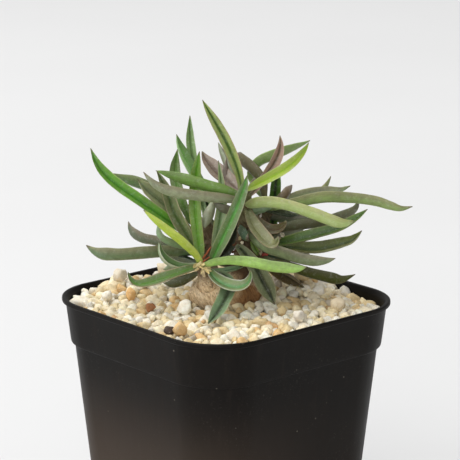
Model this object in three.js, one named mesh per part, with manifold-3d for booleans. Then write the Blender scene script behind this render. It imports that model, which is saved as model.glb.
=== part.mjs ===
// Potted caudiciform euphorbia in a square nursery pot.
// Millimetres, +Z up. X and Y run along the pot's sides; the origin is the
// centre of the pot's underside.
import * as THREE from 'three';
import Module from 'manifold-3d';
import { mergeVertices } from 'three/addons/utils/BufferGeometryUtils.js';

// ---------------------------------------------------------------- dimensions
const POT_H = 72;              // overall height of the pot
const RIM_HALF = 37.5;         // half the width across the rolled lip
const CORNER_RATIO = 0.44;     // corner radius over half-width, at every height
const LIP_W = 1.0;             // width of the rolled lip
const COLLAR_H = 13;           // height of the straight collar under the lip
const COLLAR_TOP = 36.65;      // half-width of the collar under the lip
const COLLAR_BOTTOM = 35.54;   // half-width of the collar at its lower edge
const BODY_TOP = 34.71;        // half-width of the tapered body at the step
const TAPER = 0.0908;          // inward lean of the body wall, mm per mm
const COLLAR_WALL = 0.8;       // wall thickness of the collar
const BODY_WALL = 1.0;         // wall thickness of the body
const FLOOR_T = 1.6;           // thickness of the pot's floor
const DRAIN_R = 3.2;           // radius of each drain hole
const DRAIN_AT = 12.5;         // distance of each drain hole from the middle, along X and Y
const GAP = 0.3;               // clearance between pieces that touch
const SIDE_STEPS = [0, 0.5, 1];// stations along each half of a straight side
const ARC_STEPS = 8;           // facets round each corner

const MIX_TOP = 62;            // top of the potting mix
const GRAVEL_EDGE = -1.5;      // gravel level at the wall, from the rim plane
const CAUDEX_AT = [1.67, 1.46];// centre of the swollen base
const CAUDEX_RX = 10.2;               // its half-lengths, before its turn
const CAUDEX_RY = 8.9;
const CAUDEX_RZ = 6.4;
const CAUDEX_TURN = -0.71904;  // turn of the swollen base about Z, radians
const CAUDEX_FOOT = -4.2;      // underside of the swollen base, from the rim plane
const CAUDEX_POCKET = 0.4;     // clearance of its seat in the gravel

// Branch centre lines: [x, y, z, radius]
const BRANCHES = {
  front: [[-2.15, 2.55, 71.94, 3.2], [-5.06, 0.44, 76.41, 2.7], [-7.79, -0.62, 79.73, 2.2], [-9.36, -0.97, 82.53, 1.8], [-9.66, -1.11, 83.90, 1.1]],
  centre: [[2.74, -0.41, 71.06, 3.4], [2.93, -2.30, 78.14, 2.7], [3.37, -3.48, 85.54, 2.3], [3.38, -4.29, 92.59, 2.1], [2.95, -4.98, 98.51, 2], [2.78, -4.96, 101.66, 1.6], [2.69, -4.88, 103.22, 0.9]],
  back_left: [[0.56, 4.82, 70.64, 3], [-0.10, 6.20, 76.93, 2.4], [-0.44, 7.30, 83.48, 2.1], [-0.62, 7.72, 88.67, 2], [-0.65, 7.88, 92.12, 1.6], [-0.69, 7.91, 93.86, 0.9]],
  right: [[5.13, -0.24, 74.10, 2.8], [7.11, -2.24, 79.41, 2.3], [8.40, -4.16, 83.06, 2], [9.60, -5.75, 85.78, 1.6], [10.20, -6.54, 87.13, 0.9]],
  back_right: [[5.74, 0.02, 77.15, 2.5], [8.86, -1.11, 84.70, 2.1], [11.29, -2.17, 90.89, 2], [12.64, -2.96, 95.16, 1.6], [13.23, -3.34, 97.44, 0.9]],
};

// Leaves, shoot by shoot: [name, colour, stations from base to point]
const LEAVES = [
  ['leaf_front_01', 'fresh', [
    [-9.33, -0.33, 84.59, 0.79, -0.69, -0.72, 0.09], [-9.55, 0.23, 88.15, 1.38, -0.69, -0.71, 0.09], [-9.4, 1.17, 92.24, 1.52, -0.69, -0.67, 0.29], [-8.85, 2.49, 96.52, 1.6, -0.69, -0.68, 0.25], [-8.48, 3.25, 100.94, 1.6, -0.71, -0.7, 0.11],
    [-8.11, 3.35, 105.13, 1.51, -0.72, -0.69, 0.05], [-7.88, 3.18, 108.72, 1.24, -0.73, -0.68, 0], [-7.56, 2.9, 111.7, 0.74, -0.73, -0.68, 0.02], [-7.27, 2.64, 114.07, 0.11, -0.74, -0.68, 0.02]]],
  ['leaf_front_02', 'lime', [
    [-10.76, -1.36, 84.55, 1.2, 0.8, -0.04, 0.59], [-12.42, -1.54, 86.8, 1.52, 0.76, 0.05, 0.65], [-14.73, -1.3, 89.1, 1.69, 0.71, 0.13, 0.7], [-17.21, -0.78, 91.52, 1.79, 0.7, 0.15, 0.69], [-19.69, 0.09, 93.84, 1.77, 0.7, 0.17, 0.69],
    [-22.02, 0.97, 95.96, 1.55, 0.7, 0.17, 0.69], [-23.98, 1.77, 97.8, 1.18, 0.72, 0.16, 0.68], [-25.59, 2.43, 99.36, 0.69, 0.73, 0.14, 0.67], [-26.86, 2.92, 100.65, 0.17, 0.73, 0.14, 0.67]]],
  ['leaf_front_03', 'mid', [
    [-11.6, -0.32, 82.53, 1.08, -0.17, -0.43, 0.89], [-16.64, 1.5, 81.52, 1.55, -0.41, -0.34, 0.85], [-19.37, 2.85, 80.64, 1.7, -0.46, -0.32, 0.83], [-22.11, 4.18, 79.8, 1.67, -0.4, -0.36, 0.84],
    [-24.71, 5.45, 79.22, 1.44, -0.35, -0.41, 0.84], [-26.82, 6.8, 79.35, 1.1, -0.13, -0.63, 0.77], [-27.87, 7.93, 80.7, 0.65, 0.05, -0.89, 0.45], [-28.05, 8.61, 82.23, 0.16, 0.05, -0.9, 0.42]]],
  ['leaf_front_04', 'mid', [
    [-10.41, 1.43, 82.57, 0.94, -0.29, -0.08, 0.95], [-11.58, 2.59, 82.36, 1.15, -0.19, -0.15, 0.97], [-13.22, 3.61, 82.52, 1.39, 0.04, -0.31, 0.95], [-14.88, 4.71, 83.13, 1.63, 0.19, -0.42, 0.89], [-16.36, 5.66, 84.23, 1.74, 0.37, -0.58, 0.73],
    [-17.48, 6.28, 85.68, 1.51, 0.49, -0.73, 0.48], [-18.15, 6.51, 87.18, 1.07, 0.53, -0.83, 0.19], [-18.46, 6.45, 88.54, 0.58, 0.52, -0.85, 0.03], [-18.67, 6.38, 89.62, 0.18, 0.54, -0.84, 0.08]]],
  ['leaf_front_05', 'darkg', [
    [-9.68, 1.54, 79.85, 0.84, 0.68, 0.6, 0.42], [-10.13, 2.51, 79.18, 1.09, 0.69, 0.6, 0.41], [-10.68, 3.65, 78.44, 1.3, 0.69, 0.6, 0.39], [-11.32, 4.88, 77.69, 1.46, 0.71, 0.59, 0.38], [-11.95, 6.14, 77, 1.5, 0.74, 0.55, 0.39],
    [-12.52, 7.36, 76.44, 1.41, 0.78, 0.53, 0.34], [-13.17, 8.41, 76.22, 1.07, 0.78, 0.57, 0.24], [-13.81, 9.23, 76.29, 0.57, 0.77, 0.6, 0.22], [-14.33, 9.89, 76.37, 0.16, 0.78, 0.58, 0.23]]],
  ['leaf_front_06', 'fresh', [
    [-9.59, -3.14, 83.64, 1.18, 0.29, 0.45, 0.85], [-8.72, -6.36, 85.01, 1.63, 0.38, 0.41, 0.83], [-7.01, -10.13, 85.82, 1.88, 0.5, 0.32, 0.81], [-5.26, -14.28, 86.01, 2.14, 0.56, 0.27, 0.79], [-3.15, -18.28, 85.79, 2.3, 0.61, 0.23, 0.76],
    [-1.24, -22.02, 85.41, 2.29, 0.57, 0.26, 0.78], [0.43, -25.23, 85.36, 2.04, 0.54, 0.3, 0.79], [1.93, -27.82, 85.55, 1.41, 0.41, 0.41, 0.81], [3.01, -29.88, 86.18, 0.21, 0.37, 0.45, 0.81]]],
  ['leaf_front_07', 'grey', [
    [-9.06, -3.56, 81.85, 1.03, -0.06, -0.57, 0.82], [-9.05, -5.33, 80.71, 1.56, -0.11, -0.46, 0.88], [-8.89, -7.62, 79.82, 1.89, -0.24, -0.29, 0.93], [-8.61, -10.18, 79.3, 2.05, -0.36, -0.2, 0.91], [-7.78, -12.65, 79.08, 1.98, -0.45, -0.27, 0.85],
    [-6.25, -14.49, 79.48, 1.58, -0.65, -0.16, 0.74], [-5.27, -15.68, 80.86, 1.07, -0.97, 0, 0.25], [-5.11, -16.23, 82.51, 0.6, -1, -0.07, -0.06], [-5.28, -16.38, 83.89, 0.13, -0.99, -0.1, -0.13]]],
  ['leaf_front_08', 'teal', [
    [-6.94, -3.07, 80.89, 0.63, -0.77, -0.64, -0.09], [-5.52, -5.52, 80.24, 1.18, -0.9, -0.43, 0.12], [-6.04, -8.23, 78.27, 1.83, -0.58, -0.12, 0.81], [-8.65, -10.58, 76.77, 2.07, -0.25, -0.2, 0.95], [-11.7, -12.61, 75.65, 2.05, -0.17, -0.27, 0.95],
    [-14.62, -14.36, 74.55, 1.92, -0.19, -0.32, 0.93], [-17.21, -15.65, 73.53, 1.58, -0.17, -0.39, 0.91], [-19.45, -16.56, 72.72, 0.87, -0.14, -0.43, 0.89], [-21.27, -17.27, 72.1, 0.23, -0.15, -0.42, 0.89]]],
  ['leaf_front_09', 'brown', [
    [-8.92, 0.43, 84.05, 0.65, -0.63, -0.7, 0.33], [-9.41, 1.9, 86.96, 1.13, -0.61, -0.76, 0.2], [-10.65, 3.43, 90.28, 1.47, -0.57, -0.82, 0.11], [-12.11, 5, 93.83, 1.7, -0.58, -0.8, 0.13], [-13.39, 6.4, 97.51, 1.77, -0.58, -0.81, 0.09],
    [-14.19, 7.37, 101.17, 1.65, -0.6, -0.8, 0.09], [-14.89, 8.25, 104.29, 1.22, -0.59, -0.8, 0.1], [-15.66, 9.18, 106.77, 0.67, -0.59, -0.8, 0.13], [-16.32, 10.04, 108.7, 0.14, -0.59, -0.79, 0.15]]],
  ['leaf_front_10', 'mid', [
    [-8, -2.69, 83.86, 0.84, -0.87, -0.44, -0.23], [-7.49, -4.26, 86.64, 1.39, -0.79, -0.59, -0.17], [-6.86, -5.86, 90.01, 1.66, -0.77, -0.63, -0.09], [-5.88, -7.26, 93.68, 1.73, -0.75, -0.67, -0.02], [-4.79, -8.46, 97.4, 1.71, -0.73, -0.69, 0.03],
    [-3.67, -9.35, 100.9, 1.59, -0.7, -0.71, 0.08], [-2.66, -9.91, 103.93, 1.31, -0.69, -0.71, 0.11], [-1.84, -10.24, 106.48, 0.82, -0.67, -0.73, 0.15], [-1.29, -10.3, 108.57, 0.11, -0.67, -0.73, 0.15]]],
  ['leaf_front_11', 'grey', [
    [-7.22, -1.74, 83.62, 0.59, -0.7, -0.71, 0], [-6.09, -2.4, 86.75, 0.97, -0.58, -0.79, 0.18], [-5.01, -2.19, 90.64, 1.44, -0.57, -0.79, 0.23], [-3.59, -1.74, 94.7, 1.55, -0.54, -0.78, 0.32], [-2.07, -0.76, 98.62, 1.36, -0.52, -0.75, 0.41],
    [-0.98, 0.47, 102.31, 1.04, -0.55, -0.75, 0.37], [-0.34, 1.6, 105.52, 0.75, -0.55, -0.73, 0.41], [0.11, 2.67, 108.16, 0.42, -0.56, -0.74, 0.37], [0.4, 3.52, 110.29, 0.11, -0.56, -0.74, 0.37]]],
  ['leaf_centre_01', 'freshpink', [
    [1.67, -4.78, 103.51, 0.88, -0.57, -0.81, -0.15], [0.92, -4.86, 106.78, 1.07, -0.55, -0.82, -0.12], [-0.18, -4.6, 110.52, 1.33, -0.53, -0.84, -0.09], [-1.64, -4.01, 114.41, 1.51, -0.52, -0.85, -0.04], [-3.22, -3.17, 118.21, 1.52, -0.51, -0.86, -0.03],
    [-4.83, -2.24, 121.65, 1.36, -0.53, -0.85, 0.03], [-6.17, -1.27, 124.57, 1.08, -0.52, -0.85, 0.03], [-7.34, -0.49, 126.99, 0.61, -0.52, -0.86, 0.01], [-8.26, 0.05, 128.96, 0.11, -0.52, -0.86, -0.01]]],
  ['leaf_centre_02', 'lime2', [
    [2.73, -6.23, 103.58, 0.6, -0.97, 0.15, 0.18], [3.32, -8.47, 104.98, 1.21, -0.93, -0.17, 0.34], [4.6, -10.91, 106.59, 1.44, -0.88, -0.25, 0.41], [6.19, -13.41, 108.33, 1.51, -0.86, -0.28, 0.42], [7.8, -15.77, 110.22, 1.51, -0.88, -0.27, 0.38],
    [9.2, -17.8, 112.25, 1.36, -0.91, -0.27, 0.32], [10.29, -19.34, 114.24, 1.06, -0.93, -0.27, 0.26], [11.06, -20.42, 116.1, 0.63, -0.94, -0.28, 0.18], [11.55, -21.14, 117.71, 0.12, -0.95, -0.28, 0.16]]],
  ['leaf_centre_03', 'purple', [
    [2.2, -3.23, 102.73, 0.88, -0.29, -0.36, 0.88], [2.29, -1.12, 103.57, 1.38, -0.29, -0.32, 0.9], [2.46, 1.36, 104.53, 1.82, -0.29, -0.35, 0.89], [2.47, 3.98, 105.62, 2.13, -0.32, -0.39, 0.87], [2.35, 6.57, 106.8, 2.17, -0.27, -0.42, 0.87],
    [2.47, 8.96, 107.96, 1.88, -0.24, -0.41, 0.88], [2.68, 11.01, 108.94, 1.42, -0.21, -0.42, 0.89], [2.95, 12.61, 109.91, 0.8, -0.11, -0.58, 0.8], [3.24, 13.78, 110.84, 0.16, -0.1, -0.59, 0.8]]],
  ['leaf_centre_04', 'darkg', [
    [3.51, -2.81, 101.29, 0.42, 0.5, 0.34, -0.8], [4.23, -0.71, 102.56, 0.73, 0.47, 0.33, -0.82], [5.04, 1.7, 104.11, 1.01, 0.48, 0.4, -0.78], [5.75, 4.15, 106.03, 1.13, 0.49, 0.46, -0.74], [6.5, 6.6, 107.93, 1.09, 0.47, 0.41, -0.78],
    [7.35, 8.96, 109.55, 0.93, 0.47, 0.36, -0.81], [8.11, 11.03, 110.83, 0.71, 0.44, 0.31, -0.84], [8.92, 12.77, 111.75, 0.41, 0.37, 0.24, -0.9], [9.63, 14.17, 112.42, 0.12, 0.38, 0.25, -0.89]]],
  ['leaf_centre_05', 'green', [
    [0.41, -5.38, 101.82, 1.26, 0.49, 0.34, 0.8], [-2.16, -4.59, 103.04, 1.92, 0.49, 0.35, 0.8], [-5.06, -3.24, 104.28, 2.35, 0.51, 0.35, 0.78], [-8, -1.35, 105.43, 2.35, 0.54, 0.34, 0.77], [-10.8, 0.78, 106.52, 2.35, 0.56, 0.32, 0.76],
    [-13.36, 2.85, 107.5, 2.14, 0.55, 0.33, 0.77], [-15.52, 4.67, 108.34, 1.59, 0.58, 0.3, 0.75], [-17.27, 6.23, 109.09, 0.88, 0.58, 0.31, 0.76], [-18.64, 7.54, 109.58, 0.17, 0.57, 0.31, 0.76]]],
  ['leaf_centre_06', 'brown', [
    [0.69, -5.97, 100.61, 0.68, -0.25, 0.64, 0.73], [-2.74, -5.67, 101.48, 1.57, 0.33, 0.47, 0.82], [-6.72, -4.35, 102.31, 2.01, 0.34, 0.48, 0.81], [-10.85, -2.55, 103.12, 2.21, 0.38, 0.45, 0.81], [-14.79, -0.36, 103.93, 2.26, 0.43, 0.41, 0.81],
    [-18.32, 1.82, 104.92, 2.13, 0.5, 0.34, 0.8], [-21.07, 3.71, 106.41, 1.67, 0.68, 0.16, 0.71], [-22.92, 5.16, 108.33, 0.98, 0.82, 0, 0.57], [-24.11, 6.22, 110.19, 0.17, 0.83, -0.02, 0.55]]],
  ['leaf_centre_07', 'pinkgrey', [
    [1.76, -7.43, 97.78, 1.05, -0.2, -0.64, 0.74], [1.24, -8.8, 96.45, 1.48, -0.22, -0.63, 0.75], [0.9, -10.5, 94.94, 1.84, -0.25, -0.61, 0.75], [0.75, -12.43, 93.41, 2.06, -0.29, -0.56, 0.78], [0.78, -14.48, 92.03, 2.08, -0.3, -0.52, 0.8],
    [0.95, -16.49, 90.92, 1.87, -0.36, -0.44, 0.82], [1.33, -18.34, 90.54, 1.39, -0.76, -0.04, 0.65], [1.65, -19.48, 91.59, 0.79, -0.99, -0.12, 0.07], [1.78, -19.89, 92.83, 0.25, -0.99, -0.11, 0.07]]],
  ['leaf_centre_08', 'brown', [
    [0.02, -4.74, 97.37, 0.97, 0.33, 0.53, 0.78], [-0.89, -4.52, 97.58, 1.29, 0.3, 0.55, 0.78], [-1.95, -4.27, 97.85, 1.61, 0.38, 0.49, 0.79], [-3.02, -3.87, 98.23, 1.8, 0.5, 0.41, 0.76], [-4.01, -3.41, 98.72, 1.74, 0.57, 0.34, 0.75],
    [-4.9, -3.03, 99.29, 1.42, 0.63, 0.28, 0.72], [-5.61, -2.71, 99.85, 0.99, 0.7, 0.21, 0.68], [-6.16, -2.42, 100.36, 0.53, 0.72, 0.19, 0.66], [-6.6, -2.19, 100.77, 0.16, 0.71, 0.2, 0.67]]],
  ['leaf_centre_09', 'olive', [
    [2.32, -7.35, 99.44, 1.48, 0.29, 0.38, 0.88], [2.71, -10.9, 100.75, 2.34, 0.43, 0.31, 0.85], [4.21, -15.04, 101.29, 2.35, 0.54, 0.26, 0.8], [6.3, -19.31, 100.86, 2.35, 0.63, 0.16, 0.76], [8.38, -23.48, 99.8, 2.35, 0.67, 0.13, 0.73],
    [10.46, -27.23, 98.59, 2.35, 0.66, 0.14, 0.74], [12.36, -30.39, 97.58, 2.35, 0.63, 0.19, 0.76], [14.13, -32.99, 97.21, 1.65, 0.39, 0.43, 0.81], [15.64, -34.95, 97.81, 0.21, 0.32, 0.49, 0.81]]],
  ['leaf_centre_10', 'greenbrown', [
    [3.67, -7.34, 90.26, 2.01, 0.89, -0.15, 0.43], [4.32, -9.72, 88.61, 2.2, 0.82, -0.04, 0.57], [5.59, -12.64, 87.3, 2.35, 0.68, 0.14, 0.72], [7.49, -15.71, 86.44, 2.35, 0.64, 0.2, 0.74], [9.7, -18.53, 85.47, 2.35, 0.6, 0.25, 0.76],
    [11.82, -21.2, 84.87, 2.35, 0.53, 0.32, 0.79], [13.69, -23.5, 84.73, 1.95, 0.47, 0.38, 0.8], [15.24, -25.41, 84.97, 1.11, 0.32, 0.52, 0.79], [16.52, -26.82, 85.49, 0.17, 0.29, 0.54, 0.79]]],
  ['leaf_centre_11', 'teal', [
    [5.24, -5.76, 96.96, 1.4, 0.18, 0.61, 0.77], [5.86, -6.02, 96.97, 1.54, 0.28, 0.57, 0.77], [6.49, -6.45, 97.04, 1.55, 0.29, 0.57, 0.77], [7.23, -6.82, 97.09, 1.4, 0.2, 0.62, 0.76], [8.02, -7.08, 97.12, 1.18, 0.16, 0.64, 0.75],
    [8.77, -7.29, 97.16, 0.91, 0.14, 0.65, 0.75], [9.4, -7.47, 97.2, 0.62, 0.14, 0.65, 0.74], [9.94, -7.62, 97.23, 0.36, 0.14, 0.65, 0.74], [10.36, -7.74, 97.26, 0.17, 0.14, 0.65, 0.75]]],
  ['leaf_centre_12', 'purple', [
    [4.66, -6.94, 95.25, 0.96, -0.17, -0.78, 0.6], [5.28, -7.74, 94.31, 1.18, -0.15, -0.8, 0.58], [6.05, -8.72, 93.29, 1.38, -0.2, -0.74, 0.64], [6.83, -9.97, 92.43, 1.52, -0.38, -0.5, 0.78], [7.59, -11.5, 92.22, 1.49, -0.61, -0.24, 0.75],
    [8.24, -12.9, 92.62, 1.33, -0.84, -0.07, 0.54], [8.7, -13.92, 93.42, 1.06, -0.93, -0.04, 0.37], [8.97, -14.59, 94.3, 0.64, -0.99, -0.07, 0.15], [9.12, -15.03, 95.1, 0.22, -0.98, -0.06, 0.18]]],
  ['leaf_centre_13', 'teal', [
    [0.95, -5.7, 91.9, 1.65, 0.82, -0.41, 0.4], [0.7, -6.23, 91.86, 1.77, 0.83, -0.4, 0.4], [0.44, -6.87, 91.8, 1.9, 0.84, -0.37, 0.4], [0.23, -7.56, 91.65, 2.07, 0.86, -0.29, 0.42], [0.18, -8.24, 91.37, 2.2, 0.87, -0.24, 0.44],
    [0.06, -8.88, 91.16, 2.01, 0.85, -0.33, 0.41], [-0.12, -9.43, 91.06, 1.66, 0.84, -0.37, 0.4], [-0.29, -9.89, 91, 1.36, 0.84, -0.37, 0.4], [-0.43, -10.26, 90.95, 1.15, 0.84, -0.38, 0.4]]],
  ['leaf_centre_14', 'purple', [
    [4.76, -5.75, 101.99, 0.56, -0.56, -0.8, 0.21], [6.42, -6, 103.61, 0.87, -0.43, -0.82, 0.38], [8.38, -6.11, 105.49, 1.1, -0.4, -0.82, 0.4], [10.56, -6.14, 107.43, 1.3, -0.37, -0.82, 0.44], [12.75, -6.02, 109.36, 1.42, -0.37, -0.8, 0.47],
    [14.52, -5.69, 111.4, 1.34, -0.42, -0.76, 0.49], [15.77, -5.13, 113.28, 0.98, -0.47, -0.71, 0.52], [16.51, -4.39, 114.92, 0.52, -0.53, -0.66, 0.54], [16.96, -3.68, 116.23, 0.11, -0.53, -0.66, 0.53]]],
  ['leaf_back_left_01', 'green', [
    [0.26, 9.09, 94.62, 0.81, -0.62, -0.54, 0.57], [0.79, 11.39, 97.44, 0.84, -0.62, -0.54, 0.57], [1.53, 13.98, 100.81, 0.95, -0.6, -0.59, 0.54], [2.55, 16.35, 104.66, 1.02, -0.58, -0.6, 0.55], [4, 18.9, 108.24, 1.11, -0.52, -0.52, 0.68],
    [5.58, 21.46, 111.29, 1.12, -0.49, -0.48, 0.73], [7.08, 23.58, 113.91, 0.92, -0.51, -0.59, 0.63], [8.24, 24.97, 116.39, 0.51, -0.54, -0.64, 0.54], [9.07, 25.95, 118.46, 0.11, -0.54, -0.64, 0.54]]],
  ['leaf_back_left_02', 'green', [
    [-0.1, 7.48, 94.92, 0.71, 0.03, -0.81, -0.59], [0.72, 6.55, 97.42, 1.21, 0.33, -0.69, 0.64], [0.59, 9.2, 100.14, 1.75, 0.33, -0.67, 0.67], [0.59, 12.11, 102.99, 2.12, 0.33, -0.66, 0.68], [0.7, 15.04, 105.82, 2.28, 0.34, -0.66, 0.67],
    [0.97, 17.81, 108.41, 2.14, 0.35, -0.66, 0.67], [1.27, 20.18, 110.63, 1.74, 0.35, -0.67, 0.65], [1.51, 21.96, 112.66, 1.03, 0.38, -0.78, 0.5], [1.67, 23.12, 114.48, 0.17, 0.38, -0.79, 0.48]]],
  ['leaf_back_left_03', 'fresh', [
    [-2.62, 8.54, 91.93, 0.46, -0.26, -0.97, 0.02], [-4.94, 9.41, 92.99, 0.78, -0.75, -0.64, 0.17], [-5.61, 10.84, 96.15, 1.1, -0.75, -0.63, 0.19], [-5.53, 13.01, 99.2, 1.34, -0.74, -0.38, 0.56], [-4.58, 15.61, 101.79, 1.47, -0.68, -0.37, 0.64],
    [-3.45, 17.73, 104.37, 1.48, -0.64, -0.45, 0.62], [-2.19, 19.07, 106.77, 1.23, -0.66, -0.57, 0.49], [-1.35, 19.59, 109.09, 0.65, -0.71, -0.61, 0.34], [-0.72, 19.9, 110.98, 0.11, -0.71, -0.61, 0.35]]],
  ['leaf_back_left_04', 'fresh', [
    [-3.14, 6.49, 87.03, 0.61, 0.46, -0.88, 0.12], [-7.27, 7.24, 89.88, 1.13, -0.12, -0.95, 0.27], [-11.89, 8.9, 93.49, 1.38, -0.13, -0.95, 0.27], [-16.65, 10.97, 97.46, 1.54, -0.19, -0.93, 0.32], [-21.21, 13.44, 101.42, 1.61, -0.22, -0.91, 0.34],
    [-25.36, 15.9, 105.15, 1.6, -0.23, -0.91, 0.34], [-28.58, 17.92, 108.72, 1.41, -0.23, -0.94, 0.27], [-30.56, 19.21, 112.36, 0.85, -0.24, -0.96, 0.15], [-31.57, 19.92, 115.61, 0.12, -0.24, -0.96, 0.14]]],
  ['leaf_back_left_05', 'darkg', [
    [-1.71, 8.95, 93.4, 0.72, 0.76, 0.05, 0.65], [-2.97, 11.57, 95.19, 1.37, 0.82, -0.06, 0.57], [-4.19, 15.16, 96.96, 1.79, 0.78, 0.03, 0.62], [-6.33, 18.51, 99.07, 2.18, 0.73, 0.1, 0.67], [-8.4, 22.12, 100.76, 2.35, 0.72, 0.09, 0.69],
    [-10, 25.86, 101.79, 2.35, 0.68, 0.13, 0.73], [-11.61, 28.98, 102.56, 1.82, 0.64, 0.18, 0.75], [-13.18, 31.44, 103.26, 0.97, 0.62, 0.2, 0.75], [-14.54, 33.32, 103.86, 0.18, 0.62, 0.2, 0.75]]],
  ['leaf_back_left_06', 'brown', [
    [-3.48, 8.22, 87.67, 0.68, 0.03, -0.95, 0.32], [-5.41, 8.93, 89.81, 1.03, -0.04, -0.95, 0.3], [-7.51, 9.83, 92.43, 1.45, -0.03, -0.96, 0.28], [-9.73, 10.74, 95.26, 1.83, -0.03, -0.96, 0.28], [-12.02, 11.62, 98.05, 2.1, -0.03, -0.95, 0.3],
    [-14.25, 12.61, 100.52, 2.22, -0.07, -0.93, 0.37], [-16.16, 13.73, 102.51, 1.99, -0.11, -0.89, 0.44], [-17.58, 14.72, 104.27, 1.13, -0.12, -0.9, 0.41], [-18.65, 15.53, 105.73, 0.16, -0.12, -0.9, 0.41]]],
  ['leaf_back_left_07', 'greybrown', [
    [-2.95, 8.24, 84.93, 0.81, -0.07, 0.7, 0.71], [-5.18, 9.49, 84.87, 1.33, 0.56, 0.27, 0.79], [-6.95, 12.45, 85.12, 1.85, 0.62, 0.23, 0.76], [-8.55, 15.75, 85.74, 2.11, 0.67, 0.15, 0.73], [-9.78, 19.21, 86.25, 2.15, 0.65, 0.15, 0.75],
    [-10.86, 22.5, 86.37, 2.2, 0.67, 0.13, 0.73], [-11.73, 25.25, 87.08, 1.94, 0.82, -0.02, 0.57], [-12.12, 27.19, 88.52, 1.08, 0.95, -0.19, 0.25], [-12.26, 28.01, 90.31, 0.18, 0.96, -0.22, 0.17]]],
  ['leaf_back_left_08', 'darkgbrown', [
    [-2.99, 6.55, 84.27, 0.75, -0.21, 0.62, 0.75], [-6.72, 7.01, 84.89, 1.59, 0.38, 0.38, 0.85], [-11.18, 8.94, 85.52, 2.35, 0.25, 0.47, 0.85], [-16.2, 10.39, 85.96, 2.35, 0.2, 0.51, 0.84], [-21.11, 12.24, 86, 2.35, 0.22, 0.5, 0.84],
    [-25.53, 14.36, 86.06, 2.35, 0.27, 0.47, 0.84], [-29.23, 16.33, 86.32, 2.35, 0.34, 0.42, 0.84], [-32.09, 18.05, 87.24, 1.44, 0.63, 0.16, 0.76], [-34.08, 19.2, 88.84, 0.23, 0.66, 0.13, 0.74]]],
  ['leaf_back_left_09', 'grey', [
    [-3.4, 6.07, 85.93, 0.6, -0.1, 0.58, 0.81], [-5.55, 4.85, 86.44, 0.81, -0.09, 0.56, 0.82], [-8.33, 4.46, 87.06, 1.11, 0.24, 0.5, 0.83], [-11.25, 5.45, 87.66, 1.5, 0.37, 0.36, 0.85], [-14.15, 5.67, 88.86, 1.7, 0.41, 0.23, 0.88],
    [-16.72, 5.58, 90.28, 1.74, 0.56, 0.06, 0.83], [-18.65, 5.5, 91.89, 1.66, 0.74, -0.17, 0.65], [-19.64, 5.25, 93.7, 1.03, 0.88, -0.44, 0.19], [-20.09, 4.96, 95.29, 0.24, 0.87, -0.45, 0.2]]],
  ['leaf_back_left_10', 'greybrown', [
    [-0.9, 6.93, 94.97, 0.51, 0.69, 0.58, 0.42], [-0.78, 5.78, 96.77, 0.4, 0.68, 0.67, 0.29], [-0.47, 4.6, 98.88, 0.46, 0.68, 0.66, 0.31], [-0.76, 3.04, 100.48, 0.55, 0.26, 0.45, -0.83], [-2.47, 2.7, 98.52, 0.91, 0.55, 0.6, -0.57],
    [-4.06, 2.15, 96.74, 1.39, 0.53, 0.58, -0.62], [-5.34, 1.73, 95.16, 1.41, 0.57, 0.58, -0.58], [-6.34, 1.33, 93.7, 0.86, 0.62, 0.58, -0.52], [-7.04, 1.06, 92.6, 0.17, 0.62, 0.58, -0.53]]],
  ['leaf_right_01', 'deep', [
    [10.06, -8.14, 86.75, 0.93, -0.7, -0.08, 0.71], [11.71, -11.01, 88.01, 1.48, -0.66, -0.12, 0.74], [13.92, -14.29, 89.19, 1.7, -0.62, -0.16, 0.76], [16.38, -17.72, 90.5, 1.75, -0.65, -0.14, 0.75], [18.91, -21.09, 91.86, 1.7, -0.62, -0.18, 0.77],
    [21.27, -24.14, 93.32, 1.55, -0.69, -0.12, 0.71], [23.23, -26.46, 95.13, 1.31, -0.76, -0.08, 0.64], [24.71, -28.33, 96.87, 0.77, -0.8, -0.05, 0.59], [25.88, -29.7, 98.39, 0.13, -0.81, -0.05, 0.58]]],
  ['leaf_right_02', 'brown', [
    [10.54, -6.01, 88.25, 0.73, -0.5, 0.73, -0.46], [12.65, -7.17, 90.38, 1.73, 0.03, 0.7, 0.72], [15.8, -9.46, 91.66, 2.17, 0.2, 0.57, 0.8], [19.21, -12.17, 92.29, 2.35, 0.3, 0.48, 0.82], [22.46, -15.08, 92.88, 2.35, 0.27, 0.51, 0.82],
    [25.3, -17.86, 93.9, 2.31, 0.19, 0.57, 0.8], [27.58, -20.16, 95.26, 1.97, 0.08, 0.67, 0.74], [29.13, -21.8, 97.11, 1.22, -0.19, 0.84, 0.5], [29.65, -22.5, 99.28, 0.18, -0.31, 0.89, 0.34]]],
  ['leaf_right_03', 'deepbrown', [
    [11.08, -7.04, 85.05, 0.94, -0.49, -0.1, 0.87], [13.13, -9.32, 85.94, 1.47, -0.42, -0.15, 0.89], [15.63, -12.09, 86.1, 1.88, -0.27, -0.28, 0.92], [18.29, -15.07, 85.9, 2.2, -0.32, -0.24, 0.92], [20.85, -18.1, 86.38, 2.22, -0.45, -0.12, 0.89],
    [23.17, -20.87, 87.32, 1.96, -0.49, -0.08, 0.87], [25.08, -23.25, 88.29, 1.58, -0.54, -0.04, 0.84], [26.46, -24.97, 89.73, 0.91, -0.8, 0.13, 0.59], [27.37, -26.09, 91.31, 0.18, -0.8, 0.14, 0.58]]],
  ['leaf_right_04', 'deep', [
    [9.95, -6.31, 82.46, 1.43, 0.55, 0.24, 0.8], [12.42, -7.88, 81.39, 1.75, 0.51, 0.3, 0.81], [15.26, -9.81, 80.21, 1.91, 0.53, 0.27, 0.8], [18.2, -12, 78.87, 2.21, 0.56, 0.25, 0.79], [21.05, -14.42, 77.77, 2.35, 0.53, 0.28, 0.8],
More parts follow.
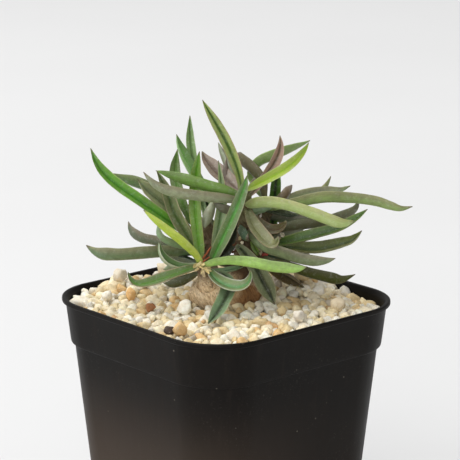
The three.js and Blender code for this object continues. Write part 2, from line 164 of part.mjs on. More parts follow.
    [23.59, -16.88, 76.91, 2.35, 0.53, 0.29, 0.8], [25.71, -19.08, 76.34, 1.9, 0.44, 0.38, 0.81], [27.37, -20.95, 76.96, 0.97, 0.19, 0.6, 0.77], [28.61, -22.39, 77.79, 0.18, 0.2, 0.59, 0.78]]],
  ['leaf_right_05', 'deep', [
    [14.66, -3.05, 90.42, 1.23, -0.52, -0.64, 0.56], [15.44, -2.51, 92.36, 1.37, -0.62, -0.7, 0.35], [16.35, -1.84, 94.61, 1.47, -0.52, -0.62, 0.59], [17.72, -0.65, 96.62, 1.52, -0.48, -0.59, 0.65], [18.66, 0.06, 99.01, 1.48, -0.67, -0.73, 0.16],
    [18.99, 0.14, 101.52, 1.35, -0.66, -0.72, 0.19], [19.6, 0.42, 103.57, 0.96, -0.62, -0.7, 0.36], [20.26, 0.75, 105.22, 0.51, -0.6, -0.69, 0.4], [20.82, 1.05, 106.52, 0.14, -0.59, -0.69, 0.42]]],
  ['leaf_right_06', 'grey', [
    [0.36, -4.84, 87.59, 0.85, -0.61, -0.08, 0.77], [0.36, -6.89, 86.48, 1.36, -0.67, -0.55, 0.49], [1.17, -8.63, 84.54, 1.79, -0.59, -0.75, 0.29], [2.05, -10.17, 82.2, 2.17, -0.59, -0.75, 0.29], [2.76, -11.58, 79.72, 2.35, -0.58, -0.78, 0.23],
    [3.4, -12.8, 77.35, 2.35, -0.58, -0.77, 0.25], [3.96, -13.83, 75.32, 2, -0.57, -0.79, 0.22], [4.38, -14.58, 73.56, 1.08, -0.57, -0.8, 0.19], [4.72, -15.16, 72.14, 0.22, -0.57, -0.8, 0.19]]],
  ['leaf_right_07', 'dry', [
    [10.41, -4.46, 81.02, 0.96, -0.66, -0.23, -0.72], [11.73, -4.63, 79.83, 1.33, -0.67, -0.22, -0.71], [13.3, -4.86, 78.48, 1.73, -0.63, -0.27, -0.73], [15.05, -5.29, 77.17, 1.98, -0.62, -0.32, -0.71], [16.62, -6.31, 75.98, 2.04, -0.76, -0.23, -0.6],
    [17.62, -7.91, 75.11, 1.9, -0.81, -0.16, -0.56], [18.42, -9.32, 74.36, 1.36, -0.79, -0.19, -0.58], [19.42, -10.08, 73.6, 0.71, -0.58, -0.34, -0.74], [20.43, -10.1, 72.97, 0.32, -0.45, -0.35, -0.82]]],
  ['leaf_back_right_01', 'green', [
    [12.95, -2.15, 98.14, 0.72, -0.29, 0.53, -0.8], [12.77, 0.84, 100.32, 1.38, -0.39, 0.55, -0.74], [13.5, 4.23, 103.16, 1.76, -0.46, 0.74, -0.48], [15.78, 5.13, 106.98, 2.12, -0.2, 0.84, 0.51], [19.88, 3.65, 108.92, 2.24, -0.03, 0.71, 0.7],
    [24.22, 2.96, 109.84, 2, -0.05, 0.69, 0.72], [28.02, 2.62, 110.42, 1.4, -0.05, 0.69, 0.72], [31.15, 2.23, 111.04, 0.74, -0.06, 0.71, 0.7], [33.6, 1.82, 111.69, 0.18, -0.06, 0.72, 0.69]]],
  ['leaf_back_right_02', 'browngreen', [
    [12.24, -3.6, 98.35, 0.71, 0.58, 0.02, 0.81], [11.33, -3.62, 100.12, 1.38, 0.94, -0.34, -0.03], [11.45, -2.86, 102.82, 2.11, 0.94, -0.28, 0.16], [11.05, -1.52, 105.46, 2.35, 0.91, -0.2, 0.36], [10.76, 0.83, 107.27, 2.35, 0.87, -0.22, 0.44],
    [10.98, 3.48, 108.14, 2.35, 0.83, -0.24, 0.5], [11.31, 5.79, 108.69, 2.34, 0.82, -0.22, 0.53], [11.43, 7.69, 109.3, 1.4, 0.86, -0.19, 0.48], [11.3, 9.1, 110.04, 0.22, 0.86, -0.16, 0.49]]],
  ['leaf_back_right_03', 'purple', [
    [13.28, -5.06, 96.81, 0.83, -0.09, 0.96, -0.12], [14.73, -5.43, 97.89, 1.2, 0.54, 0.76, 0.38], [15.04, -7.08, 99.48, 1.38, 0.57, 0.59, 0.57], [16.52, -7.24, 100.73, 1.3, -0.45, 0.79, -0.4], [18.51, -5.75, 100.78, 1.14, -0.58, 0.69, -0.43],
    [20.27, -4.25, 100.66, 0.93, -0.6, 0.65, -0.47], [21.77, -2.95, 100.54, 0.7, -0.59, 0.64, -0.49], [23.02, -1.87, 100.47, 0.46, -0.57, 0.66, -0.49], [24.04, -1.03, 100.46, 0.25, -0.55, 0.69, -0.48]]],
  ['leaf_back_right_04', 'olivebrown', [
    [12.06, -5.96, 96.47, 0.85, 0.3, 0.42, 0.86], [14.54, -9.72, 98, 1.82, 0.29, 0.56, 0.77], [17.98, -13.88, 99.62, 2.32, 0.34, 0.52, 0.78], [21.67, -18.53, 100.63, 2.35, 0.44, 0.43, 0.79], [25.38, -23.29, 100.72, 2.28, 0.51, 0.36, 0.78],
    [28.82, -27.72, 100.27, 2.04, 0.56, 0.31, 0.77], [31.7, -31.45, 99.25, 1.84, 0.63, 0.23, 0.74], [34.11, -34.5, 98.25, 1.11, 0.51, 0.37, 0.78], [36.11, -36.93, 98.87, 0.17, 0.34, 0.53, 0.77]]],
  ['leaf_back_right_05', 'greenbrown', [
    [14.6, -4.33, 97.41, 1.17, -0.11, 0.67, 0.73], [17.96, -3.82, 97.51, 1.6, -0.13, 0.67, 0.73], [21.87, -3.86, 97.97, 2.02, 0, 0.68, 0.73], [25.9, -4.98, 98.66, 2.27, 0.04, 0.61, 0.79], [30.14, -4.93, 98.44, 2.26, 0.06, 0.54, 0.84],
    [34.08, -4.78, 97.95, 2.05, 0.1, 0.53, 0.84], [37.46, -5.03, 97.57, 1.52, 0.11, 0.55, 0.83], [40.24, -5.47, 97.81, 0.84, -0.03, 0.69, 0.72], [42.41, -5.89, 98.33, 0.19, -0.02, 0.69, 0.73]]],
  ['leaf_back_right_06', 'darkg', [
    [18.01, 0.74, 95.1, 0.68, -0.05, 0.6, 0.8], [20.76, 0.37, 95.1, 1.19, 0.23, 0.52, 0.82], [23.82, -0.87, 95.25, 1.52, 0.08, 0.59, 0.8], [27.38, -1.3, 95.41, 1.74, 0.02, 0.64, 0.77], [30.9, -1.61, 95.93, 1.79, -0.14, 0.73, 0.67],
    [34.14, -1.29, 96.66, 1.62, -0.27, 0.8, 0.54], [36.77, -0.87, 97.71, 1.24, -0.35, 0.85, 0.39], [38.64, -0.59, 99.15, 0.7, -0.38, 0.89, 0.24], [39.94, -0.4, 100.54, 0.19, -0.38, 0.89, 0.25]]],
  ['leaf_back_right_07', 'green', [
    [13.39, -0.76, 94.53, 0.64, 0.91, -0.35, -0.23], [14.3, 1.86, 93.2, 1.02, 0.93, -0.36, -0.05], [15.41, 4.86, 91.58, 1.32, 0.94, -0.35, 0.03], [16.65, 7.99, 89.72, 1.57, 0.94, -0.32, 0.12], [18.1, 10.95, 87.73, 1.73, 0.89, -0.24, 0.39],
    [19.72, 13.48, 85.76, 1.78, 0.85, -0.13, 0.52], [21.08, 15.49, 83.87, 1.33, 0.84, -0.03, 0.54], [22.2, 17.07, 82.19, 0.69, 0.84, 0, 0.55], [23.09, 18.33, 80.84, 0.16, 0.84, -0.02, 0.54]]],
  ['leaf_back_left_11', 'green', [
    [1.54, 8.71, 91.97, 0.63, -0.29, 0.96, 0.06], [3.6, 10.06, 91.24, 0.94, 0.76, -0.07, 0.65], [5.26, 12.32, 89.47, 1.26, 0.78, -0.08, 0.61], [6.87, 14.65, 87.54, 1.53, 0.83, -0.1, 0.54], [8.41, 17.02, 85.44, 1.68, 0.88, -0.09, 0.46],
    [9.63, 19.2, 83.38, 1.7, 0.91, -0.08, 0.41], [10.59, 21.1, 81.6, 1.34, 0.9, -0.08, 0.42], [11.46, 22.69, 80.11, 0.7, 0.9, -0.08, 0.42], [12.11, 23.99, 78.88, 0.16, 0.9, -0.08, 0.42]]],
  ['leaf_back_right_08', 'greenbrown', [
    [16.48, -0.45, 93.19, 0.55, 0.2, 0.75, 0.63], [18.74, -0.59, 91.81, 0.97, 0.52, 0.74, 0.43], [21.31, -0.91, 90.12, 1.35, 0.35, 0.71, 0.62], [24, -0.37, 88.21, 1.58, 0.35, 0.64, 0.69], [26.54, 0.38, 86.17, 1.7, 0.44, 0.55, 0.71],
    [28.7, 1.21, 84.08, 1.66, 0.55, 0.45, 0.7], [30.38, 2.01, 82.15, 1.24, 0.65, 0.37, 0.67], [31.66, 2.72, 80.47, 0.65, 0.68, 0.35, 0.65], [32.68, 3.29, 79.13, 0.16, 0.66, 0.36, 0.66]]],
  ['leaf_back_left_12', 'greybrown', [
    [0.13, 10.36, 89.03, 0.62, 0.95, -0.32, 0.01], [0.52, 12.55, 87.74, 0.95, 0.97, -0.18, -0.17], [0.72, 15.13, 86.18, 1.26, 0.97, -0.17, -0.15], [0.91, 17.85, 84.44, 1.5, 0.98, -0.15, -0.13], [1.11, 20.48, 82.58, 1.61, 0.99, -0.12, -0.04],
    [1.32, 22.78, 80.64, 1.53, 1, -0.07, 0.05], [1.63, 24.63, 78.86, 1.18, 0.98, -0.04, 0.18], [2, 26.08, 77.31, 0.63, 0.97, -0.02, 0.23], [2.3, 27.22, 76.05, 0.16, 0.98, -0.02, 0.21]]],
  ['leaf_centre_15', 'green', [
    [3.98, -3.08, 100.54, 0.46, 0.01, 0.03, -1], [5.17, -0.73, 100.61, 0.89, 0.33, -0.1, -0.94], [6.37, 2.12, 100.69, 1.2, 0.36, -0.15, -0.92], [7.66, 5.16, 100.62, 1.44, 0.42, -0.22, -0.88], [8.94, 8.21, 100.41, 1.59, 0.51, -0.29, -0.81],
    [10.12, 11.04, 100.05, 1.62, 0.6, -0.36, -0.71], [11.08, 13.46, 99.6, 1.39, 0.72, -0.4, -0.57], [11.8, 15.48, 99.07, 0.75, 0.8, -0.4, -0.44], [12.36, 17.09, 98.61, 0.16, 0.78, -0.4, -0.47]]],
  ['leaf_centre_16', 'greenbrown', [
    [5.24, -3.82, 98.79, 0.58, -0.33, 0.86, 0.39], [7.95, -2.44, 98.13, 0.96, -0.34, 0.85, 0.4], [11.1, -0.81, 97.33, 1.23, -0.32, 0.84, 0.45], [14.43, 0.97, 96.38, 1.44, -0.29, 0.82, 0.5], [17.78, 2.66, 95.36, 1.59, -0.2, 0.83, 0.52],
    [21.06, 3.81, 94.32, 1.68, -0.08, 0.85, 0.52], [23.88, 4.69, 93.32, 1.43, -0.04, 0.81, 0.58], [26.18, 5.44, 92.39, 0.75, 0, 0.79, 0.61], [28.01, 6.06, 91.63, 0.16, -0.02, 0.79, 0.61]]],
  ['leaf_right_08', 'deep', [
    [11.29, -4.64, 84.64, 0.47, -0.3, 0.93, 0.22], [13.86, -4.18, 84.06, 0.96, -0.03, 0.92, 0.38], [16.87, -3.77, 83.28, 1.25, 0, 0.9, 0.43], [20.05, -3.36, 82.26, 1.49, 0.05, 0.88, 0.47], [23.18, -2.92, 81.14, 1.62, 0.04, 0.87, 0.5],
    [26.08, -2.42, 80.05, 1.62, 0.06, 0.85, 0.52], [28.55, -2.06, 79.06, 1.29, 0.11, 0.85, 0.52], [30.6, -1.82, 78.19, 0.68, 0.13, 0.84, 0.52], [32.24, -1.64, 77.49, 0.16, 0.13, 0.84, 0.52]]],
  ['leaf_front_12', 'mid', [
    [-8.69, 1.27, 82.94, 0.6, 0.64, -0.4, -0.66], [-8.01, 3.65, 82.31, 0.92, 0.77, -0.35, -0.54], [-7.31, 6.44, 81.54, 1.21, 0.78, -0.33, -0.53], [-6.68, 9.45, 80.68, 1.45, 0.8, -0.3, -0.52], [-6.14, 12.46, 79.76, 1.59, 0.84, -0.28, -0.47],
    [-5.75, 15.26, 78.81, 1.61, 0.87, -0.26, -0.43], [-5.48, 17.63, 77.9, 1.3, 0.9, -0.24, -0.37], [-5.3, 19.58, 77.06, 0.69, 0.91, -0.23, -0.34], [-5.16, 21.13, 76.39, 0.16, 0.91, -0.23, -0.35]]],
];
// ------------------------------------------------------------------ materials
const mat = (color, roughness, metalness = 0) => new THREE.MeshStandardMaterial({ color, roughness, metalness });
const LEAF_COLOURS = {
  fresh: 0x6fa54a, freshpink: 0x7fa65a, mid: 0x6f9464, lime: 0xa9bf45, lime2: 0x94b83e, green: 0x5f8a48,
  grey: 0x8a9a82, teal: 0x5d7f72, brown: 0x857668, purple: 0x8a7068, darkg: 0x47613c, deep: 0x3f5a2e,
  deepbrown: 0x5a5c40, browngreen: 0x5c5a40, greenbrown: 0x6f7a58, greybrown: 0x77766a, olive: 0xa0b07a,
  olivebrown: 0x86905e, pinkgrey: 0xa8a598, darkgbrown: 0x4d5c40, dry: 0x5c4a3a,
};

// -------------------------------------------------------------------- helpers
function bare(geometry) {                     // shared vertices, positions only
  geometry.deleteAttribute('normal');
  geometry.deleteAttribute('uv');
  return mergeVertices(geometry, 1e-4);
}

function volume(geometry) {
  const p = geometry.attributes.position, ix = geometry.index.array;
  const a = new THREE.Vector3(), b = new THREE.Vector3(), c = new THREE.Vector3();
  let v = 0;
  for (let i = 0; i < ix.length; i += 3) {
    a.fromBufferAttribute(p, ix[i]); b.fromBufferAttribute(p, ix[i + 1]); c.fromBufferAttribute(p, ix[i + 2]);
    v += a.dot(b.cross(c)) / 6;
  }
  return v;
}

function outward(geometry) {                  // faces point out of the solid
  if (volume(geometry) < 0) {
    const ix = geometry.index.array;
    for (let i = 0; i < ix.length; i += 3) { const t = ix[i]; ix[i] = ix[i + 1]; ix[i + 1] = t; }
  }
  return geometry;
}

const wasm = await Module();
wasm.setup();
const solid = (geometry) => new wasm.Manifold(new wasm.Mesh({
  numProp: 3,
  vertProperties: new Float32Array(geometry.attributes.position.array),
  triVerts: new Uint32Array(geometry.index.array),
}));
function fromSolid(body) {
  const mesh = body.getMesh();
  const geometry = new THREE.BufferGeometry();
  geometry.setAttribute('position', new THREE.BufferAttribute(new Float32Array(mesh.vertProperties), 3));
  geometry.setIndex(new THREE.BufferAttribute(new Uint32Array(mesh.triVerts), 1));
  return geometry;
}

// Points round a rounded square of half-width 1, one per lathe segment.
const ROUND = (() => {
  const r = CORNER_RATIO, s = 1 - r, pts = [];
  for (let q = 0; q < 4; q++) {
    const turn = q * Math.PI / 2, c = Math.cos(turn), d = Math.sin(turn);
    const put = (x, y) => pts.push([x * c - y * d, x * d + y * c]);
    for (const t of SIDE_STEPS.slice(0, -1)) put(1, s * t);
    for (let i = 0; i < ARC_STEPS; i++) {
      const a = i / ARC_STEPS * Math.PI / 2;
      put(s + r * Math.cos(a), s + r * Math.sin(a));
    }
    for (const t of SIDE_STEPS.slice(0, -1)) put(s * (1 - t), 1);
  }
  return pts;
})();
const AROUND = ROUND.length;

// A lathed profile of [half-width, height] whose circles are pressed square.
function squareLathe(profile, shape = null) {
  const geometry = new THREE.LatheGeometry(profile.map(([a, z]) => new THREE.Vector2(a, z)), AROUND);
  const p = geometry.attributes.position, n = profile.length;
  for (let i = 0; i < p.count; i++) {
    const k = Math.floor(i / n) % AROUND, j = i % n, [a, z] = profile[j];
    const [x, y, h] = shape ? shape(j, k, a, z) : [ROUND[k][0] * a, ROUND[k][1] * a, z];
    p.setXYZ(i, x, y, h);
  }
  return outward(bare(geometry));
}

// ------------------------------------------------------------------------ pot
const STEP_Z = POT_H - COLLAR_H;              // shoulder between collar and body
const bodyHalf = (z) => BODY_TOP - TAPER * (STEP_Z - z);
const collarHalf = (z) => COLLAR_BOTTOM + (COLLAR_TOP - COLLAR_BOTTOM) * (z - STEP_Z) / (COLLAR_H - 1.4);
const innerHalf = (z) => z < STEP_Z ? bodyHalf(z) - BODY_WALL
  : z < STEP_Z + 1.4 ? bodyHalf(STEP_Z) - BODY_WALL + (collarHalf(STEP_Z + 1.4) - COLLAR_WALL - bodyHalf(STEP_Z) + BODY_WALL) * (z - STEP_Z) / 1.4
    : collarHalf(Math.min(z, POT_H - 1.4)) - COLLAR_WALL;

const potShell = squareLathe([
  [0, 0],
  [bodyHalf(0) - 0.9, 0],
  [bodyHalf(0) - 0.25, 0.25],
  [bodyHalf(1), 1],
  [bodyHalf(STEP_Z - 0.5), STEP_Z - 0.5],
  [COLLAR_BOTTOM - 0.5, STEP_Z - 0.35],
  [COLLAR_BOTTOM, STEP_Z + 0.15],
  [COLLAR_TOP, POT_H - 1.4],
  [RIM_HALF - 0.25, POT_H - 1.25],
  [RIM_HALF, POT_H - 0.8],
  [RIM_HALF - 0.1, POT_H - 0.3],
  [RIM_HALF - 0.4, POT_H],
  [RIM_HALF - LIP_W + 0.2, POT_H],
  [RIM_HALF - LIP_W - 0.15, POT_H - 0.3],
  [collarHalf(POT_H - 1.4) - COLLAR_WALL, POT_H - 1.4],
  [innerHalf(STEP_Z + 1.4), STEP_Z + 1.4],
  [innerHalf(STEP_Z - 0.01), STEP_Z],
  [innerHalf(FLOOR_T + 1), FLOOR_T + 1],
  [innerHalf(FLOOR_T) - 0.9, FLOOR_T],
  [0, FLOOR_T],
]);
let potSolid = solid(potShell);
for (const sx of [-1, 1]) for (const sy of [-1, 1]) {
  const drill = outward(bare(new THREE.CylinderGeometry(DRAIN_R, DRAIN_R, FLOOR_T * 3, 20)
    .rotateX(Math.PI / 2).translate(sx * DRAIN_AT, sy * DRAIN_AT, FLOOR_T / 2)));
  potSolid = potSolid.subtract(solid(drill));
}
const potGeometry = fromSolid(potSolid);

// --------------------------------------------------------- gravel and mix
// Gravel level from the rim plane, as a mound with heaps and a low corner.
const HEAPS = [  // [x, y, spread, height]
  [CAUDEX_AT[0], CAUDEX_AT[1], 13.5, 1.5],
  [-11.75, 27.57, 7.5, 3.2],
  [23.28, -3.77 + 7, 8.5, 0],
  [11.86, 13.54, 9, 1.8],
  [22.5, -2.5, 8.5, 4.0],
  [34, -21.8, 10, -2.2],
];
const gravelLevel = (x, y) => POT_H + GRAVEL_EDGE
  + HEAPS.reduce((s, [hx, hy, w, h]) => s + h * Math.exp(-((x - hx) ** 2 + (y - hy) ** 2) / (w * w)), 0);

const outline = (u) => {                      // lumpy outline of the swollen base
  const lump = 1 + 0.05 * Math.sin(3 * u + 0.6) + 0.035 * Math.sin(5 * u + 2.0);
  return [CAUDEX_RX * lump * Math.cos(u), CAUDEX_RY * lump * Math.sin(u)];
};
const turned = (x, y) => [
  CAUDEX_AT[0] + x * Math.cos(CAUDEX_TURN) - y * Math.sin(CAUDEX_TURN),
  CAUDEX_AT[1] + x * Math.sin(CAUDEX_TURN) + y * Math.cos(CAUDEX_TURN),
];

const GRAVEL_FOOT = MIX_TOP + GAP;
const RINGS = [0.02, 0.14, 0.28, 0.43, 0.58, 0.72, 0.86, 1];  // from the seat to the wall
const gravelProfile = [[0, 1], [0.5, 1], [0.9, 1], ...RINGS.map((t) => [t + 1, 1]), [2, 0], [1, 0], [0, 0]];
const gravelGeometry = squareLathe(gravelProfile, (j, k, a, top) => {
  const [cx, cy] = ROUND[k], u = Math.atan2(cy, cx) - CAUDEX_TURN, o = outline(u), n = Math.hypot(o[0], o[1]);
  const grow = (n + CAUDEX_POCKET) / n, s = turned(o[0] * grow, o[1] * grow);
  if (!top) {
    const half = innerHalf(GRAVEL_FOOT) - GAP - 0.05, t = a / 2;
    return [cx * half * t, cy * half * t, GRAVEL_FOOT];
  }
  const floor = POT_H + CAUDEX_FOOT - GAP;
  if (a <= 0.5) return [CAUDEX_AT[0] + (s[0] - CAUDEX_AT[0]) * a, CAUDEX_AT[1] + (s[1] - CAUDEX_AT[1]) * a, floor];
  if (a < 1) return [s[0], s[1], floor];
  const t = a - 1, half = innerHalf(POT_H - 2.4) - GAP - 0.05;
  const x = s[0] + (cx * half - s[0]) * t, y = s[1] + (cy * half - s[1]) * t;
  return [x, y, gravelLevel(x, y)];
});

const mixGeometry = squareLathe([
  [0, FLOOR_T + GAP],
  [innerHalf(FLOOR_T) - 1.6, FLOOR_T + GAP],
  [innerHalf(FLOOR_T + 2) - GAP - 0.1, FLOOR_T + 2],
  [innerHalf(STEP_Z) - GAP - 0.1, STEP_Z],
  [innerHalf(STEP_Z) - GAP - 0.1, MIX_TOP],
  [0, MIX_TOP],
]);

// --------------------------------------------- swollen base and its branches
function caudexBody() {
  const geometry = new THREE.SphereGeometry(1, 28, 14).rotateX(Math.PI / 2);
  const p = geometry.attributes.position, v = new THREE.Vector3();
  for (let i = 0; i < p.count; i++) {
    v.fromBufferAttribute(p, i).normalize();
    const u = Math.atan2(v.y, v.x), flat = Math.hypot(v.x, v.y);
    const lump = 1 + (0.05 * Math.sin(3 * u + 0.6) + 0.035 * Math.sin(5 * u + 2.0)) * flat;
    const x = v.x * CAUDEX_RX * lump, y = v.y * CAUDEX_RY * lump;
    let z = Math.sign(v.z) * Math.abs(v.z) ** 0.85 * CAUDEX_RZ + 0.2;
    if (v.z > 0) z += 2.0 * Math.exp(-((x + 4.6) ** 2 + (y + 2) ** 2) / 22) * Math.sqrt(v.z);
    z = Math.max(z, CAUDEX_FOOT);
    const [X, Y] = turned(x, y);
    p.setXYZ(i, X, Y, z + POT_H);
  }
  return outward(bare(geometry));
}

// A cylinder bent along a centre line, with a radius at each station.
function limb(points, sides = 12) {
  const n = points.length - 1;
  const geometry = new THREE.CylinderGeometry(1, 1, n, sides, n).rotateX(Math.PI / 2);
  const p = geometry.attributes.position, at = points.map(([x, y, z]) => new THREE.Vector3(x, y, z));
  const frames = at.map((q, i) => {
    const t = at[Math.min(i + 1, n)].clone().sub(at[Math.max(i - 1, 0)]).normalize();
    const u = new THREE.Vector3(0, 1, 0).addScaledVector(t, -t.y).normalize();
    return [u.clone().cross(t), u];
  });
  for (let i = 0; i < p.count; i++) {
    const k = Math.round(p.getZ(i) + n / 2), [u, w] = frames[k], r = points[k][3];
    const q = at[k].clone().addScaledVector(u, p.getX(i) * r).addScaledVector(w, p.getY(i) * r);
    p.setXYZ(i, q.x, q.y, q.z);
  }
  return outward(bare(geometry));
}

let plant = solid(caudexBody());
for (const line of Object.values(BRANCHES)) plant = plant.add(solid(limb(line)));
const caudexGeometry = fromSolid(plant);

// --------------------------------------------------------------------- leaves
// Leaf section over its half-width: channelled upper face, keeled underside.
const SECTION = [[-1, 0.26], [-0.52, 0.02], [0, -0.10], [0.52, 0.02], [1, 0.26], [0.68, -0.40], [0, -0.70], [-0.68, -0.40]];

// Each station is [x, y, z, half-width, and the direction its upper face looks].
// The last station is the point of the leaf.
function leaf(stations) {
  const n = stations.length - 1, m = SECTION.length;
  const geometry = new THREE.CylinderGeometry(1, 1, n, m, n).rotateX(Math.PI / 2);
  const p = geometry.attributes.position;
  const at = stations.map((s) => new THREE.Vector3(s[0], s[1], s[2]));
  const frames = stations.map((s, i) => {
    const t = at[Math.min(i + 1, n)].clone().sub(at[Math.max(i - 1, 0)]);
    if (i > 0 && i < n) t.multiplyScalar(0.5);
    t.normalize();
    const up = new THREE.Vector3(s[4], s[5], s[6]);
    up.addScaledVector(t, -up.dot(t)).normalize();
    return [t.clone().cross(up), up];
  });
  for (let i = 0; i < p.count; i++) {
    const k = Math.round(p.getZ(i) + n / 2), x = p.getX(i), y = p.getY(i);
    if (k === n || Math.hypot(x, y) < 1e-6) { p.setXYZ(i, at[k].x, at[k].y, at[k].z); continue; }
    const [side, up] = frames[k];
    const j = ((Math.round(Math.atan2(y, x) / (2 * Math.PI) * m) % m) + m) % m;
    const [a, b] = SECTION[j], w = stations[k][3];
    const q = at[k].clone().addScaledVector(side, a * w).addScaledVector(up, b * w);
    p.setXYZ(i, q.x, q.y, q.z);
  }
  const g = bare(geometry), ix = g.index.array, keep = [];
  for (let i = 0; i < ix.length; i += 3) {
    if (ix[i] !== ix[i + 1] && ix[i + 1] !== ix[i + 2] && ix[i] !== ix[i + 2]) keep.push(ix[i], ix[i + 1], ix[i + 2]);
  }
  g.setIndex(keep);
  return outward(g);
}

// ------------------------------------------------------------------- assembly
const object = new THREE.Group();
object.name = 'potted_euphorbia';
const add = (name, geometry, material, parent = object) => {
  const mesh = new THREE.Mesh(geometry, material);
  mesh.name = name;
  parent.add(mesh);
};

add('pot', potGeometry, mat(0x1c1b1a, 0.5));
add('potting_mix', mixGeometry, mat(0x3a2c20, 0.95));
add('gravel_bed', gravelGeometry, mat(0xd8cdb8, 0.85));
add('caudex', caudexGeometry, mat(0x9a7f5e, 0.9));

const crown = new THREE.Group();
object.add(crown);
for (const [name, colour, stations] of LEAVES) add(name, leaf(stations), mat(LEAF_COLOURS[colour], 0.5), crown);

export default object;
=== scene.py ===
# Looks for the potted caudiciform euphorbia. Numbers are millimetres in the
# pot's own frame and become metres when a mesh is made.
import math
import bpy
import bmesh
import numpy as np
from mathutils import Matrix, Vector, noise


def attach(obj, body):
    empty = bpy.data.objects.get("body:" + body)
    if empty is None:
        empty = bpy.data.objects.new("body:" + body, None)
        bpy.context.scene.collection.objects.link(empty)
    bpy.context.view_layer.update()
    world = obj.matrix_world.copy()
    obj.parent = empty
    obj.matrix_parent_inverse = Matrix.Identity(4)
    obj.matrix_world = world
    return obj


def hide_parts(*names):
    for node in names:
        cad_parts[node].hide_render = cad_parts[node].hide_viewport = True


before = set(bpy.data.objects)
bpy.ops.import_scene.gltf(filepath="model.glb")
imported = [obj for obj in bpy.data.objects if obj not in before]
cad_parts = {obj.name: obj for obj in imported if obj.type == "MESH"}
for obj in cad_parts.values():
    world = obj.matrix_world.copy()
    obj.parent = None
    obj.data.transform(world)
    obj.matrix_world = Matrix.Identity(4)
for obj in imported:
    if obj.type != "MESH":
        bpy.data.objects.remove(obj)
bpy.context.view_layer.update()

MM = 0.001
scene = bpy.context.scene
scene.view_settings.view_transform = "Standard"
scene.view_settings.look = "None"

POT_H, RIM_HALF, CORNER, COLLAR_H = 72.0, 37.5, 0.44, 13.0
COLLAR_TOP, COLLAR_BOTTOM, BODY_TOP, TAPER = 36.65, 35.54, 34.71, 0.0908
COLLAR_WALL, BODY_WALL, FLOOR_T, STEP_Z = 0.8, 1.0, 1.6, 59.0
CAUDEX_AT, CAUDEX_TURN = (1.67, 1.46), -0.71904
HEAPS = ((1.67, 1.46, 13.5, 1.5), (-11.75, 27.57, 7.5, 3.2), (11.86, 13.54, 9.0, 1.8),
         (22.5, -2.5, 8.5, 4.0), (34.0, -21.8, 10.0, -2.2))


# ------------------------------------------------------------------- helpers
def linear(hex_colour):
    v = [int(hex_colour[i:i + 2], 16) / 255 for i in (0, 2, 4)]
    return np.array([c / 12.92 if c <= 0.04045 else ((c + 0.055) / 1.055) ** 2.4 for c in v])


def smooth(a, b, x):
    t = np.clip((np.asarray(x, float) - a) / (b - a), 0, 1)
    return t * t * (3 - 2 * t)


def lattice(p, seed=0):
    """Smooth value noise in -1..1 at points p (n, 3), vectorised."""
    p = np.asarray(p, float) + seed * 17.31
    i = np.floor(p).astype(np.int64)
    f = p - i
    f = f * f * (3 - 2 * f)
    out = np.zeros(len(p))
    for dx in (0, 1):
        for dy in (0, 1):
            for dz in (0, 1):
                h = (i[:, 0] + dx) * 374761393 + (i[:, 1] + dy) * 668265263 + (i[:, 2] + dz) * 2147483647 + seed * 1274126177
                h = (h ^ (h >> 13)) * 1274126177
                h = (h ^ (h >> 16)) & 0xFFFFFF
                w = (f[:, 0] if dx else 1 - f[:, 0]) * (f[:, 1] if dy else 1 - f[:, 1]) * (f[:, 2] if dz else 1 - f[:, 2])
                out += w * (h / float(0x7FFFFF) - 1)
    return out


def fractal(p, seed=0, octaves=4):
    p = np.asarray(p, float)
    return sum(lattice(p * 2 ** k, seed + k) * 0.5 ** k for k in range(octaves)) / 1.8


def make(name, verts, faces, material, smooth_shade=True, **attributes):
    """A mesh object from millimetre points. Attributes are (n, 3) per vertex."""
    mesh = bpy.data.meshes.new(name)
    verts = np.asarray(verts, np.float64) * MM
    if isinstance(faces, np.ndarray):
        n, k = faces.shape
        mesh.vertices.add(len(verts))
        mesh.vertices.foreach_set("co", verts.astype(np.float32).ravel())
        mesh.loops.add(n * k)
        mesh.loops.foreach_set("vertex_index", faces.astype(np.int32).ravel())
        mesh.polygons.add(n)
        mesh.polygons.foreach_set("loop_start", np.arange(0, n * k, k, dtype=np.int32))
    else:
        mesh.from_pydata([tuple(v) for v in verts], [], [tuple(int(i) for i in f) for f in faces])
    mesh.update(calc_edges=True)
    mesh.validate()
    for key, values in attributes.items():
        values = np.asarray(values, np.float32)
        if key == "paint":
            layer = mesh.color_attributes.new(name="paint", type="FLOAT_COLOR", domain="POINT")
            layer.data.foreach_set("color", np.hstack([values, np.ones((len(values), 1), np.float32)]).ravel())
        else:
            layer = mesh.attributes.new(name=key, type="FLOAT_VECTOR", domain="POINT")
            layer.data.foreach_set("vector", values.ravel())
    if smooth_shade:
        mesh.polygons.foreach_set("use_smooth", np.ones(len(mesh.polygons), dtype=bool))
    mesh.materials.append(material)
    piece = bpy.data.objects.new(name, mesh)
    scene.collection.objects.link(piece)
    return piece


def applied(piece):
    """Applies the piece's modifiers to its mesh."""
    graph = bpy.context.evaluated_depsgraph_get()
    mesh = bpy.data.meshes.new_from_object(piece.evaluated_get(graph))
    old = piece.data
    piece.modifiers.clear()
    piece.data = mesh
    bpy.data.meshes.remove(old)
    mesh.name = piece.name
    return piece


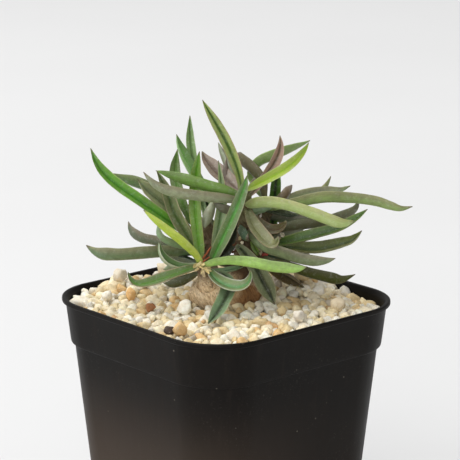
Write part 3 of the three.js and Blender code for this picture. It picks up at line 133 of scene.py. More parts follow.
# ----------------------------------------------------------------- materials
class Graph:
    """Short-hand for a material's node tree."""

    def __init__(self, name):
        self.material = bpy.data.materials.new(name)
        self.material.use_nodes = True
        self.tree = self.material.node_tree
        self.tree.nodes.clear()
        self.out = self.tree.nodes.new("ShaderNodeOutputMaterial")
        self.shader = self.tree.nodes.new("ShaderNodeBsdfPrincipled")
        self.tree.links.new(self.shader.outputs["BSDF"], self.out.inputs["Surface"])

    def node(self, kind, **settings):
        n = self.tree.nodes.new(kind)
        inputs = settings.pop("inputs", {})
        for k, v in settings.items():
            setattr(n, k, v)
        for k, v in inputs.items():
            self.set(n, k, v)
        return n

    def set(self, n, key, value):
        socket = n.inputs[key]
        if isinstance(value, bpy.types.NodeSocket):
            self.tree.links.new(value, socket)
        else:
            socket.default_value = value

    def attribute(self, name, output="Color"):
        return self.node("ShaderNodeAttribute", attribute_name=name).outputs[output]

    def noise(self, vector, scale, detail=4.0, rough=0.55, distortion=0.0):
        n = self.node("ShaderNodeTexNoise", inputs={"Vector": vector, "Scale": scale, "Detail": detail, "Roughness": rough, "Distortion": distortion})
        return n.outputs["Fac"]

    def remap(self, value, a, b, lo=0.0, hi=1.0, soft=False):
        n = self.node("ShaderNodeMapRange", interpolation_type="SMOOTHSTEP" if soft else "LINEAR",
                      inputs={"Value": value, "From Min": a, "From Max": b, "To Min": lo, "To Max": hi})
        return n.outputs["Result"]

    def math(self, operation, a, b=0.0, clamp=False):
        n = self.node("ShaderNodeMath", operation=operation, use_clamp=clamp)
        self.set(n, 0, a)
        self.set(n, 1, b)
        return n.outputs[0]

    def mix(self, factor, a, b, blend="MIX"):
        n = self.node("ShaderNodeMix", data_type="RGBA", blend_type=blend, clamp_factor=True)
        self.set(n, 0, factor)
        self.set(n, 6, a)
        self.set(n, 7, b)
        return n.outputs[2]

    def ramp(self, value, *stops):
        n = self.node("ShaderNodeValToRGB")
        self.set(n, "Fac", value)
        e = n.color_ramp.elements
        while len(e) < len(stops):
            e.new(0.5)
        for k, (at, colour) in enumerate(stops):
            e[k].position = at
            e[k].color = colour
        return n.outputs["Color"]

    def bump(self, height, strength, distance, normal=None):
        n = self.node("ShaderNodeBump", inputs={"Height": height, "Strength": strength, "Distance": distance})
        if normal is not None:
            self.set(n, "Normal", normal)
        return n.outputs["Normal"]

    def finish(self, **sockets):
        for k, v in sockets.items():
            self.set(self.shader, k.replace("_", " "), v)
        return self.material


def rgba(hex_colour, gain=1.0):
    return tuple(float(c * gain) for c in linear(hex_colour)) + (1.0,)


def position(g, scale=1000.0):
    """Object position in millimetres."""
    geo = g.node("ShaderNodeNewGeometry").outputs["Position"]
    n = g.node("ShaderNodeVectorMath", operation="SCALE")
    g.set(n, 0, geo)
    g.set(n, "Scale", scale)
    return n.outputs[0]


def leaf_material(name, roughness, speckle, blush):
    """Waxy leaf skin: painted colour, mottling, fine veins along the blade."""
    g = Graph(name)
    paint = g.attribute("paint")
    grain = g.attribute("grain", "Vector")          # (mm along, across, seed)
    place = position(g)
    stretch = g.node("ShaderNodeMapping", inputs={"Vector": grain, "Scale": (0.35, 9.0, 1.0)}).outputs[0]
    streak = g.noise(stretch, 1.6, 3.0)
    mottle = g.noise(place, 0.62, 5.0, 0.62)
    fine = g.noise(place, 3.4, 3.0, 0.6)
    colour = g.mix(g.remap(mottle, 0.35, 0.7, 0.0, 0.34, True), paint, rgba(blush))
    dark = g.mix(1.0, colour, (0.74, 0.77, 0.72, 1), "MULTIPLY")
    light = g.mix(1.0, colour, (1.16, 1.15, 1.12, 1), "MULTIPLY")
    colour = g.mix(g.remap(streak, 0.3, 0.7, 0.0, 0.55), dark, light)
    dots = g.node("ShaderNodeTexVoronoi", feature="F1", inputs={"Vector": place, "Scale": 2.1, "Randomness": 1.0}).outputs["Distance"]
    specks = g.math("MULTIPLY", g.remap(dots, 0.16, 0.26, 1.0, 0.0, True), g.remap(fine, 0.5, 0.62, 0.0, speckle))
    colour = g.mix(specks, colour, (0.62, 0.60, 0.48, 1))
    bloom = g.remap(g.noise(place, 0.9, 4.0, 0.6, 0.4), 0.5, 0.75, 0.0, 0.16, True)
    colour = g.mix(bloom, colour, (0.62, 0.68, 0.62, 1))
    rough = g.remap(g.noise(place, 1.5, 4.0), 0.3, 0.7, roughness - 0.07, roughness + 0.1)
    cells = g.noise(place, 7.0, 2.0)
    normal = g.bump(streak, 0.35, 0.00012)
    normal = g.bump(cells, 0.22, 0.00005, normal)
    return g.finish(Base_Color=colour, Roughness=rough, Normal=normal, Subsurface_Weight=0.08,
                    Subsurface_Radius=(0.5, 1.0, 0.25), Subsurface_Scale=0.0009)


def stone_material():
    g = Graph("gravel_stone")
    paint = g.attribute("paint")
    seed = g.attribute("grain", "Vector")           # a different offset in each stone
    place = g.node("ShaderNodeVectorMath", operation="ADD")
    g.set(place, 0, position(g))
    g.set(place, 1, seed)
    place = place.outputs[0]
    cloud = g.noise(place, 0.75, 5.0, 0.65, 0.6)
    grit = g.noise(place, 5.0, 4.0, 0.7)
    colour = g.mix(g.remap(cloud, 0.38, 0.68, 0.0, 0.55, True), paint, g.mix(1.0, paint, (0.74, 0.66, 0.54, 1), "MULTIPLY"))
    colour = g.mix(g.remap(grit, 0.56, 0.7, 0.0, 0.5, True), colour, g.mix(1.0, colour, (0.55, 0.5, 0.44, 1), "MULTIPLY"))
    chalk = g.remap(g.noise(place, 1.3, 4.0, 0.6), 0.55, 0.72, 0.0, 0.5, True)
    colour = g.mix(chalk, colour, g.mix(0.55, colour, (0.80, 0.75, 0.66, 1)))
    flecks = g.node("ShaderNodeTexVoronoi", feature="F1", inputs={"Vector": place, "Scale": 2.6, "Randomness": 1.0}).outputs["Distance"]
    fleck = g.math("MULTIPLY", g.remap(flecks, 0.1, 0.17, 1.0, 0.0), g.remap(cloud, 0.52, 0.6, 0.0, 0.6))
    colour = g.mix(fleck, colour, (0.10, 0.07, 0.05, 1))
    normal = g.bump(g.noise(place, 2.2, 5.0, 0.7), 0.55, 0.00022)
    normal = g.bump(grit, 0.45, 0.00008, normal)
    rough = g.remap(cloud, 0.3, 0.7, 0.62, 0.88)
    return g.finish(Base_Color=colour, Roughness=rough, Normal=normal, Subsurface_Weight=0.06,
                    Subsurface_Radius=(1.0, 0.8, 0.55), Subsurface_Scale=0.0006)


def grit_and_gap_shade_material(name, tones, scale):
    """Loose fines or soil: cells of a few tones, each darkened towards its edge as painted shade in the gaps between
    grains.
    """
    g = Graph(name)
    place = position(g)
    cell = g.node("ShaderNodeTexVoronoi", feature="F1", inputs={"Vector": place, "Scale": scale, "Randomness": 1.0})
    split = g.node("ShaderNodeSeparateColor")
    g.set(split, 0, cell.outputs["Color"])
    colour = g.ramp(split.outputs[0], *[(k / (len(tones) - 1), rgba(t)) for k, t in enumerate(tones)])
    # painted shade: cells darken towards their edges, for the shade between grains
    edge = g.remap(cell.outputs["Distance"], 0.25, 0.62, 1.0, 0.28)
    shade = g.mix(1.0, colour, g.node("ShaderNodeCombineColor", inputs={0: edge, 1: edge, 2: edge}).outputs[0], "MULTIPLY")
    fine = g.noise(place, scale * 3.0, 4.0)
    shade = g.mix(g.remap(fine, 0.3, 0.7, 0.0, 0.4), shade, g.mix(1.0, shade, (0.6, 0.55, 0.5, 1), "MULTIPLY"))
    normal = g.bump(cell.outputs["Distance"], 0.8, 0.0003)
    normal = g.bump(fine, 0.5, 0.0001, normal)
    return g.finish(Base_Color=shade, Roughness=g.remap(fine, 0.3, 0.7, 0.8, 0.96), Normal=normal)


def bark_material():
    """Corky skin: painted colour, fibres along the stem, cracks painted near-black (their darker colour plus painted
    shade in the crevices) and pale scurf.
    """
    g = Graph("bark_skin")
    paint = g.attribute("paint")
    grain = g.attribute("grain", "Vector")          # position with the fibre axis compressed
    place = position(g)
    fibre = g.noise(grain, 1.0, 6.0, 0.68, 0.4)
    patch = g.noise(place, 0.55, 4.0, 0.6)
    colour = g.mix(g.remap(fibre, 0.32, 0.54, 0.0, 1.0), g.mix(1.0, paint, (0.46, 0.35, 0.26, 1), "MULTIPLY"), paint)
    colour = g.mix(g.remap(fibre, 0.6, 0.78, 0.0, 0.62), colour, g.mix(0.6, paint, (0.60, 0.45, 0.30, 1)))
    colour = g.mix(g.remap(patch, 0.5, 0.72, 0.0, 0.35, True), colour, g.mix(1.0, paint, (0.78, 0.66, 0.5, 1), "MULTIPLY"))
    crack = g.node("ShaderNodeTexVoronoi", feature="DISTANCE_TO_EDGE", inputs={"Vector": grain, "Scale": 0.55, "Randomness": 1.0}).outputs["Distance"]
    # painted shade: cracks are painted near-black, their own darker colour deepened for the shade in them
    colour = g.mix(g.remap(crack, 0.0, 0.05, 0.22, 0.0), colour, (0.02, 0.012, 0.008, 1))
    normal = g.bump(fibre, 0.8, 0.0003)
    normal = g.bump(g.noise(place, 6.0, 4.0), 0.35, 0.00008, normal)
    return g.finish(Base_Color=colour, Roughness=g.remap(fibre, 0.3, 0.7, 0.72, 0.95), Normal=normal)


def pot_material():
    """Injection-moulded black plastic with dust, faint scuffs and water marks, and a lighter warm film towards the
    bottom and one side that is painted bounce light together with dust.
    """
    g = Graph("pot_plastic")
    place = position(g)
    broad = g.noise(place, 0.045, 4.0, 0.6)
    tint = g.ramp(g.remap(broad, 0.35, 0.65), (0.0, rgba("100e0c")), (1.0, rgba("151210")))
    streaks = g.node("ShaderNodeMapping", inputs={"Vector": place, "Scale": (0.5, 0.5, 0.035)}).outputs[0]
    streak = g.noise(streaks, 1.0, 4.0, 0.6)
    tint = g.mix(g.remap(streak, 0.5, 0.75, 0.0, 0.22, True), tint, rgba("2f2823"))
    height = g.node("ShaderNodeSeparateXYZ")
    g.set(height, 0, place)
    # painted bounce light and dust: a lighter warm film towards the bottom, stronger on one side
    bounce_and_dust = g.remap(height.outputs[2], 22.0, 58.0, 0.85, 0.0, True)
    bounce_and_dust = g.math("MULTIPLY", bounce_and_dust, g.remap(height.outputs[0], -34.0, 12.0, 1.0, 0.18, True))   # stronger on one side: dust plus painted light on the lit side
    tint = g.mix(bounce_and_dust, tint, rgba("463b32"))
    dots = g.node("ShaderNodeTexVoronoi", feature="F1", inputs={"Vector": place, "Scale": 0.24, "Randomness": 1.0}).outputs["Distance"]
    speck = g.math("MULTIPLY", g.remap(dots, 0.05, 0.075, 1.0, 0.0), g.remap(g.noise(place, 0.16, 2.0), 0.58, 0.62, 0.0, 0.35))
    tint = g.mix(speck, tint, rgba("a39a8c"))
    dust = g.math("MULTIPLY", g.remap(g.noise(place, 1.7, 5.0, 0.75), 0.58, 0.76, 0.0, 0.3), g.remap(g.noise(place, 0.07, 3.0), 0.45, 0.65))
    tint = g.mix(dust, tint, rgba("7d766c"))
    grain = g.noise(place, 4.5, 3.0, 0.6)
    rough = g.math("ADD", g.remap(broad, 0.3, 0.7, 0.40, 0.50), g.remap(streak, 0.4, 0.7, 0.0, 0.07))
    normal = g.bump(grain, 0.10, 0.00006)
    normal = g.bump(g.noise(streaks, 0.6, 2.0), 0.10, 0.0003, normal)
    return g.finish(Base_Color=tint, Roughness=rough, Normal=normal, Specular_IOR_Level=0.10)


def dry_material():
    """Papery dried scraps."""
    g = Graph("dry_scrap")
    paint = g.attribute("paint")
    place = position(g)
    veins = g.noise(place, 3.0, 5.0, 0.7, 0.8)
    colour = g.mix(g.remap(veins, 0.35, 0.65, 0.0, 0.7), paint, g.mix(1.0, paint, (0.55, 0.42, 0.3, 1), "MULTIPLY"))
    return g.finish(Base_Color=colour, Roughness=g.remap(veins, 0.3, 0.7, 0.6, 0.9), Normal=g.bump(veins, 0.5, 0.00015))


SKINS = {
    "leaf_green": leaf_material("skin_green", 0.36, 0.35, "6c7a44"),
    "leaf_lime": leaf_material("skin_lime", 0.36, 0.12, "8ea83c"),
    "leaf_grey": leaf_material("skin_grey", 0.41, 0.55, "7c7a66"),
    "leaf_brown": leaf_material("skin_brown", 0.45, 0.35, "6b5648"),
    "leaf_dark": leaf_material("skin_dark", 0.38, 0.20, "4a4228"),
}
STONE = stone_material()
BARK = bark_material()
PLASTIC = pot_material()
DRY = dry_material()
# the fines' tones are the grit's colour, darkened as painted shade between the stones
FINES_AND_GAP_SHADE = grit_and_gap_shade_material("gravel_fines_and_gap_shade", ("3c3024", "7c6a50", "a08c6e", "b8a88a"), 1.2)
SOIL = grit_and_gap_shade_material("soil_mix", ("1c1410", "3a2a1e", "54402c", "8a7a60"), 0.55)

# ---------------------------------------------------------------- leaf table
# (node, finish, (upper, channel, underside, margin), stations), where a
# station is (x, y, z, half width, and the way the channelled face looks).
# The channel colour is the groove's deeper green, darkened further as painted shade in the groove.
LEAVES = (
    ('leaf_front_01', 'leaf_green', ('7fa448', '6aa127', '8fa960', 'a39d5e'), ((-9.51, -0.76, 84.21, 0.8, -0.69, -0.72, 0.09), (-9.33, -0.33, 84.59, 0.79, -0.69, -0.72, 0.09), (-9.53, 0.15, 87.6, 1.36, -0.69, -0.72, 0.07), (-9.55, 0.63, 90.28, 1.46, -0.69, -0.69, 0.19), (-9.33, 1.35, 92.79, 1.54, -0.69, -0.66, 0.3), (-9, 2.11, 95.19, 1.59, -0.69, -0.67, 0.29), (-8.75, 2.75, 97.59, 1.61, -0.69, -0.69, 0.22), (-8.55, 3.16, 100, 1.61, -0.7, -0.7, 0.14), (-8.35, 3.32, 102.4, 1.58, -0.71, -0.7, 0.09), (-8.14, 3.35, 104.79, 1.52, -0.72, -0.69, 0.06), (-7.98, 3.3, 107.15, 1.4, -0.72, -0.69, 0), (-7.81, 3.12, 109.49, 1.14, -0.73, -0.68, 0.01), (-7.55, 2.89, 111.79, 0.72, -0.73, -0.68, 0.02), (-7.27, 2.64, 114.07, 0.11, -0.74, -0.68, 0.02))),
    ('leaf_front_02', 'leaf_lime', ('b7d255', 'afcc40', 'bfd44d', 'cdd869'), ((-10.08, -1.21, 84.15, 0.96, 0.8, -0.04, 0.59), (-10.76, -1.36, 84.55, 1.2, 0.8, -0.04, 0.59), (-12.14, -1.55, 86.47, 1.48, 0.78, 0.01, 0.62), (-13.59, -1.46, 88.01, 1.62, 0.69, 0.13, 0.71), (-15.05, -1.25, 89.41, 1.71, 0.71, 0.13, 0.7), (-16.45, -0.97, 90.79, 1.77, 0.71, 0.14, 0.69), (-17.82, -0.61, 92.11, 1.8, 0.7, 0.16, 0.69), (-19.17, -0.11, 93.36, 1.79, 0.7, 0.17, 0.69), (-20.5, 0.4, 94.59, 1.71, 0.7, 0.17, 0.7), (-21.83, 0.9, 95.79, 1.57, 0.7, 0.17, 0.69), (-23.13, 1.41, 96.99, 1.36, 0.71, 0.16, 0.69), (-24.4, 1.95, 98.19, 1.07, 0.72, 0.16, 0.68), (-25.64, 2.45, 99.41, 0.67, 0.73, 0.14, 0.67), (-26.86, 2.92, 100.65, 0.17, 0.73, 0.14, 0.67))),
    ('leaf_front_03', 'leaf_green', ('677f49', '649037', '98947a', 'baa28a'), ((-10.14, -0.75, 82.53, 0.86, -0.17, -0.43, 0.89), (-11.6, -0.32, 82.53, 1.08, -0.17, -0.43, 0.89), (-13.66, 0.22, 82.29, 1.3, -0.29, -0.4, 0.87), (-15.39, 0.93, 81.88, 1.46, -0.39, -0.35, 0.85), (-17, 1.67, 81.41, 1.58, -0.41, -0.34, 0.84), (-18.55, 2.42, 80.93, 1.67, -0.45, -0.33, 0.83), (-20.03, 3.2, 80.42, 1.72, -0.44, -0.33, 0.83), (-21.53, 3.92, 79.97, 1.7, -0.41, -0.36, 0.84), (-23.03, 4.61, 79.56, 1.61, -0.39, -0.38, 0.84), (-24.5, 5.34, 79.25, 1.47, -0.36, -0.41, 0.84), (-25.94, 6.17, 79.13, 1.26, -0.26, -0.49, 0.83), (-27.19, 7.11, 79.58, 1.02, -0.07, -0.7, 0.71), (-27.88, 7.96, 80.75, 0.64, 0.05, -0.9, 0.44), (-28.05, 8.61, 82.23, 0.16, 0.05, -0.9, 0.42))),
    ('leaf_front_04', 'leaf_green', ('7c9c66', '62844b', 'a1bb95', 'e1e1cc'), ((-9.68, -0.23, 82.54, 0.8, -0.29, -0.08, 0.95), (-10.41, 1.43, 82.57, 0.94, -0.29, -0.08, 0.95), (-11.38, 2.43, 82.38, 1.12, -0.22, -0.13, 0.97), (-12.42, 3.14, 82.37, 1.28, -0.04, -0.25, 0.97), (-13.44, 3.75, 82.57, 1.43, 0.05, -0.32, 0.95), (-14.38, 4.37, 82.89, 1.57, 0.13, -0.38, 0.92), (-15.26, 4.97, 83.35, 1.67, 0.24, -0.46, 0.85), (-16.06, 5.49, 83.95, 1.74, 0.33, -0.55, 0.77), (-16.79, 5.91, 84.69, 1.72, 0.42, -0.64, 0.65), (-17.4, 6.24, 85.55, 1.55, 0.48, -0.72, 0.5), (-17.9, 6.44, 86.5, 1.28, 0.52, -0.78, 0.34), (-18.25, 6.51, 87.53, 0.95, 0.53, -0.84, 0.12), (-18.47, 6.45, 88.58, 0.57, 0.53, -0.85, 0.03), (-18.67, 6.38, 89.62, 0.18, 0.54, -0.84, 0.08))),
    ('leaf_front_05', 'leaf_dark', ('4a5d32', '364624', '4f5532', '5a5d3b'), ((-8.69, 0.06, 80.22, 0.8, 0.68, 0.6, 0.42), (-9.68, 1.54, 79.85, 0.84, 0.68, 0.6, 0.42), (-10.06, 2.37, 79.28, 1.05, 0.68, 0.6, 0.42), (-10.41, 3.1, 78.8, 1.21, 0.69, 0.6, 0.4), (-10.76, 3.81, 78.34, 1.33, 0.69, 0.61, 0.39), (-11.12, 4.5, 77.92, 1.42, 0.7, 0.6, 0.39), (-11.48, 5.18, 77.52, 1.48, 0.72, 0.58, 0.38), (-11.82, 5.87, 77.15, 1.5, 0.74, 0.55, 0.39), (-12.14, 6.56, 76.79, 1.49, 0.75, 0.53, 0.39), (-12.47, 7.26, 76.47, 1.42, 0.77, 0.53, 0.35), (-12.86, 7.96, 76.26, 1.26, 0.79, 0.55, 0.28), (-13.33, 8.63, 76.22, 0.95, 0.78, 0.58, 0.23), (-13.83, 9.26, 76.3, 0.55, 0.77, 0.6, 0.22), (-14.33, 9.89, 76.37, 0.16, 0.78, 0.58, 0.23))),
    ('leaf_front_06', 'leaf_green', ('89b254', '639b3d', 'b1dc78', '94ad60'), ((-9.44, -1.69, 82.9, 0.95, 0.29, 0.45, 0.85), (-9.59, -3.14, 83.64, 1.18, 0.29, 0.45, 0.85), (-8.9, -5.86, 84.85, 1.58, 0.36, 0.42, 0.83), (-7.85, -8.29, 85.5, 1.77, 0.43, 0.38, 0.82), (-6.78, -10.66, 85.88, 1.91, 0.52, 0.29, 0.8), (-5.83, -13.02, 86, 2.07, 0.56, 0.25, 0.79), (-4.75, -15.27, 86, 2.19, 0.56, 0.27, 0.78), (-3.59, -17.44, 85.88, 2.28, 0.59, 0.24, 0.77), (-2.48, -19.59, 85.63, 2.33, 0.61, 0.22, 0.76), (-1.39, -21.71, 85.42, 2.3, 0.58, 0.25, 0.78), (-0.32, -23.83, 85.36, 2.19, 0.55, 0.28, 0.79), (0.82, -25.89, 85.36, 1.95, 0.52, 0.32, 0.79), (1.98, -27.9, 85.57, 1.37, 0.41, 0.42, 0.81), (3.01, -29.88, 86.18, 0.21, 0.37, 0.45, 0.81))),
    ('leaf_front_07', 'leaf_grey', ('849861', '609d58', 'e1e1d1', 'e1e1d4'), ((-9.12, -1.75, 82.04, 0.83, -0.06, -0.57, 0.82), (-9.06, -3.56, 81.85, 1.03, -0.06, -0.57, 0.82), (-9.05, -5.05, 80.86, 1.49, -0.09, -0.49, 0.86), (-8.98, -6.49, 80.2, 1.76, -0.19, -0.36, 0.91), (-8.86, -7.94, 79.73, 1.92, -0.26, -0.26, 0.93), (-8.73, -9.39, 79.43, 2.02, -0.33, -0.2, 0.92), (-8.49, -10.81, 79.21, 2.06, -0.38, -0.2, 0.9), (-8.04, -12.16, 79.09, 2.03, -0.44, -0.24, 0.87), (-7.29, -13.36, 79.11, 1.87, -0.47, -0.28, 0.84), (-6.38, -14.36, 79.4, 1.62, -0.62, -0.19, 0.76), (-5.58, -15.22, 80.13, 1.3, -0.85, -0.03, 0.53), (-5.19, -15.85, 81.26, 0.96, -0.99, -0.01, 0.16), (-5.11, -16.24, 82.56, 0.59, -0.99, -0.07, -0.07), (-5.28, -16.38, 83.89, 0.13, -0.99, -0.1, -0.13))),
    ('leaf_front_08', 'leaf_grey', ('708b67', '33492c', '759371', 'a6b385'), ((-7.77, -1.53, 80.62, 0.8, -0.77, -0.64, -0.09), (-6.94, -3.07, 80.89, 0.63, -0.77, -0.64, -0.09), (-5.66, -5.14, 80.48, 1.07, -0.91, -0.39, 0.15), (-5.29, -7, 79.21, 1.58, -0.83, -0.16, 0.53), (-6.33, -8.55, 78.04, 1.89, -0.52, -0.12, 0.85), (-7.78, -9.9, 77.16, 2.04, -0.34, -0.15, 0.93), (-9.38, -11.1, 76.48, 2.08, -0.21, -0.22, 0.95), (-11.05, -12.2, 75.88, 2.06, -0.17, -0.26, 0.95), (-12.72, -13.23, 75.28, 2.01, -0.18, -0.28, 0.94), (-14.38, -14.22, 74.64, 1.94, -0.19, -0.31, 0.93), (-16.06, -15.11, 73.97, 1.79, -0.19, -0.36, 0.92), (-17.78, -15.9, 73.32, 1.43, -0.16, -0.4, 0.9), (-19.52, -16.59, 72.7, 0.85, -0.14, -0.43, 0.89), (-21.27, -17.27, 72.1, 0.23, -0.15, -0.42, 0.89))),
    ('leaf_front_09', 'leaf_brown', ('768251', '4d6a2c', 'a69b81', 'c4b294'), ((-9.19, -0.44, 83.11, 0.8, -0.63, -0.7, 0.33), (-8.92, 0.43, 84.05, 0.65, -0.63, -0.7, 0.33), (-9.29, 1.68, 86.52, 1.07, -0.62, -0.76, 0.22), (-9.98, 2.72, 88.69, 1.32, -0.59, -0.8, 0.14), (-10.85, 3.63, 90.74, 1.5, -0.57, -0.82, 0.11), (-11.69, 4.51, 92.74, 1.64, -0.58, -0.8, 0.13), (-12.44, 5.38, 94.72, 1.74, -0.58, -0.8, 0.12), (-13.15, 6.13, 96.72, 1.77, -0.58, -0.81, 0.09), (-13.71, 6.77, 98.78, 1.76, -0.6, -0.8, 0.08), (-14.12, 7.3, 100.87, 1.67, -0.6, -0.8, 0.09), (-14.57, 7.85, 102.93, 1.44, -0.59, -0.8, 0.09), (-15.07, 8.47, 104.94, 1.1, -0.59, -0.8, 0.11), (-15.68, 9.21, 106.85, 0.65, -0.59, -0.8, 0.13), (-16.32, 10.04, 108.7, 0.14, -0.59, -0.79, 0.15))),
    ('leaf_front_10', 'leaf_green', ('6d8853', '5ea447', '90a273', 'a8a687'), ((-8.93, -1.52, 82.95, 0.8, -0.87, -0.44, -0.23), (-8, -2.69, 83.86, 0.84, -0.87, -0.44, -0.23), (-7.57, -4.04, 86.2, 1.33, -0.79, -0.59, -0.17), (-7.19, -5.12, 88.37, 1.56, -0.78, -0.61, -0.15), (-6.74, -6.06, 90.48, 1.68, -0.76, -0.64, -0.08), (-6.19, -6.85, 92.55, 1.72, -0.75, -0.66, -0.03), (-5.62, -7.57, 94.59, 1.74, -0.74, -0.67, -0.02), (-5.03, -8.23, 96.61, 1.72, -0.73, -0.68, 0.01), (-4.4, -8.8, 98.62, 1.69, -0.72, -0.69, 0.04), (-3.76, -9.29, 100.61, 1.6, -0.7, -0.71, 0.08), (-3.11, -9.67, 102.6, 1.45, -0.69, -0.71, 0.1), (-2.44, -10.02, 104.58, 1.22, -0.69, -0.72, 0.12), (-1.82, -10.24, 106.56, 0.79, -0.67, -0.73, 0.15), (-1.29, -10.3, 108.57, 0.11, -0.67, -0.73, 0.15))),
    ('leaf_front_11', 'leaf_grey', ('94a779', '597a3d', '9ba97b', 'c3bc84'), ((-8.67, -1.22, 82.87, 0.8, -0.7, -0.71, 0), (-7.22, -1.74, 83.62, 0.59, -0.7, -0.71, 0), (-6.22, -2.42, 86.24, 0.89, -0.58, -0.79, 0.18), (-5.57, -2.29, 88.77, 1.27, -0.58, -0.79, 0.21), (-4.84, -2.15, 91.17, 1.47, -0.57, -0.79, 0.24), (-4.05, -1.91, 93.46, 1.55, -0.55, -0.78, 0.29), (-3.22, -1.57, 95.68, 1.54, -0.53, -0.77, 0.36), (-2.38, -1.01, 97.81, 1.43, -0.51, -0.75, 0.42), (-1.65, -0.37, 99.92, 1.26, -0.53, -0.74, 0.41), (-1.05, 0.37, 102.01, 1.06, -0.54, -0.75, 0.38), (-0.62, 1.07, 104.13, 0.88, -0.55, -0.75, 0.38), (-0.21, 1.88, 106.19, 0.68, -0.55, -0.73, 0.41), (0.12, 2.71, 108.24, 0.41, -0.56, -0.74, 0.37), (0.4, 3.52, 110.29, 0.11, -0.56, -0.74, 0.37))),
    ('leaf_centre_01', 'leaf_green', ('a3b265', '3d620d', 'a8a06e', 'c6a086'), ((2.3, -4.84, 103.33, 0.8, -0.57, -0.81, -0.15), (1.67, -4.78, 103.51, 0.88, -0.57, -0.81, -0.15), (1.05, -4.87, 106.28, 1.04, -0.56, -0.82, -0.13), (0.38, -4.76, 108.73, 1.21, -0.54, -0.83, -0.1), (-0.36, -4.54, 111.03, 1.36, -0.53, -0.85, -0.08), (-1.18, -4.22, 113.23, 1.47, -0.52, -0.85, -0.06), (-2.01, -3.82, 115.36, 1.53, -0.52, -0.85, -0.03), (-2.87, -3.35, 117.42, 1.53, -0.52, -0.86, -0.03), (-3.79, -2.87, 119.42, 1.49, -0.51, -0.86, -0.02), (-4.71, -2.32, 121.37, 1.38, -0.53, -0.85, 0.02), (-5.58, -1.69, 123.29, 1.23, -0.53, -0.85, 0.04), (-6.47, -1.07, 125.19, 0.98, -0.52, -0.85, 0.03), (-7.38, -0.47, 127.06, 0.6, -0.52, -0.86, 0.01), (-8.26, 0.05, 128.96, 0.11, -0.52, -0.86, -0.01))),
    ('leaf_centre_02', 'leaf_lime', ('94a63a', '95b41c', '95a242', 'b0b577'), ((2.7, -5.27, 103.33, 0.8, -0.97, 0.15, 0.18), (2.73, -6.23, 103.58, 0.6, -0.97, 0.15, 0.18), (3.18, -8.14, 104.76, 1.16, -0.93, -0.16, 0.33), (3.94, -9.75, 105.83, 1.36, -0.89, -0.22, 0.39), (4.79, -11.24, 106.81, 1.46, -0.88, -0.25, 0.41), (5.68, -12.66, 107.79, 1.51, -0.86, -0.28, 0.42), (6.6, -14, 108.77, 1.51, -0.87, -0.28, 0.41), (7.47, -15.28, 109.8, 1.51, -0.88, -0.27, 0.39), (8.31, -16.5, 110.89, 1.49, -0.89, -0.27, 0.36), (9.09, -17.64, 112.08, 1.38, -0.91, -0.27, 0.33), (9.83, -18.69, 113.34, 1.21, -0.92, -0.27, 0.29), (10.5, -19.64, 114.69, 0.97, -0.93, -0.28, 0.24), (11.08, -20.45, 116.16, 0.61, -0.94, -0.28, 0.17), (11.55, -21.14, 117.71, 0.12, -0.95, -0.28, 0.16))),
    ('leaf_centre_03', 'leaf_brown', ('8b796a', '58412b', '745d4c', 'a08577'), ((2.58, -4.37, 102.03, 0.8, -0.29, -0.36, 0.88), (2.2, -3.23, 102.73, 0.88, -0.29, -0.36, 0.88), (2.27, -1.44, 103.45, 1.31, -0.29, -0.33, 0.9), (2.38, 0.16, 104.06, 1.62, -0.29, -0.33, 0.9), (2.48, 1.7, 104.67, 1.87, -0.29, -0.35, 0.89), (2.5, 3.18, 105.28, 2.05, -0.31, -0.37, 0.87), (2.43, 4.63, 105.9, 2.17, -0.32, -0.4, 0.86), (2.36, 6.03, 106.54, 2.2, -0.28, -0.42, 0.86), (2.37, 7.41, 107.21, 2.09, -0.26, -0.41, 0.87), (2.45, 8.77, 107.86, 1.91, -0.24, -0.41, 0.88), (2.57, 10.11, 108.51, 1.65, -0.23, -0.39, 0.89), (2.74, 11.43, 109.16, 1.28, -0.19, -0.44, 0.88), (2.97, 12.65, 109.94, 0.78, -0.1, -0.59, 0.8), (3.24, 13.78, 110.84, 0.16, -0.1, -0.59, 0.8))),
    ('leaf_centre_04', 'leaf_dark', ('848c6e', '555f41', '7f866a', '7f7662'), ((3.03, -4.25, 101.28, 0.8, 0.5, 0.34, -0.8), (3.51, -2.81, 101.29, 0.42, 0.5, 0.34, -0.8), (4.11, -1.03, 102.36, 0.69, 0.46, 0.33, -0.82), (4.67, 0.55, 103.34, 0.88, 0.47, 0.36, -0.8), (5.14, 2.02, 104.35, 1.03, 0.49, 0.41, -0.77), (5.54, 3.41, 105.43, 1.11, 0.5, 0.46, -0.74), (5.91, 4.75, 106.51, 1.14, 0.49, 0.45, -0.74), (6.33, 6.08, 107.55, 1.11, 0.47, 0.42, -0.77), (6.79, 7.42, 108.52, 1.04, 0.46, 0.39, -0.8), (7.28, 8.76, 109.42, 0.94, 0.46, 0.36, -0.81), (7.76, 10.12, 110.29, 0.82, 0.46, 0.34, -0.82), (8.3, 11.47, 111.08, 0.65, 0.42, 0.29, -0.86), (8.94, 12.83, 111.77, 0.39, 0.37, 0.24, -0.9), (9.63, 14.17, 112.42, 0.12, 0.38, 0.25, -0.89))),
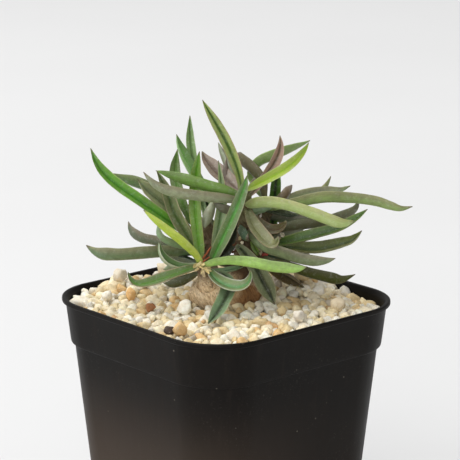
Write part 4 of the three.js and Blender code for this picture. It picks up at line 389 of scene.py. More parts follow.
    ('leaf_centre_05', 'leaf_green', ('86ad52', '5e8631', '81aa52', '728c42'), ((2.07, -5.08, 101.71, 1.01, 0.49, 0.34, 0.8), (0.41, -5.38, 101.82, 1.26, 0.49, 0.34, 0.8), (-1.77, -4.72, 102.86, 1.83, 0.49, 0.34, 0.8), (-3.68, -3.96, 103.71, 2.19, 0.5, 0.35, 0.79), (-5.45, -3.02, 104.44, 2.35, 0.52, 0.35, 0.78), (-7.12, -1.97, 105.1, 2.35, 0.53, 0.34, 0.77), (-8.7, -0.84, 105.7, 2.35, 0.54, 0.34, 0.77), (-10.22, 0.32, 106.29, 2.35, 0.55, 0.33, 0.77), (-11.7, 1.5, 106.87, 2.35, 0.56, 0.32, 0.76), (-13.16, 2.68, 107.42, 2.18, 0.55, 0.33, 0.77), (-14.59, 3.87, 107.96, 1.87, 0.57, 0.32, 0.76), (-15.97, 5.06, 108.54, 1.43, 0.59, 0.29, 0.75), (-17.32, 6.27, 109.11, 0.86, 0.58, 0.31, 0.76), (-18.64, 7.54, 109.58, 0.17, 0.57, 0.31, 0.76))),
    ('leaf_centre_06', 'leaf_brown', ('928e6f', '625f3c', '9aa282', '948c6f'), ((2.13, -5.29, 100.69, 0.8, -0.25, 0.64, 0.73), (0.69, -5.97, 100.61, 0.68, -0.25, 0.64, 0.73), (-2.22, -5.79, 101.34, 1.48, 0.33, 0.47, 0.82), (-4.81, -5.04, 101.95, 1.85, 0.33, 0.49, 0.81), (-7.26, -4.13, 102.41, 2.05, 0.34, 0.48, 0.81), (-9.6, -3.14, 102.87, 2.17, 0.37, 0.46, 0.81), (-11.84, -2.05, 103.32, 2.23, 0.39, 0.44, 0.81), (-13.98, -0.84, 103.75, 2.26, 0.42, 0.42, 0.81), (-16.05, 0.39, 104.23, 2.25, 0.44, 0.39, 0.81), (-18.04, 1.64, 104.82, 2.16, 0.5, 0.34, 0.8), (-19.93, 2.89, 105.63, 1.9, 0.6, 0.25, 0.76), (-21.59, 4.09, 106.84, 1.53, 0.72, 0.12, 0.69), (-22.97, 5.21, 108.4, 0.95, 0.82, -0.01, 0.57), (-24.11, 6.22, 110.19, 0.17, 0.83, -0.02, 0.55))),
    ('leaf_centre_07', 'leaf_grey', ('898961', '7f8051', 'd6c6b1', 'a2886d'), ((2.58, -5.74, 98.03, 0.84, -0.2, -0.64, 0.74), (1.76, -7.43, 97.78, 1.05, -0.2, -0.64, 0.74), (1.31, -8.59, 96.66, 1.42, -0.21, -0.63, 0.75), (1.03, -9.67, 95.67, 1.68, -0.24, -0.62, 0.74), (0.87, -10.74, 94.73, 1.88, -0.26, -0.6, 0.75), (0.77, -11.82, 93.86, 2.01, -0.28, -0.57, 0.77), (0.75, -12.93, 93.06, 2.08, -0.29, -0.55, 0.78), (0.77, -14.04, 92.31, 2.09, -0.29, -0.53, 0.8), (0.81, -15.17, 91.61, 2.05, -0.31, -0.49, 0.81), (0.92, -16.32, 91, 1.91, -0.35, -0.45, 0.82), (1.14, -17.51, 90.53, 1.62, -0.49, -0.28, 0.82), (1.43, -18.72, 90.69, 1.26, -0.87, 0.01, 0.48), (1.65, -19.5, 91.64, 0.77, -0.99, -0.12, 0.07), (1.78, -19.89, 92.83, 0.25, -0.99, -0.11, 0.07))),
    ('leaf_centre_08', 'leaf_brown', ('505441', '363827', '6d6f5c', '7d7a64'), ((2.12, -4.83, 97.51, 0.8, 0.33, 0.53, 0.78), (0.02, -4.74, 97.37, 0.97, 0.33, 0.53, 0.78), (-0.75, -4.55, 97.54, 1.24, 0.3, 0.55, 0.78), (-1.44, -4.4, 97.71, 1.47, 0.32, 0.53, 0.79), (-2.09, -4.23, 97.9, 1.64, 0.4, 0.48, 0.78), (-2.7, -4.01, 98.11, 1.76, 0.47, 0.44, 0.77), (-3.27, -3.75, 98.34, 1.82, 0.52, 0.39, 0.76), (-3.81, -3.5, 98.6, 1.78, 0.56, 0.35, 0.75), (-4.33, -3.27, 98.91, 1.65, 0.59, 0.31, 0.74), (-4.83, -3.06, 99.24, 1.45, 0.63, 0.28, 0.73), (-5.31, -2.86, 99.6, 1.2, 0.67, 0.24, 0.7), (-5.76, -2.64, 99.98, 0.87, 0.71, 0.2, 0.67), (-6.18, -2.41, 100.38, 0.51, 0.72, 0.19, 0.66), (-6.6, -2.19, 100.77, 0.16, 0.71, 0.2, 0.67))),
    ('leaf_centre_09', 'leaf_lime', ('a09f68', '7b7f43', 'b3c283', 'a8a36e'), ((2.7, -5.79, 99.45, 1.19, 0.29, 0.38, 0.88), (2.32, -7.35, 99.44, 1.48, 0.29, 0.38, 0.88), (2.57, -10.35, 100.61, 2.29, 0.4, 0.32, 0.86), (3.38, -13.06, 101.16, 2.35, 0.48, 0.28, 0.83), (4.48, -15.6, 101.28, 2.35, 0.55, 0.25, 0.8), (5.68, -18, 101.07, 2.35, 0.61, 0.19, 0.77), (6.81, -20.35, 100.65, 2.35, 0.64, 0.15, 0.75), (7.94, -22.62, 100.06, 2.35, 0.67, 0.13, 0.73), (9.09, -24.81, 99.39, 2.35, 0.67, 0.13, 0.73), (10.29, -26.93, 98.69, 2.35, 0.66, 0.14, 0.73), (11.51, -29.01, 97.99, 2.35, 0.65, 0.15, 0.74), (12.79, -31.06, 97.4, 2.33, 0.61, 0.2, 0.76), (14.19, -33.07, 97.22, 1.6, 0.38, 0.44, 0.81), (15.64, -34.95, 97.81, 0.21, 0.32, 0.49, 0.81))),
    ('leaf_centre_10', 'leaf_dark', ('83946e', '576b42', '8b9b74', '9a8d79'), ((3.47, -5.03, 90.53, 1.61, 0.89, -0.15, 0.43), (3.67, -7.34, 90.26, 2.01, 0.89, -0.15, 0.43), (4.19, -9.34, 88.84, 2.18, 0.83, -0.06, 0.55), (4.92, -11.21, 87.84, 2.28, 0.76, 0.04, 0.65), (5.81, -13.05, 87.18, 2.35, 0.66, 0.16, 0.73), (6.87, -14.8, 86.74, 2.35, 0.64, 0.2, 0.74), (8.02, -16.4, 86.18, 2.35, 0.63, 0.21, 0.75), (9.23, -17.93, 85.65, 2.35, 0.61, 0.24, 0.76), (10.43, -19.46, 85.21, 2.35, 0.58, 0.26, 0.77), (11.64, -20.98, 84.9, 2.35, 0.53, 0.31, 0.78), (12.88, -22.48, 84.74, 2.28, 0.49, 0.36, 0.79), (14.08, -23.99, 84.75, 1.77, 0.45, 0.4, 0.8), (15.29, -25.46, 84.99, 1.08, 0.32, 0.52, 0.79), (16.52, -26.82, 85.49, 0.17, 0.29, 0.54, 0.79))),
    ('leaf_centre_11', 'leaf_grey', ('779770', '54704a', '7a976e', '889f78'), ((3.9, -5.16, 96.93, 1.12, 0.18, 0.61, 0.77), (5.24, -5.76, 96.96, 1.4, 0.18, 0.61, 0.77), (5.77, -5.97, 96.96, 1.53, 0.27, 0.58, 0.77), (6.19, -6.24, 97, 1.57, 0.31, 0.56, 0.77), (6.58, -6.51, 97.05, 1.54, 0.28, 0.58, 0.77), (7, -6.73, 97.08, 1.46, 0.22, 0.61, 0.76), (7.42, -6.89, 97.1, 1.35, 0.18, 0.63, 0.76), (7.86, -7.03, 97.12, 1.23, 0.16, 0.64, 0.75), (8.28, -7.15, 97.14, 1.09, 0.15, 0.64, 0.75), (8.71, -7.27, 97.16, 0.93, 0.14, 0.65, 0.75), (9.13, -7.39, 97.18, 0.75, 0.14, 0.65, 0.75), (9.54, -7.51, 97.21, 0.55, 0.14, 0.65, 0.74), (9.95, -7.63, 97.23, 0.36, 0.14, 0.65, 0.74), (10.36, -7.74, 97.26, 0.17, 0.14, 0.65, 0.75))),
    ('leaf_centre_12', 'leaf_brown', ('645d3a', '6d5e40', '735540', '8e6e59'), ((3.67, -5.4, 95.35, 0.8, -0.17, -0.78, 0.6), (4.66, -6.94, 95.25, 0.96, -0.17, -0.78, 0.6), (5.18, -7.62, 94.45, 1.15, -0.15, -0.81, 0.57), (5.69, -8.23, 93.78, 1.29, -0.18, -0.77, 0.61), (6.15, -8.86, 93.16, 1.41, -0.21, -0.73, 0.65), (6.59, -9.55, 92.63, 1.49, -0.29, -0.61, 0.73), (7.02, -10.34, 92.32, 1.52, -0.45, -0.42, 0.79), (7.43, -11.17, 92.21, 1.51, -0.57, -0.28, 0.77), (7.82, -12, 92.29, 1.45, -0.68, -0.18, 0.71), (8.19, -12.79, 92.56, 1.34, -0.82, -0.08, 0.56), (8.51, -13.49, 93.04, 1.2, -0.9, -0.05, 0.44), (8.79, -14.11, 93.62, 0.98, -0.94, -0.04, 0.33), (8.98, -14.61, 94.33, 0.62, -0.99, -0.07, 0.15), (9.12, -15.03, 95.1, 0.22, -0.98, -0.06, 0.18))),
    ('leaf_centre_13', 'leaf_grey', ('3f5e3e', '28412b', '3d5c44', '405c3c'), ((2.57, -4.72, 92.01, 1.32, 0.82, -0.41, 0.4), (0.95, -5.7, 91.9, 1.65, 0.82, -0.41, 0.4), (0.74, -6.15, 91.87, 1.75, 0.83, -0.4, 0.4), (0.56, -6.56, 91.83, 1.84, 0.83, -0.39, 0.4), (0.41, -6.95, 91.79, 1.92, 0.84, -0.37, 0.4), (0.28, -7.34, 91.71, 2.01, 0.85, -0.33, 0.41), (0.21, -7.73, 91.59, 2.12, 0.86, -0.27, 0.43), (0.18, -8.1, 91.43, 2.2, 0.87, -0.24, 0.44), (0.15, -8.46, 91.28, 2.18, 0.86, -0.27, 0.43), (0.08, -8.83, 91.17, 2.03, 0.85, -0.33, 0.41), (-0.03, -9.19, 91.1, 1.82, 0.84, -0.36, 0.4), (-0.16, -9.55, 91.04, 1.59, 0.84, -0.37, 0.4), (-0.3, -9.9, 90.99, 1.35, 0.84, -0.37, 0.4), (-0.43, -10.26, 90.95, 1.15, 0.84, -0.38, 0.4))),
    ('leaf_centre_14', 'leaf_brown', ('9c7c6a', '68553d', 'a68b79', 'c1a497'), ((3.44, -5.22, 101.77, 0.8, -0.56, -0.8, 0.21), (4.76, -5.75, 101.99, 0.56, -0.56, -0.8, 0.21), (6.16, -5.99, 103.35, 0.84, -0.43, -0.82, 0.38), (7.42, -6.07, 104.59, 1, -0.42, -0.82, 0.39), (8.66, -6.12, 105.74, 1.13, -0.4, -0.82, 0.4), (9.89, -6.15, 106.84, 1.24, -0.38, -0.82, 0.42), (11.1, -6.13, 107.9, 1.34, -0.35, -0.82, 0.45), (12.3, -6.06, 108.94, 1.41, -0.36, -0.81, 0.47), (13.4, -5.93, 110.05, 1.42, -0.4, -0.79, 0.47), (14.39, -5.73, 111.22, 1.36, -0.42, -0.77, 0.49), (15.27, -5.41, 112.44, 1.18, -0.44, -0.73, 0.51), (15.99, -4.96, 113.7, 0.87, -0.48, -0.7, 0.53), (16.53, -4.36, 114.97, 0.51, -0.53, -0.66, 0.54), (16.96, -3.68, 116.23, 0.11, -0.53, -0.66, 0.53))),
    ('leaf_back_left_01', 'leaf_green', ('6b894d', '446626', '748f4e', '8b996d'), ((-0.47, 8.2, 94.05, 0.8, -0.62, -0.54, 0.57), (0.22, 9.11, 94.65, 0.73, -0.62, -0.54, 0.57), (0.69, 11.07, 97.03, 0.83, -0.62, -0.54, 0.57), (1.14, 12.79, 99.18, 0.91, -0.61, -0.56, 0.56), (1.67, 14.29, 101.33, 0.96, -0.59, -0.6, 0.54), (2.25, 15.61, 103.49, 1, -0.59, -0.61, 0.53), (2.88, 16.91, 105.6, 1.04, -0.57, -0.59, 0.57), (3.63, 18.3, 107.54, 1.09, -0.54, -0.53, 0.65), (4.51, 19.76, 109.33, 1.13, -0.51, -0.51, 0.69), (5.44, 21.24, 111.05, 1.13, -0.49, -0.48, 0.73), (6.43, 22.72, 112.69, 1.04, -0.49, -0.52, 0.7), (7.37, 23.95, 114.52, 0.82, -0.52, -0.61, 0.6), (8.24, 25, 116.48, 0.49, -0.54, -0.64, 0.54), (9.05, 25.97, 118.48, 0.11, -0.54, -0.64, 0.54))),
    ('leaf_back_left_02', 'leaf_green', ('6d984e', '6aa83e', 'a0d174', '638649'), ((-0.51, 7.78, 94.19, 0.8, 0.03, -0.81, -0.59), (-0.1, 7.48, 94.92, 0.71, 0.03, -0.81, -0.59), (0.73, 6.24, 97.04, 1.13, 0.36, -0.82, 0.36), (0.65, 7.92, 98.83, 1.5, 0.32, -0.67, 0.67), (0.59, 9.58, 100.51, 1.81, 0.33, -0.66, 0.67), (0.58, 11.21, 102.12, 2.03, 0.33, -0.66, 0.68), (0.61, 12.83, 103.69, 2.18, 0.33, -0.66, 0.67), (0.67, 14.42, 105.23, 2.26, 0.33, -0.66, 0.67), (0.77, 16.01, 106.74, 2.26, 0.34, -0.66, 0.67), (0.94, 17.59, 108.2, 2.16, 0.35, -0.66, 0.67), (1.13, 19.14, 109.66, 1.95, 0.35, -0.67, 0.66), (1.33, 20.68, 111.11, 1.61, 0.36, -0.69, 0.63), (1.51, 22, 112.73, 1, 0.38, -0.78, 0.49), (1.67, 23.12, 114.48, 0.17, 0.38, -0.79, 0.48))),
    ('leaf_back_left_03', 'leaf_green', ('647d42', '4f7821', '7d7c57', '77735c'), ((-1.34, 8.11, 91.96, 0.8, -0.26, -0.97, 0.02), (-2.62, 8.54, 91.93, 0.46, -0.26, -0.97, 0.02), (-4.86, 9.2, 92.58, 0.74, -0.71, -0.7, 0.09), (-5.29, 10.15, 94.62, 0.95, -0.74, -0.66, 0.12), (-5.67, 11.06, 96.58, 1.14, -0.76, -0.61, 0.23), (-5.69, 12.24, 98.35, 1.28, -0.76, -0.46, 0.47), (-5.34, 13.66, 99.85, 1.38, -0.72, -0.35, 0.6), (-4.81, 15.08, 101.24, 1.44, -0.68, -0.36, 0.64), (-4.2, 16.4, 102.66, 1.49, -0.67, -0.39, 0.63), (-3.55, 17.58, 104.15, 1.49, -0.65, -0.45, 0.61), (-2.74, 18.58, 105.67, 1.4, -0.61, -0.5, 0.62), (-1.96, 19.25, 107.35, 1.11, -0.69, -0.59, 0.42), (-1.33, 19.61, 109.16, 0.63, -0.71, -0.61, 0.33), (-0.72, 19.9, 110.98, 0.11, -0.71, -0.61, 0.35))),
    ('leaf_back_left_04', 'leaf_green', ('6da931', '4b921a', 'dce1a0', 'adbb75'), ((-1.4, 7.23, 87.02, 0.8, 0.46, -0.88, 0.12), (-3.14, 6.49, 87.03, 0.61, 0.46, -0.88, 0.12), (-6.66, 7.03, 89.41, 1.08, -0.11, -0.96, 0.27), (-9.68, 8.09, 91.72, 1.28, -0.13, -0.95, 0.28), (-12.51, 9.14, 94.01, 1.4, -0.14, -0.95, 0.27), (-15.2, 10.28, 96.25, 1.49, -0.18, -0.94, 0.31), (-17.79, 11.55, 98.43, 1.57, -0.2, -0.92, 0.33), (-20.26, 12.91, 100.59, 1.61, -0.22, -0.92, 0.34), (-22.69, 14.3, 102.7, 1.62, -0.23, -0.91, 0.35), (-25.03, 15.7, 104.83, 1.6, -0.23, -0.91, 0.34), (-27.24, 17.08, 107.07, 1.53, -0.23, -0.92, 0.31), (-29.18, 18.3, 109.58, 1.31, -0.23, -0.94, 0.25), (-30.6, 19.24, 112.48, 0.82, -0.24, -0.96, 0.15), (-31.57, 19.92, 115.61, 0.12, -0.24, -0.96, 0.14))),
    ('leaf_back_left_05', 'leaf_dark', ('486b29', '2e4a16', '4a6d29', '707a47'), ((-1.04, 8.27, 92.59, 0.8, 0.76, 0.05, 0.65), (-1.71, 8.95, 93.4, 0.72, 0.76, 0.05, 0.65), (-2.86, 11.08, 94.98, 1.31, 0.82, -0.06, 0.57), (-3.5, 13.48, 96.07, 1.59, 0.81, -0.02, 0.59), (-4.43, 15.62, 97.23, 1.84, 0.77, 0.04, 0.63), (-5.64, 17.49, 98.45, 2.07, 0.74, 0.09, 0.66), (-6.88, 19.35, 99.54, 2.26, 0.73, 0.1, 0.68), (-8, 21.32, 100.46, 2.35, 0.72, 0.09, 0.69), (-8.97, 23.41, 101.17, 2.35, 0.7, 0.1, 0.7), (-9.86, 25.56, 101.72, 2.35, 0.68, 0.12, 0.72), (-10.87, 27.63, 102.23, 2.19, 0.65, 0.16, 0.74), (-11.99, 29.63, 102.72, 1.62, 0.64, 0.18, 0.75), (-13.23, 31.51, 103.28, 0.94, 0.62, 0.2, 0.75), (-14.54, 33.32, 103.86, 0.18, 0.62, 0.2, 0.75))),
    ('leaf_back_left_06', 'leaf_brown', ('979f72', '79885e', 'b4b592', 'cebf9e'), ((-1.48, 7.82, 87.77, 0.8, 0.03, -0.95, 0.32), (-3.48, 8.22, 87.67, 0.68, 0.03, -0.95, 0.32), (-5.13, 8.81, 89.48, 0.97, -0.04, -0.95, 0.3), (-6.5, 9.4, 91.15, 1.26, -0.04, -0.95, 0.3), (-7.79, 9.95, 92.79, 1.51, -0.03, -0.96, 0.28), (-9.04, 10.46, 94.39, 1.72, -0.03, -0.96, 0.28), (-10.28, 10.95, 95.96, 1.91, -0.03, -0.96, 0.27), (-11.53, 11.42, 97.48, 2.06, -0.02, -0.96, 0.29), (-12.8, 11.94, 98.93, 2.17, -0.04, -0.94, 0.33), (-14.07, 12.52, 100.32, 2.22, -0.06, -0.93, 0.37), (-15.33, 13.21, 101.65, 2.15, -0.1, -0.9, 0.43), (-16.55, 13.98, 102.94, 1.85, -0.11, -0.9, 0.42), (-17.63, 14.75, 104.32, 1.09, -0.12, -0.9, 0.41), (-18.65, 15.53, 105.73, 0.16, -0.12, -0.9, 0.41))),
    ('leaf_back_left_07', 'leaf_brown', ('646f53', '465238', '626f58', '817560'), ((-1.38, 7.72, 85.03, 0.8, -0.07, 0.7, 0.71), (-2.95, 8.24, 84.93, 0.81, -0.07, 0.7, 0.71), (-4.98, 9.08, 84.86, 1.25, 0.56, 0.26, 0.78), (-6.08, 11.03, 84.93, 1.63, 0.56, 0.28, 0.78), (-7.18, 12.86, 85.2, 1.89, 0.63, 0.21, 0.75), (-8.11, 14.71, 85.56, 2.05, 0.66, 0.16, 0.73), (-8.87, 16.59, 85.88, 2.13, 0.68, 0.13, 0.72), (-9.53, 18.48, 86.17, 2.14, 0.67, 0.13, 0.73), (-10.17, 20.36, 86.3, 2.17, 0.6, 0.19, 0.77), (-10.78, 22.24, 86.34, 2.2, 0.65, 0.14, 0.74), (-11.37, 24.06, 86.68, 2.11, 0.75, 0.06, 0.66), (-11.87, 25.8, 87.35, 1.79, 0.86, -0.08, 0.5), (-12.12, 27.23, 88.58, 1.05, 0.95, -0.19, 0.24), (-12.26, 28.01, 90.31, 0.18, 0.96, -0.22, 0.17))),
    ('leaf_back_left_08', 'leaf_dark', ('75936c', '506d46', '738b63', '9c9573'), ((-1.36, 7.08, 84.29, 0.8, -0.21, 0.62, 0.75), (-2.99, 6.55, 84.27, 0.75, -0.21, 0.62, 0.75), (-6.17, 6.7, 84.77, 1.43, 0.39, 0.37, 0.84), (-8.98, 8.1, 85.26, 2.12, 0.3, 0.44, 0.85), (-11.82, 9.14, 85.58, 2.35, 0.24, 0.48, 0.85), (-14.66, 9.94, 85.86, 2.35, 0.2, 0.5, 0.84), (-17.43, 10.79, 85.99, 2.35, 0.19, 0.52, 0.84), (-20.1, 11.8, 86, 2.35, 0.21, 0.51, 0.84), (-22.67, 12.95, 86.01, 2.35, 0.24, 0.49, 0.84), (-25.17, 14.18, 86.05, 2.35, 0.26, 0.47, 0.84), (-27.63, 15.44, 86.17, 2.35, 0.3, 0.45, 0.84), (-29.99, 16.79, 86.41, 2.31, 0.37, 0.39, 0.84), (-32.17, 18.09, 87.3, 1.39, 0.63, 0.16, 0.76), (-34.08, 19.2, 88.84, 0.23, 0.66, 0.13, 0.74))),
    ('leaf_back_left_09', 'leaf_grey', ('617d61', '455f47', '94b287', '81956a'), ((-1.35, 7.08, 85.92, 0.8, -0.1, 0.58, 0.81), (-3.4, 6.07, 85.93, 0.6, -0.1, 0.58, 0.81), (-5.22, 5.03, 86.37, 0.78, -0.13, 0.57, 0.81), (-6.94, 4.37, 86.77, 0.95, 0.14, 0.52, 0.85), (-8.72, 4.55, 87.12, 1.16, 0.27, 0.49, 0.83), (-10.37, 5.15, 87.42, 1.39, 0.35, 0.41, 0.84), (-11.97, 5.59, 87.91, 1.56, 0.37, 0.33, 0.87), (-13.55, 5.67, 88.58, 1.67, 0.4, 0.26, 0.88), (-15.07, 5.64, 89.31, 1.73, 0.45, 0.19, 0.87), (-16.52, 5.59, 90.15, 1.74, 0.54, 0.08, 0.84), (-17.85, 5.54, 91.13, 1.72, 0.64, -0.03, 0.77), (-18.99, 5.46, 92.3, 1.58, 0.8, -0.25, 0.54), (-19.66, 5.24, 93.76, 1, 0.88, -0.44, 0.18), (-20.09, 4.96, 95.29, 0.24, 0.87, -0.45, 0.2))),
    ('leaf_back_left_10', 'leaf_brown', ('9ba389', '727b60', 'acb195', 'aaaa8b'), ((-0.75, 7.65, 94.16, 0.8, 0.69, 0.58, 0.42), (-0.9, 6.91, 94.98, 0.35, 0.69, 0.58, 0.42), (-0.8, 5.94, 96.46, 0.4, 0.68, 0.67, 0.3), (-0.58, 5.16, 97.83, 0.43, 0.68, 0.68, 0.28), (-0.4, 4.4, 99.13, 0.46, 0.69, 0.65, 0.33), (-0.4, 3.54, 100.33, 0.51, 0.69, 0.43, 0.58), (-1.22, 2.87, 100.07, 0.61, 0.56, 0.61, -0.56), (-2.13, 2.73, 98.98, 0.82, 0.56, 0.61, -0.56), (-3.03, 2.52, 97.91, 1.06, 0.53, 0.59, -0.61), (-3.92, 2.22, 96.89, 1.35, 0.52, 0.58, -0.63), (-4.78, 1.92, 95.85, 1.46, 0.55, 0.58, -0.6), (-5.59, 1.63, 94.79, 1.33, 0.58, 0.58, -0.57), (-6.32, 1.36, 93.68, 0.84, 0.62, 0.58, -0.52), (-7.01, 1.09, 92.56, 0.17, 0.62, 0.58, -0.53))),
    ('leaf_right_01', 'leaf_dark', ('4a691e', '385c0d', '657931', '7f8748'), ((10.17, -6.93, 87.04, 0.8, -0.7, -0.08, 0.71), (10.06, -8.14, 86.75, 0.93, -0.7, -0.08, 0.71), (11.45, -10.57, 87.83, 1.42, -0.67, -0.1, 0.73), (12.83, -12.71, 88.62, 1.63, -0.63, -0.16, 0.76), (14.24, -14.73, 89.35, 1.72, -0.62, -0.17, 0.77), (15.64, -16.66, 90.08, 1.74, -0.64, -0.15, 0.76), (16.97, -18.57, 90.85, 1.75, -0.64, -0.15, 0.75), (18.35, -20.4, 91.58, 1.72, -0.61, -0.19, 0.77), (19.76, -22.16, 92.33, 1.66, -0.64, -0.16, 0.75), (21.08, -23.9, 93.18, 1.57, -0.69, -0.12, 0.72), (22.39, -25.47, 94.29, 1.44, -0.74, -0.09, 0.67), (23.62, -26.94, 95.55, 1.2, -0.78, -0.06, 0.62), (24.75, -28.38, 96.92, 0.75, -0.81, -0.05, 0.59), (25.88, -29.7, 98.39, 0.13, -0.81, -0.05, 0.58))),
    ('leaf_right_02', 'leaf_brown', ('5c6445', '3f4028', '626548', '737655'), ((10.31, -6.37, 87.48, 0.8, -0.5, 0.73, -0.46), (10.54, -6.01, 88.25, 0.73, -0.5, 0.73, -0.46), (12.28, -6.89, 90.1, 1.63, 0, 0.72, 0.69), (14.25, -8.32, 91.16, 1.99, 0.15, 0.61, 0.78), (16.25, -9.79, 91.77, 2.23, 0.22, 0.55, 0.81), (18.18, -11.31, 92.13, 2.35, 0.28, 0.5, 0.82), (20.02, -12.87, 92.39, 2.35, 0.31, 0.48, 0.82), (21.79, -14.46, 92.72, 2.35, 0.28, 0.5, 0.82), (23.48, -16.05, 93.17, 2.35, 0.25, 0.53, 0.81), (25.07, -17.64, 93.8, 2.33, 0.2, 0.57, 0.8), (26.61, -19.17, 94.59, 2.17, 0.15, 0.61, 0.78), (28.03, -20.62, 95.65, 1.83, 0.04, 0.69, 0.72), (29.16, -21.84, 97.18, 1.19, -0.21, 0.85, 0.49), (29.65, -22.5, 99.28, 0.18, -0.31, 0.89, 0.34))),
    ('leaf_right_03', 'leaf_dark', ('78833f', '4b6023', '8ea067', 'a09e6f'), ((10.11, -6.19, 85.53, 0.8, -0.49, -0.1, 0.87), (11.08, -7.04, 85.05, 0.94, -0.49, -0.1, 0.87), (12.82, -8.97, 85.84, 1.4, -0.46, -0.12, 0.88), (14.42, -10.75, 86.12, 1.7, -0.31, -0.25, 0.92), (15.97, -12.48, 86.08, 1.93, -0.25, -0.3, 0.92), (17.48, -14.15, 85.9, 2.12, -0.27, -0.29, 0.92), (18.92, -15.82, 85.95, 2.24, -0.35, -0.21, 0.91), (20.32, -17.47, 86.21, 2.25, -0.42, -0.15, 0.9), (21.67, -19.07, 86.69, 2.14, -0.47, -0.1, 0.88), (22.98, -20.65, 87.24, 1.99, -0.49, -0.08, 0.87), (24.25, -22.2, 87.86, 1.77, -0.52, -0.06, 0.85), (25.48, -23.74, 88.55, 1.46, -0.6, 0.01, 0.8), (26.5, -25.02, 89.79, 0.88, -0.8, 0.14, 0.58), (27.37, -26.09, 91.31, 0.18, -0.8, 0.14, 0.58))),
    ('leaf_right_04', 'leaf_dark', ('4b5e20', '314110', '4d581d', '53501d'), ((9.18, -5.23, 83.44, 1.14, 0.55, 0.24, 0.8), (9.95, -6.31, 82.46, 1.43, 0.55, 0.24, 0.8), (12.04, -7.63, 81.53, 1.73, 0.51, 0.3, 0.81), (13.89, -8.89, 80.79, 1.83, 0.53, 0.28, 0.8), (15.65, -10.08, 80.04, 1.94, 0.54, 0.27, 0.8), (17.32, -11.31, 79.28, 2.1, 0.56, 0.25, 0.79), (18.91, -12.57, 78.56, 2.3, 0.55, 0.26, 0.79), (20.46, -13.89, 77.97, 2.35, 0.53, 0.28, 0.8), (21.95, -15.26, 77.45, 2.35, 0.54, 0.27, 0.79), (23.38, -16.67, 76.97, 2.35, 0.53, 0.28, 0.8), (24.78, -18.1, 76.53, 2.29, 0.54, 0.27, 0.79), (26.15, -19.57, 76.37, 1.68, 0.35, 0.47, 0.81), (27.41, -21, 76.99, 0.94, 0.19, 0.61, 0.77), (28.61, -22.39, 77.79, 0.18, 0.2, 0.59, 0.78))),
    ('leaf_right_05', 'leaf_dark', ('4e791e', '15340d', '4e7b1a', '649024'), ((12.3, -2.49, 91.27, 0.99, -0.52, -0.64, 0.56), (14.66, -3.05, 90.42, 1.23, -0.52, -0.64, 0.56), (15.34, -2.57, 92.05, 1.36, -0.62, -0.7, 0.36), (15.86, -2.22, 93.56, 1.43, -0.59, -0.68, 0.43), (16.52, -1.7, 94.88, 1.48, -0.5, -0.6, 0.62), (17.3, -1.02, 96.01, 1.51, -0.46, -0.57, 0.69), (18.04, -0.38, 97.14, 1.52, -0.53, -0.63, 0.57), (18.55, 0, 98.46, 1.5, -0.65, -0.71, 0.26), (18.77, 0.08, 99.89, 1.46, -0.68, -0.73, 0.08), (18.95, 0.12, 101.32, 1.37, -0.67, -0.72, 0.17), (19.3, 0.28, 102.69, 1.17, -0.63, -0.71, 0.31), (19.77, 0.5, 104, 0.85, -0.61, -0.7, 0.37), (20.28, 0.77, 105.27, 0.49, -0.6, -0.69, 0.4), (20.82, 1.05, 106.52, 0.14, -0.59, -0.69, 0.42))),
    ('leaf_right_06', 'leaf_grey', ('6f7753', '222d0e', '859564', '999470'), ((2.43, -4.08, 87.67, 0.8, -0.61, -0.08, 0.77), (0.36, -4.84, 87.59, 0.85, -0.61, -0.08, 0.77), (0.31, -6.6, 86.69, 1.28, -0.69, -0.48, 0.55), (0.73, -7.86, 85.52, 1.61, -0.61, -0.71, 0.34), (1.3, -8.84, 84.25, 1.84, -0.59, -0.76, 0.28), (1.81, -9.71, 82.93, 2.06, -0.59, -0.76, 0.28), (2.23, -10.54, 81.61, 2.24, -0.59, -0.75, 0.29), (2.61, -11.31, 80.26, 2.35, -0.58, -0.78, 0.24), (2.98, -11.99, 78.89, 2.35, -0.58, -0.78, 0.24), (3.35, -12.7, 77.54, 2.35, -0.58, -0.77, 0.25), (3.72, -13.39, 76.22, 2.24, -0.58, -0.78, 0.24), (4.07, -14.03, 74.87, 1.81, -0.57, -0.79, 0.21), (4.4, -14.6, 73.5, 1.05, -0.57, -0.8, 0.19), (4.72, -15.16, 72.14, 0.22, -0.57, -0.8, 0.19))),
    ('leaf_right_07', 'leaf_brown', ('605433', '3a3011', '533d1a', '8c794a'), ((8.9, -3.97, 81.81, 0.8, -0.66, -0.23, -0.72), (10.41, -4.46, 81.02, 0.96, -0.66, -0.23, -0.72), (11.53, -4.6, 80.02, 1.28, -0.67, -0.22, -0.71), (12.53, -4.73, 79.12, 1.56, -0.66, -0.23, -0.72), (13.52, -4.9, 78.3, 1.77, -0.63, -0.28, -0.73), (14.51, -5.13, 77.55, 1.92, -0.61, -0.31, -0.73), (15.48, -5.46, 76.86, 2.01, -0.65, -0.31, -0.7), (16.34, -6.02, 76.21, 2.05, -0.73, -0.26, -0.63), (17.01, -6.84, 75.65, 2.03, -0.79, -0.19, -0.58), (17.55, -7.78, 75.18, 1.93, -0.81, -0.16, -0.56), (18.06, -8.72, 74.7, 1.66, -0.81, -0.16, -0.56), (18.63, -9.59, 74.18, 1.2, -0.76, -0.23, -0.61), (19.46, -10.09, 73.57, 0.69, -0.57, -0.34, -0.74), (20.43, -10.1, 72.97, 0.32, -0.45, -0.35, -0.82))),
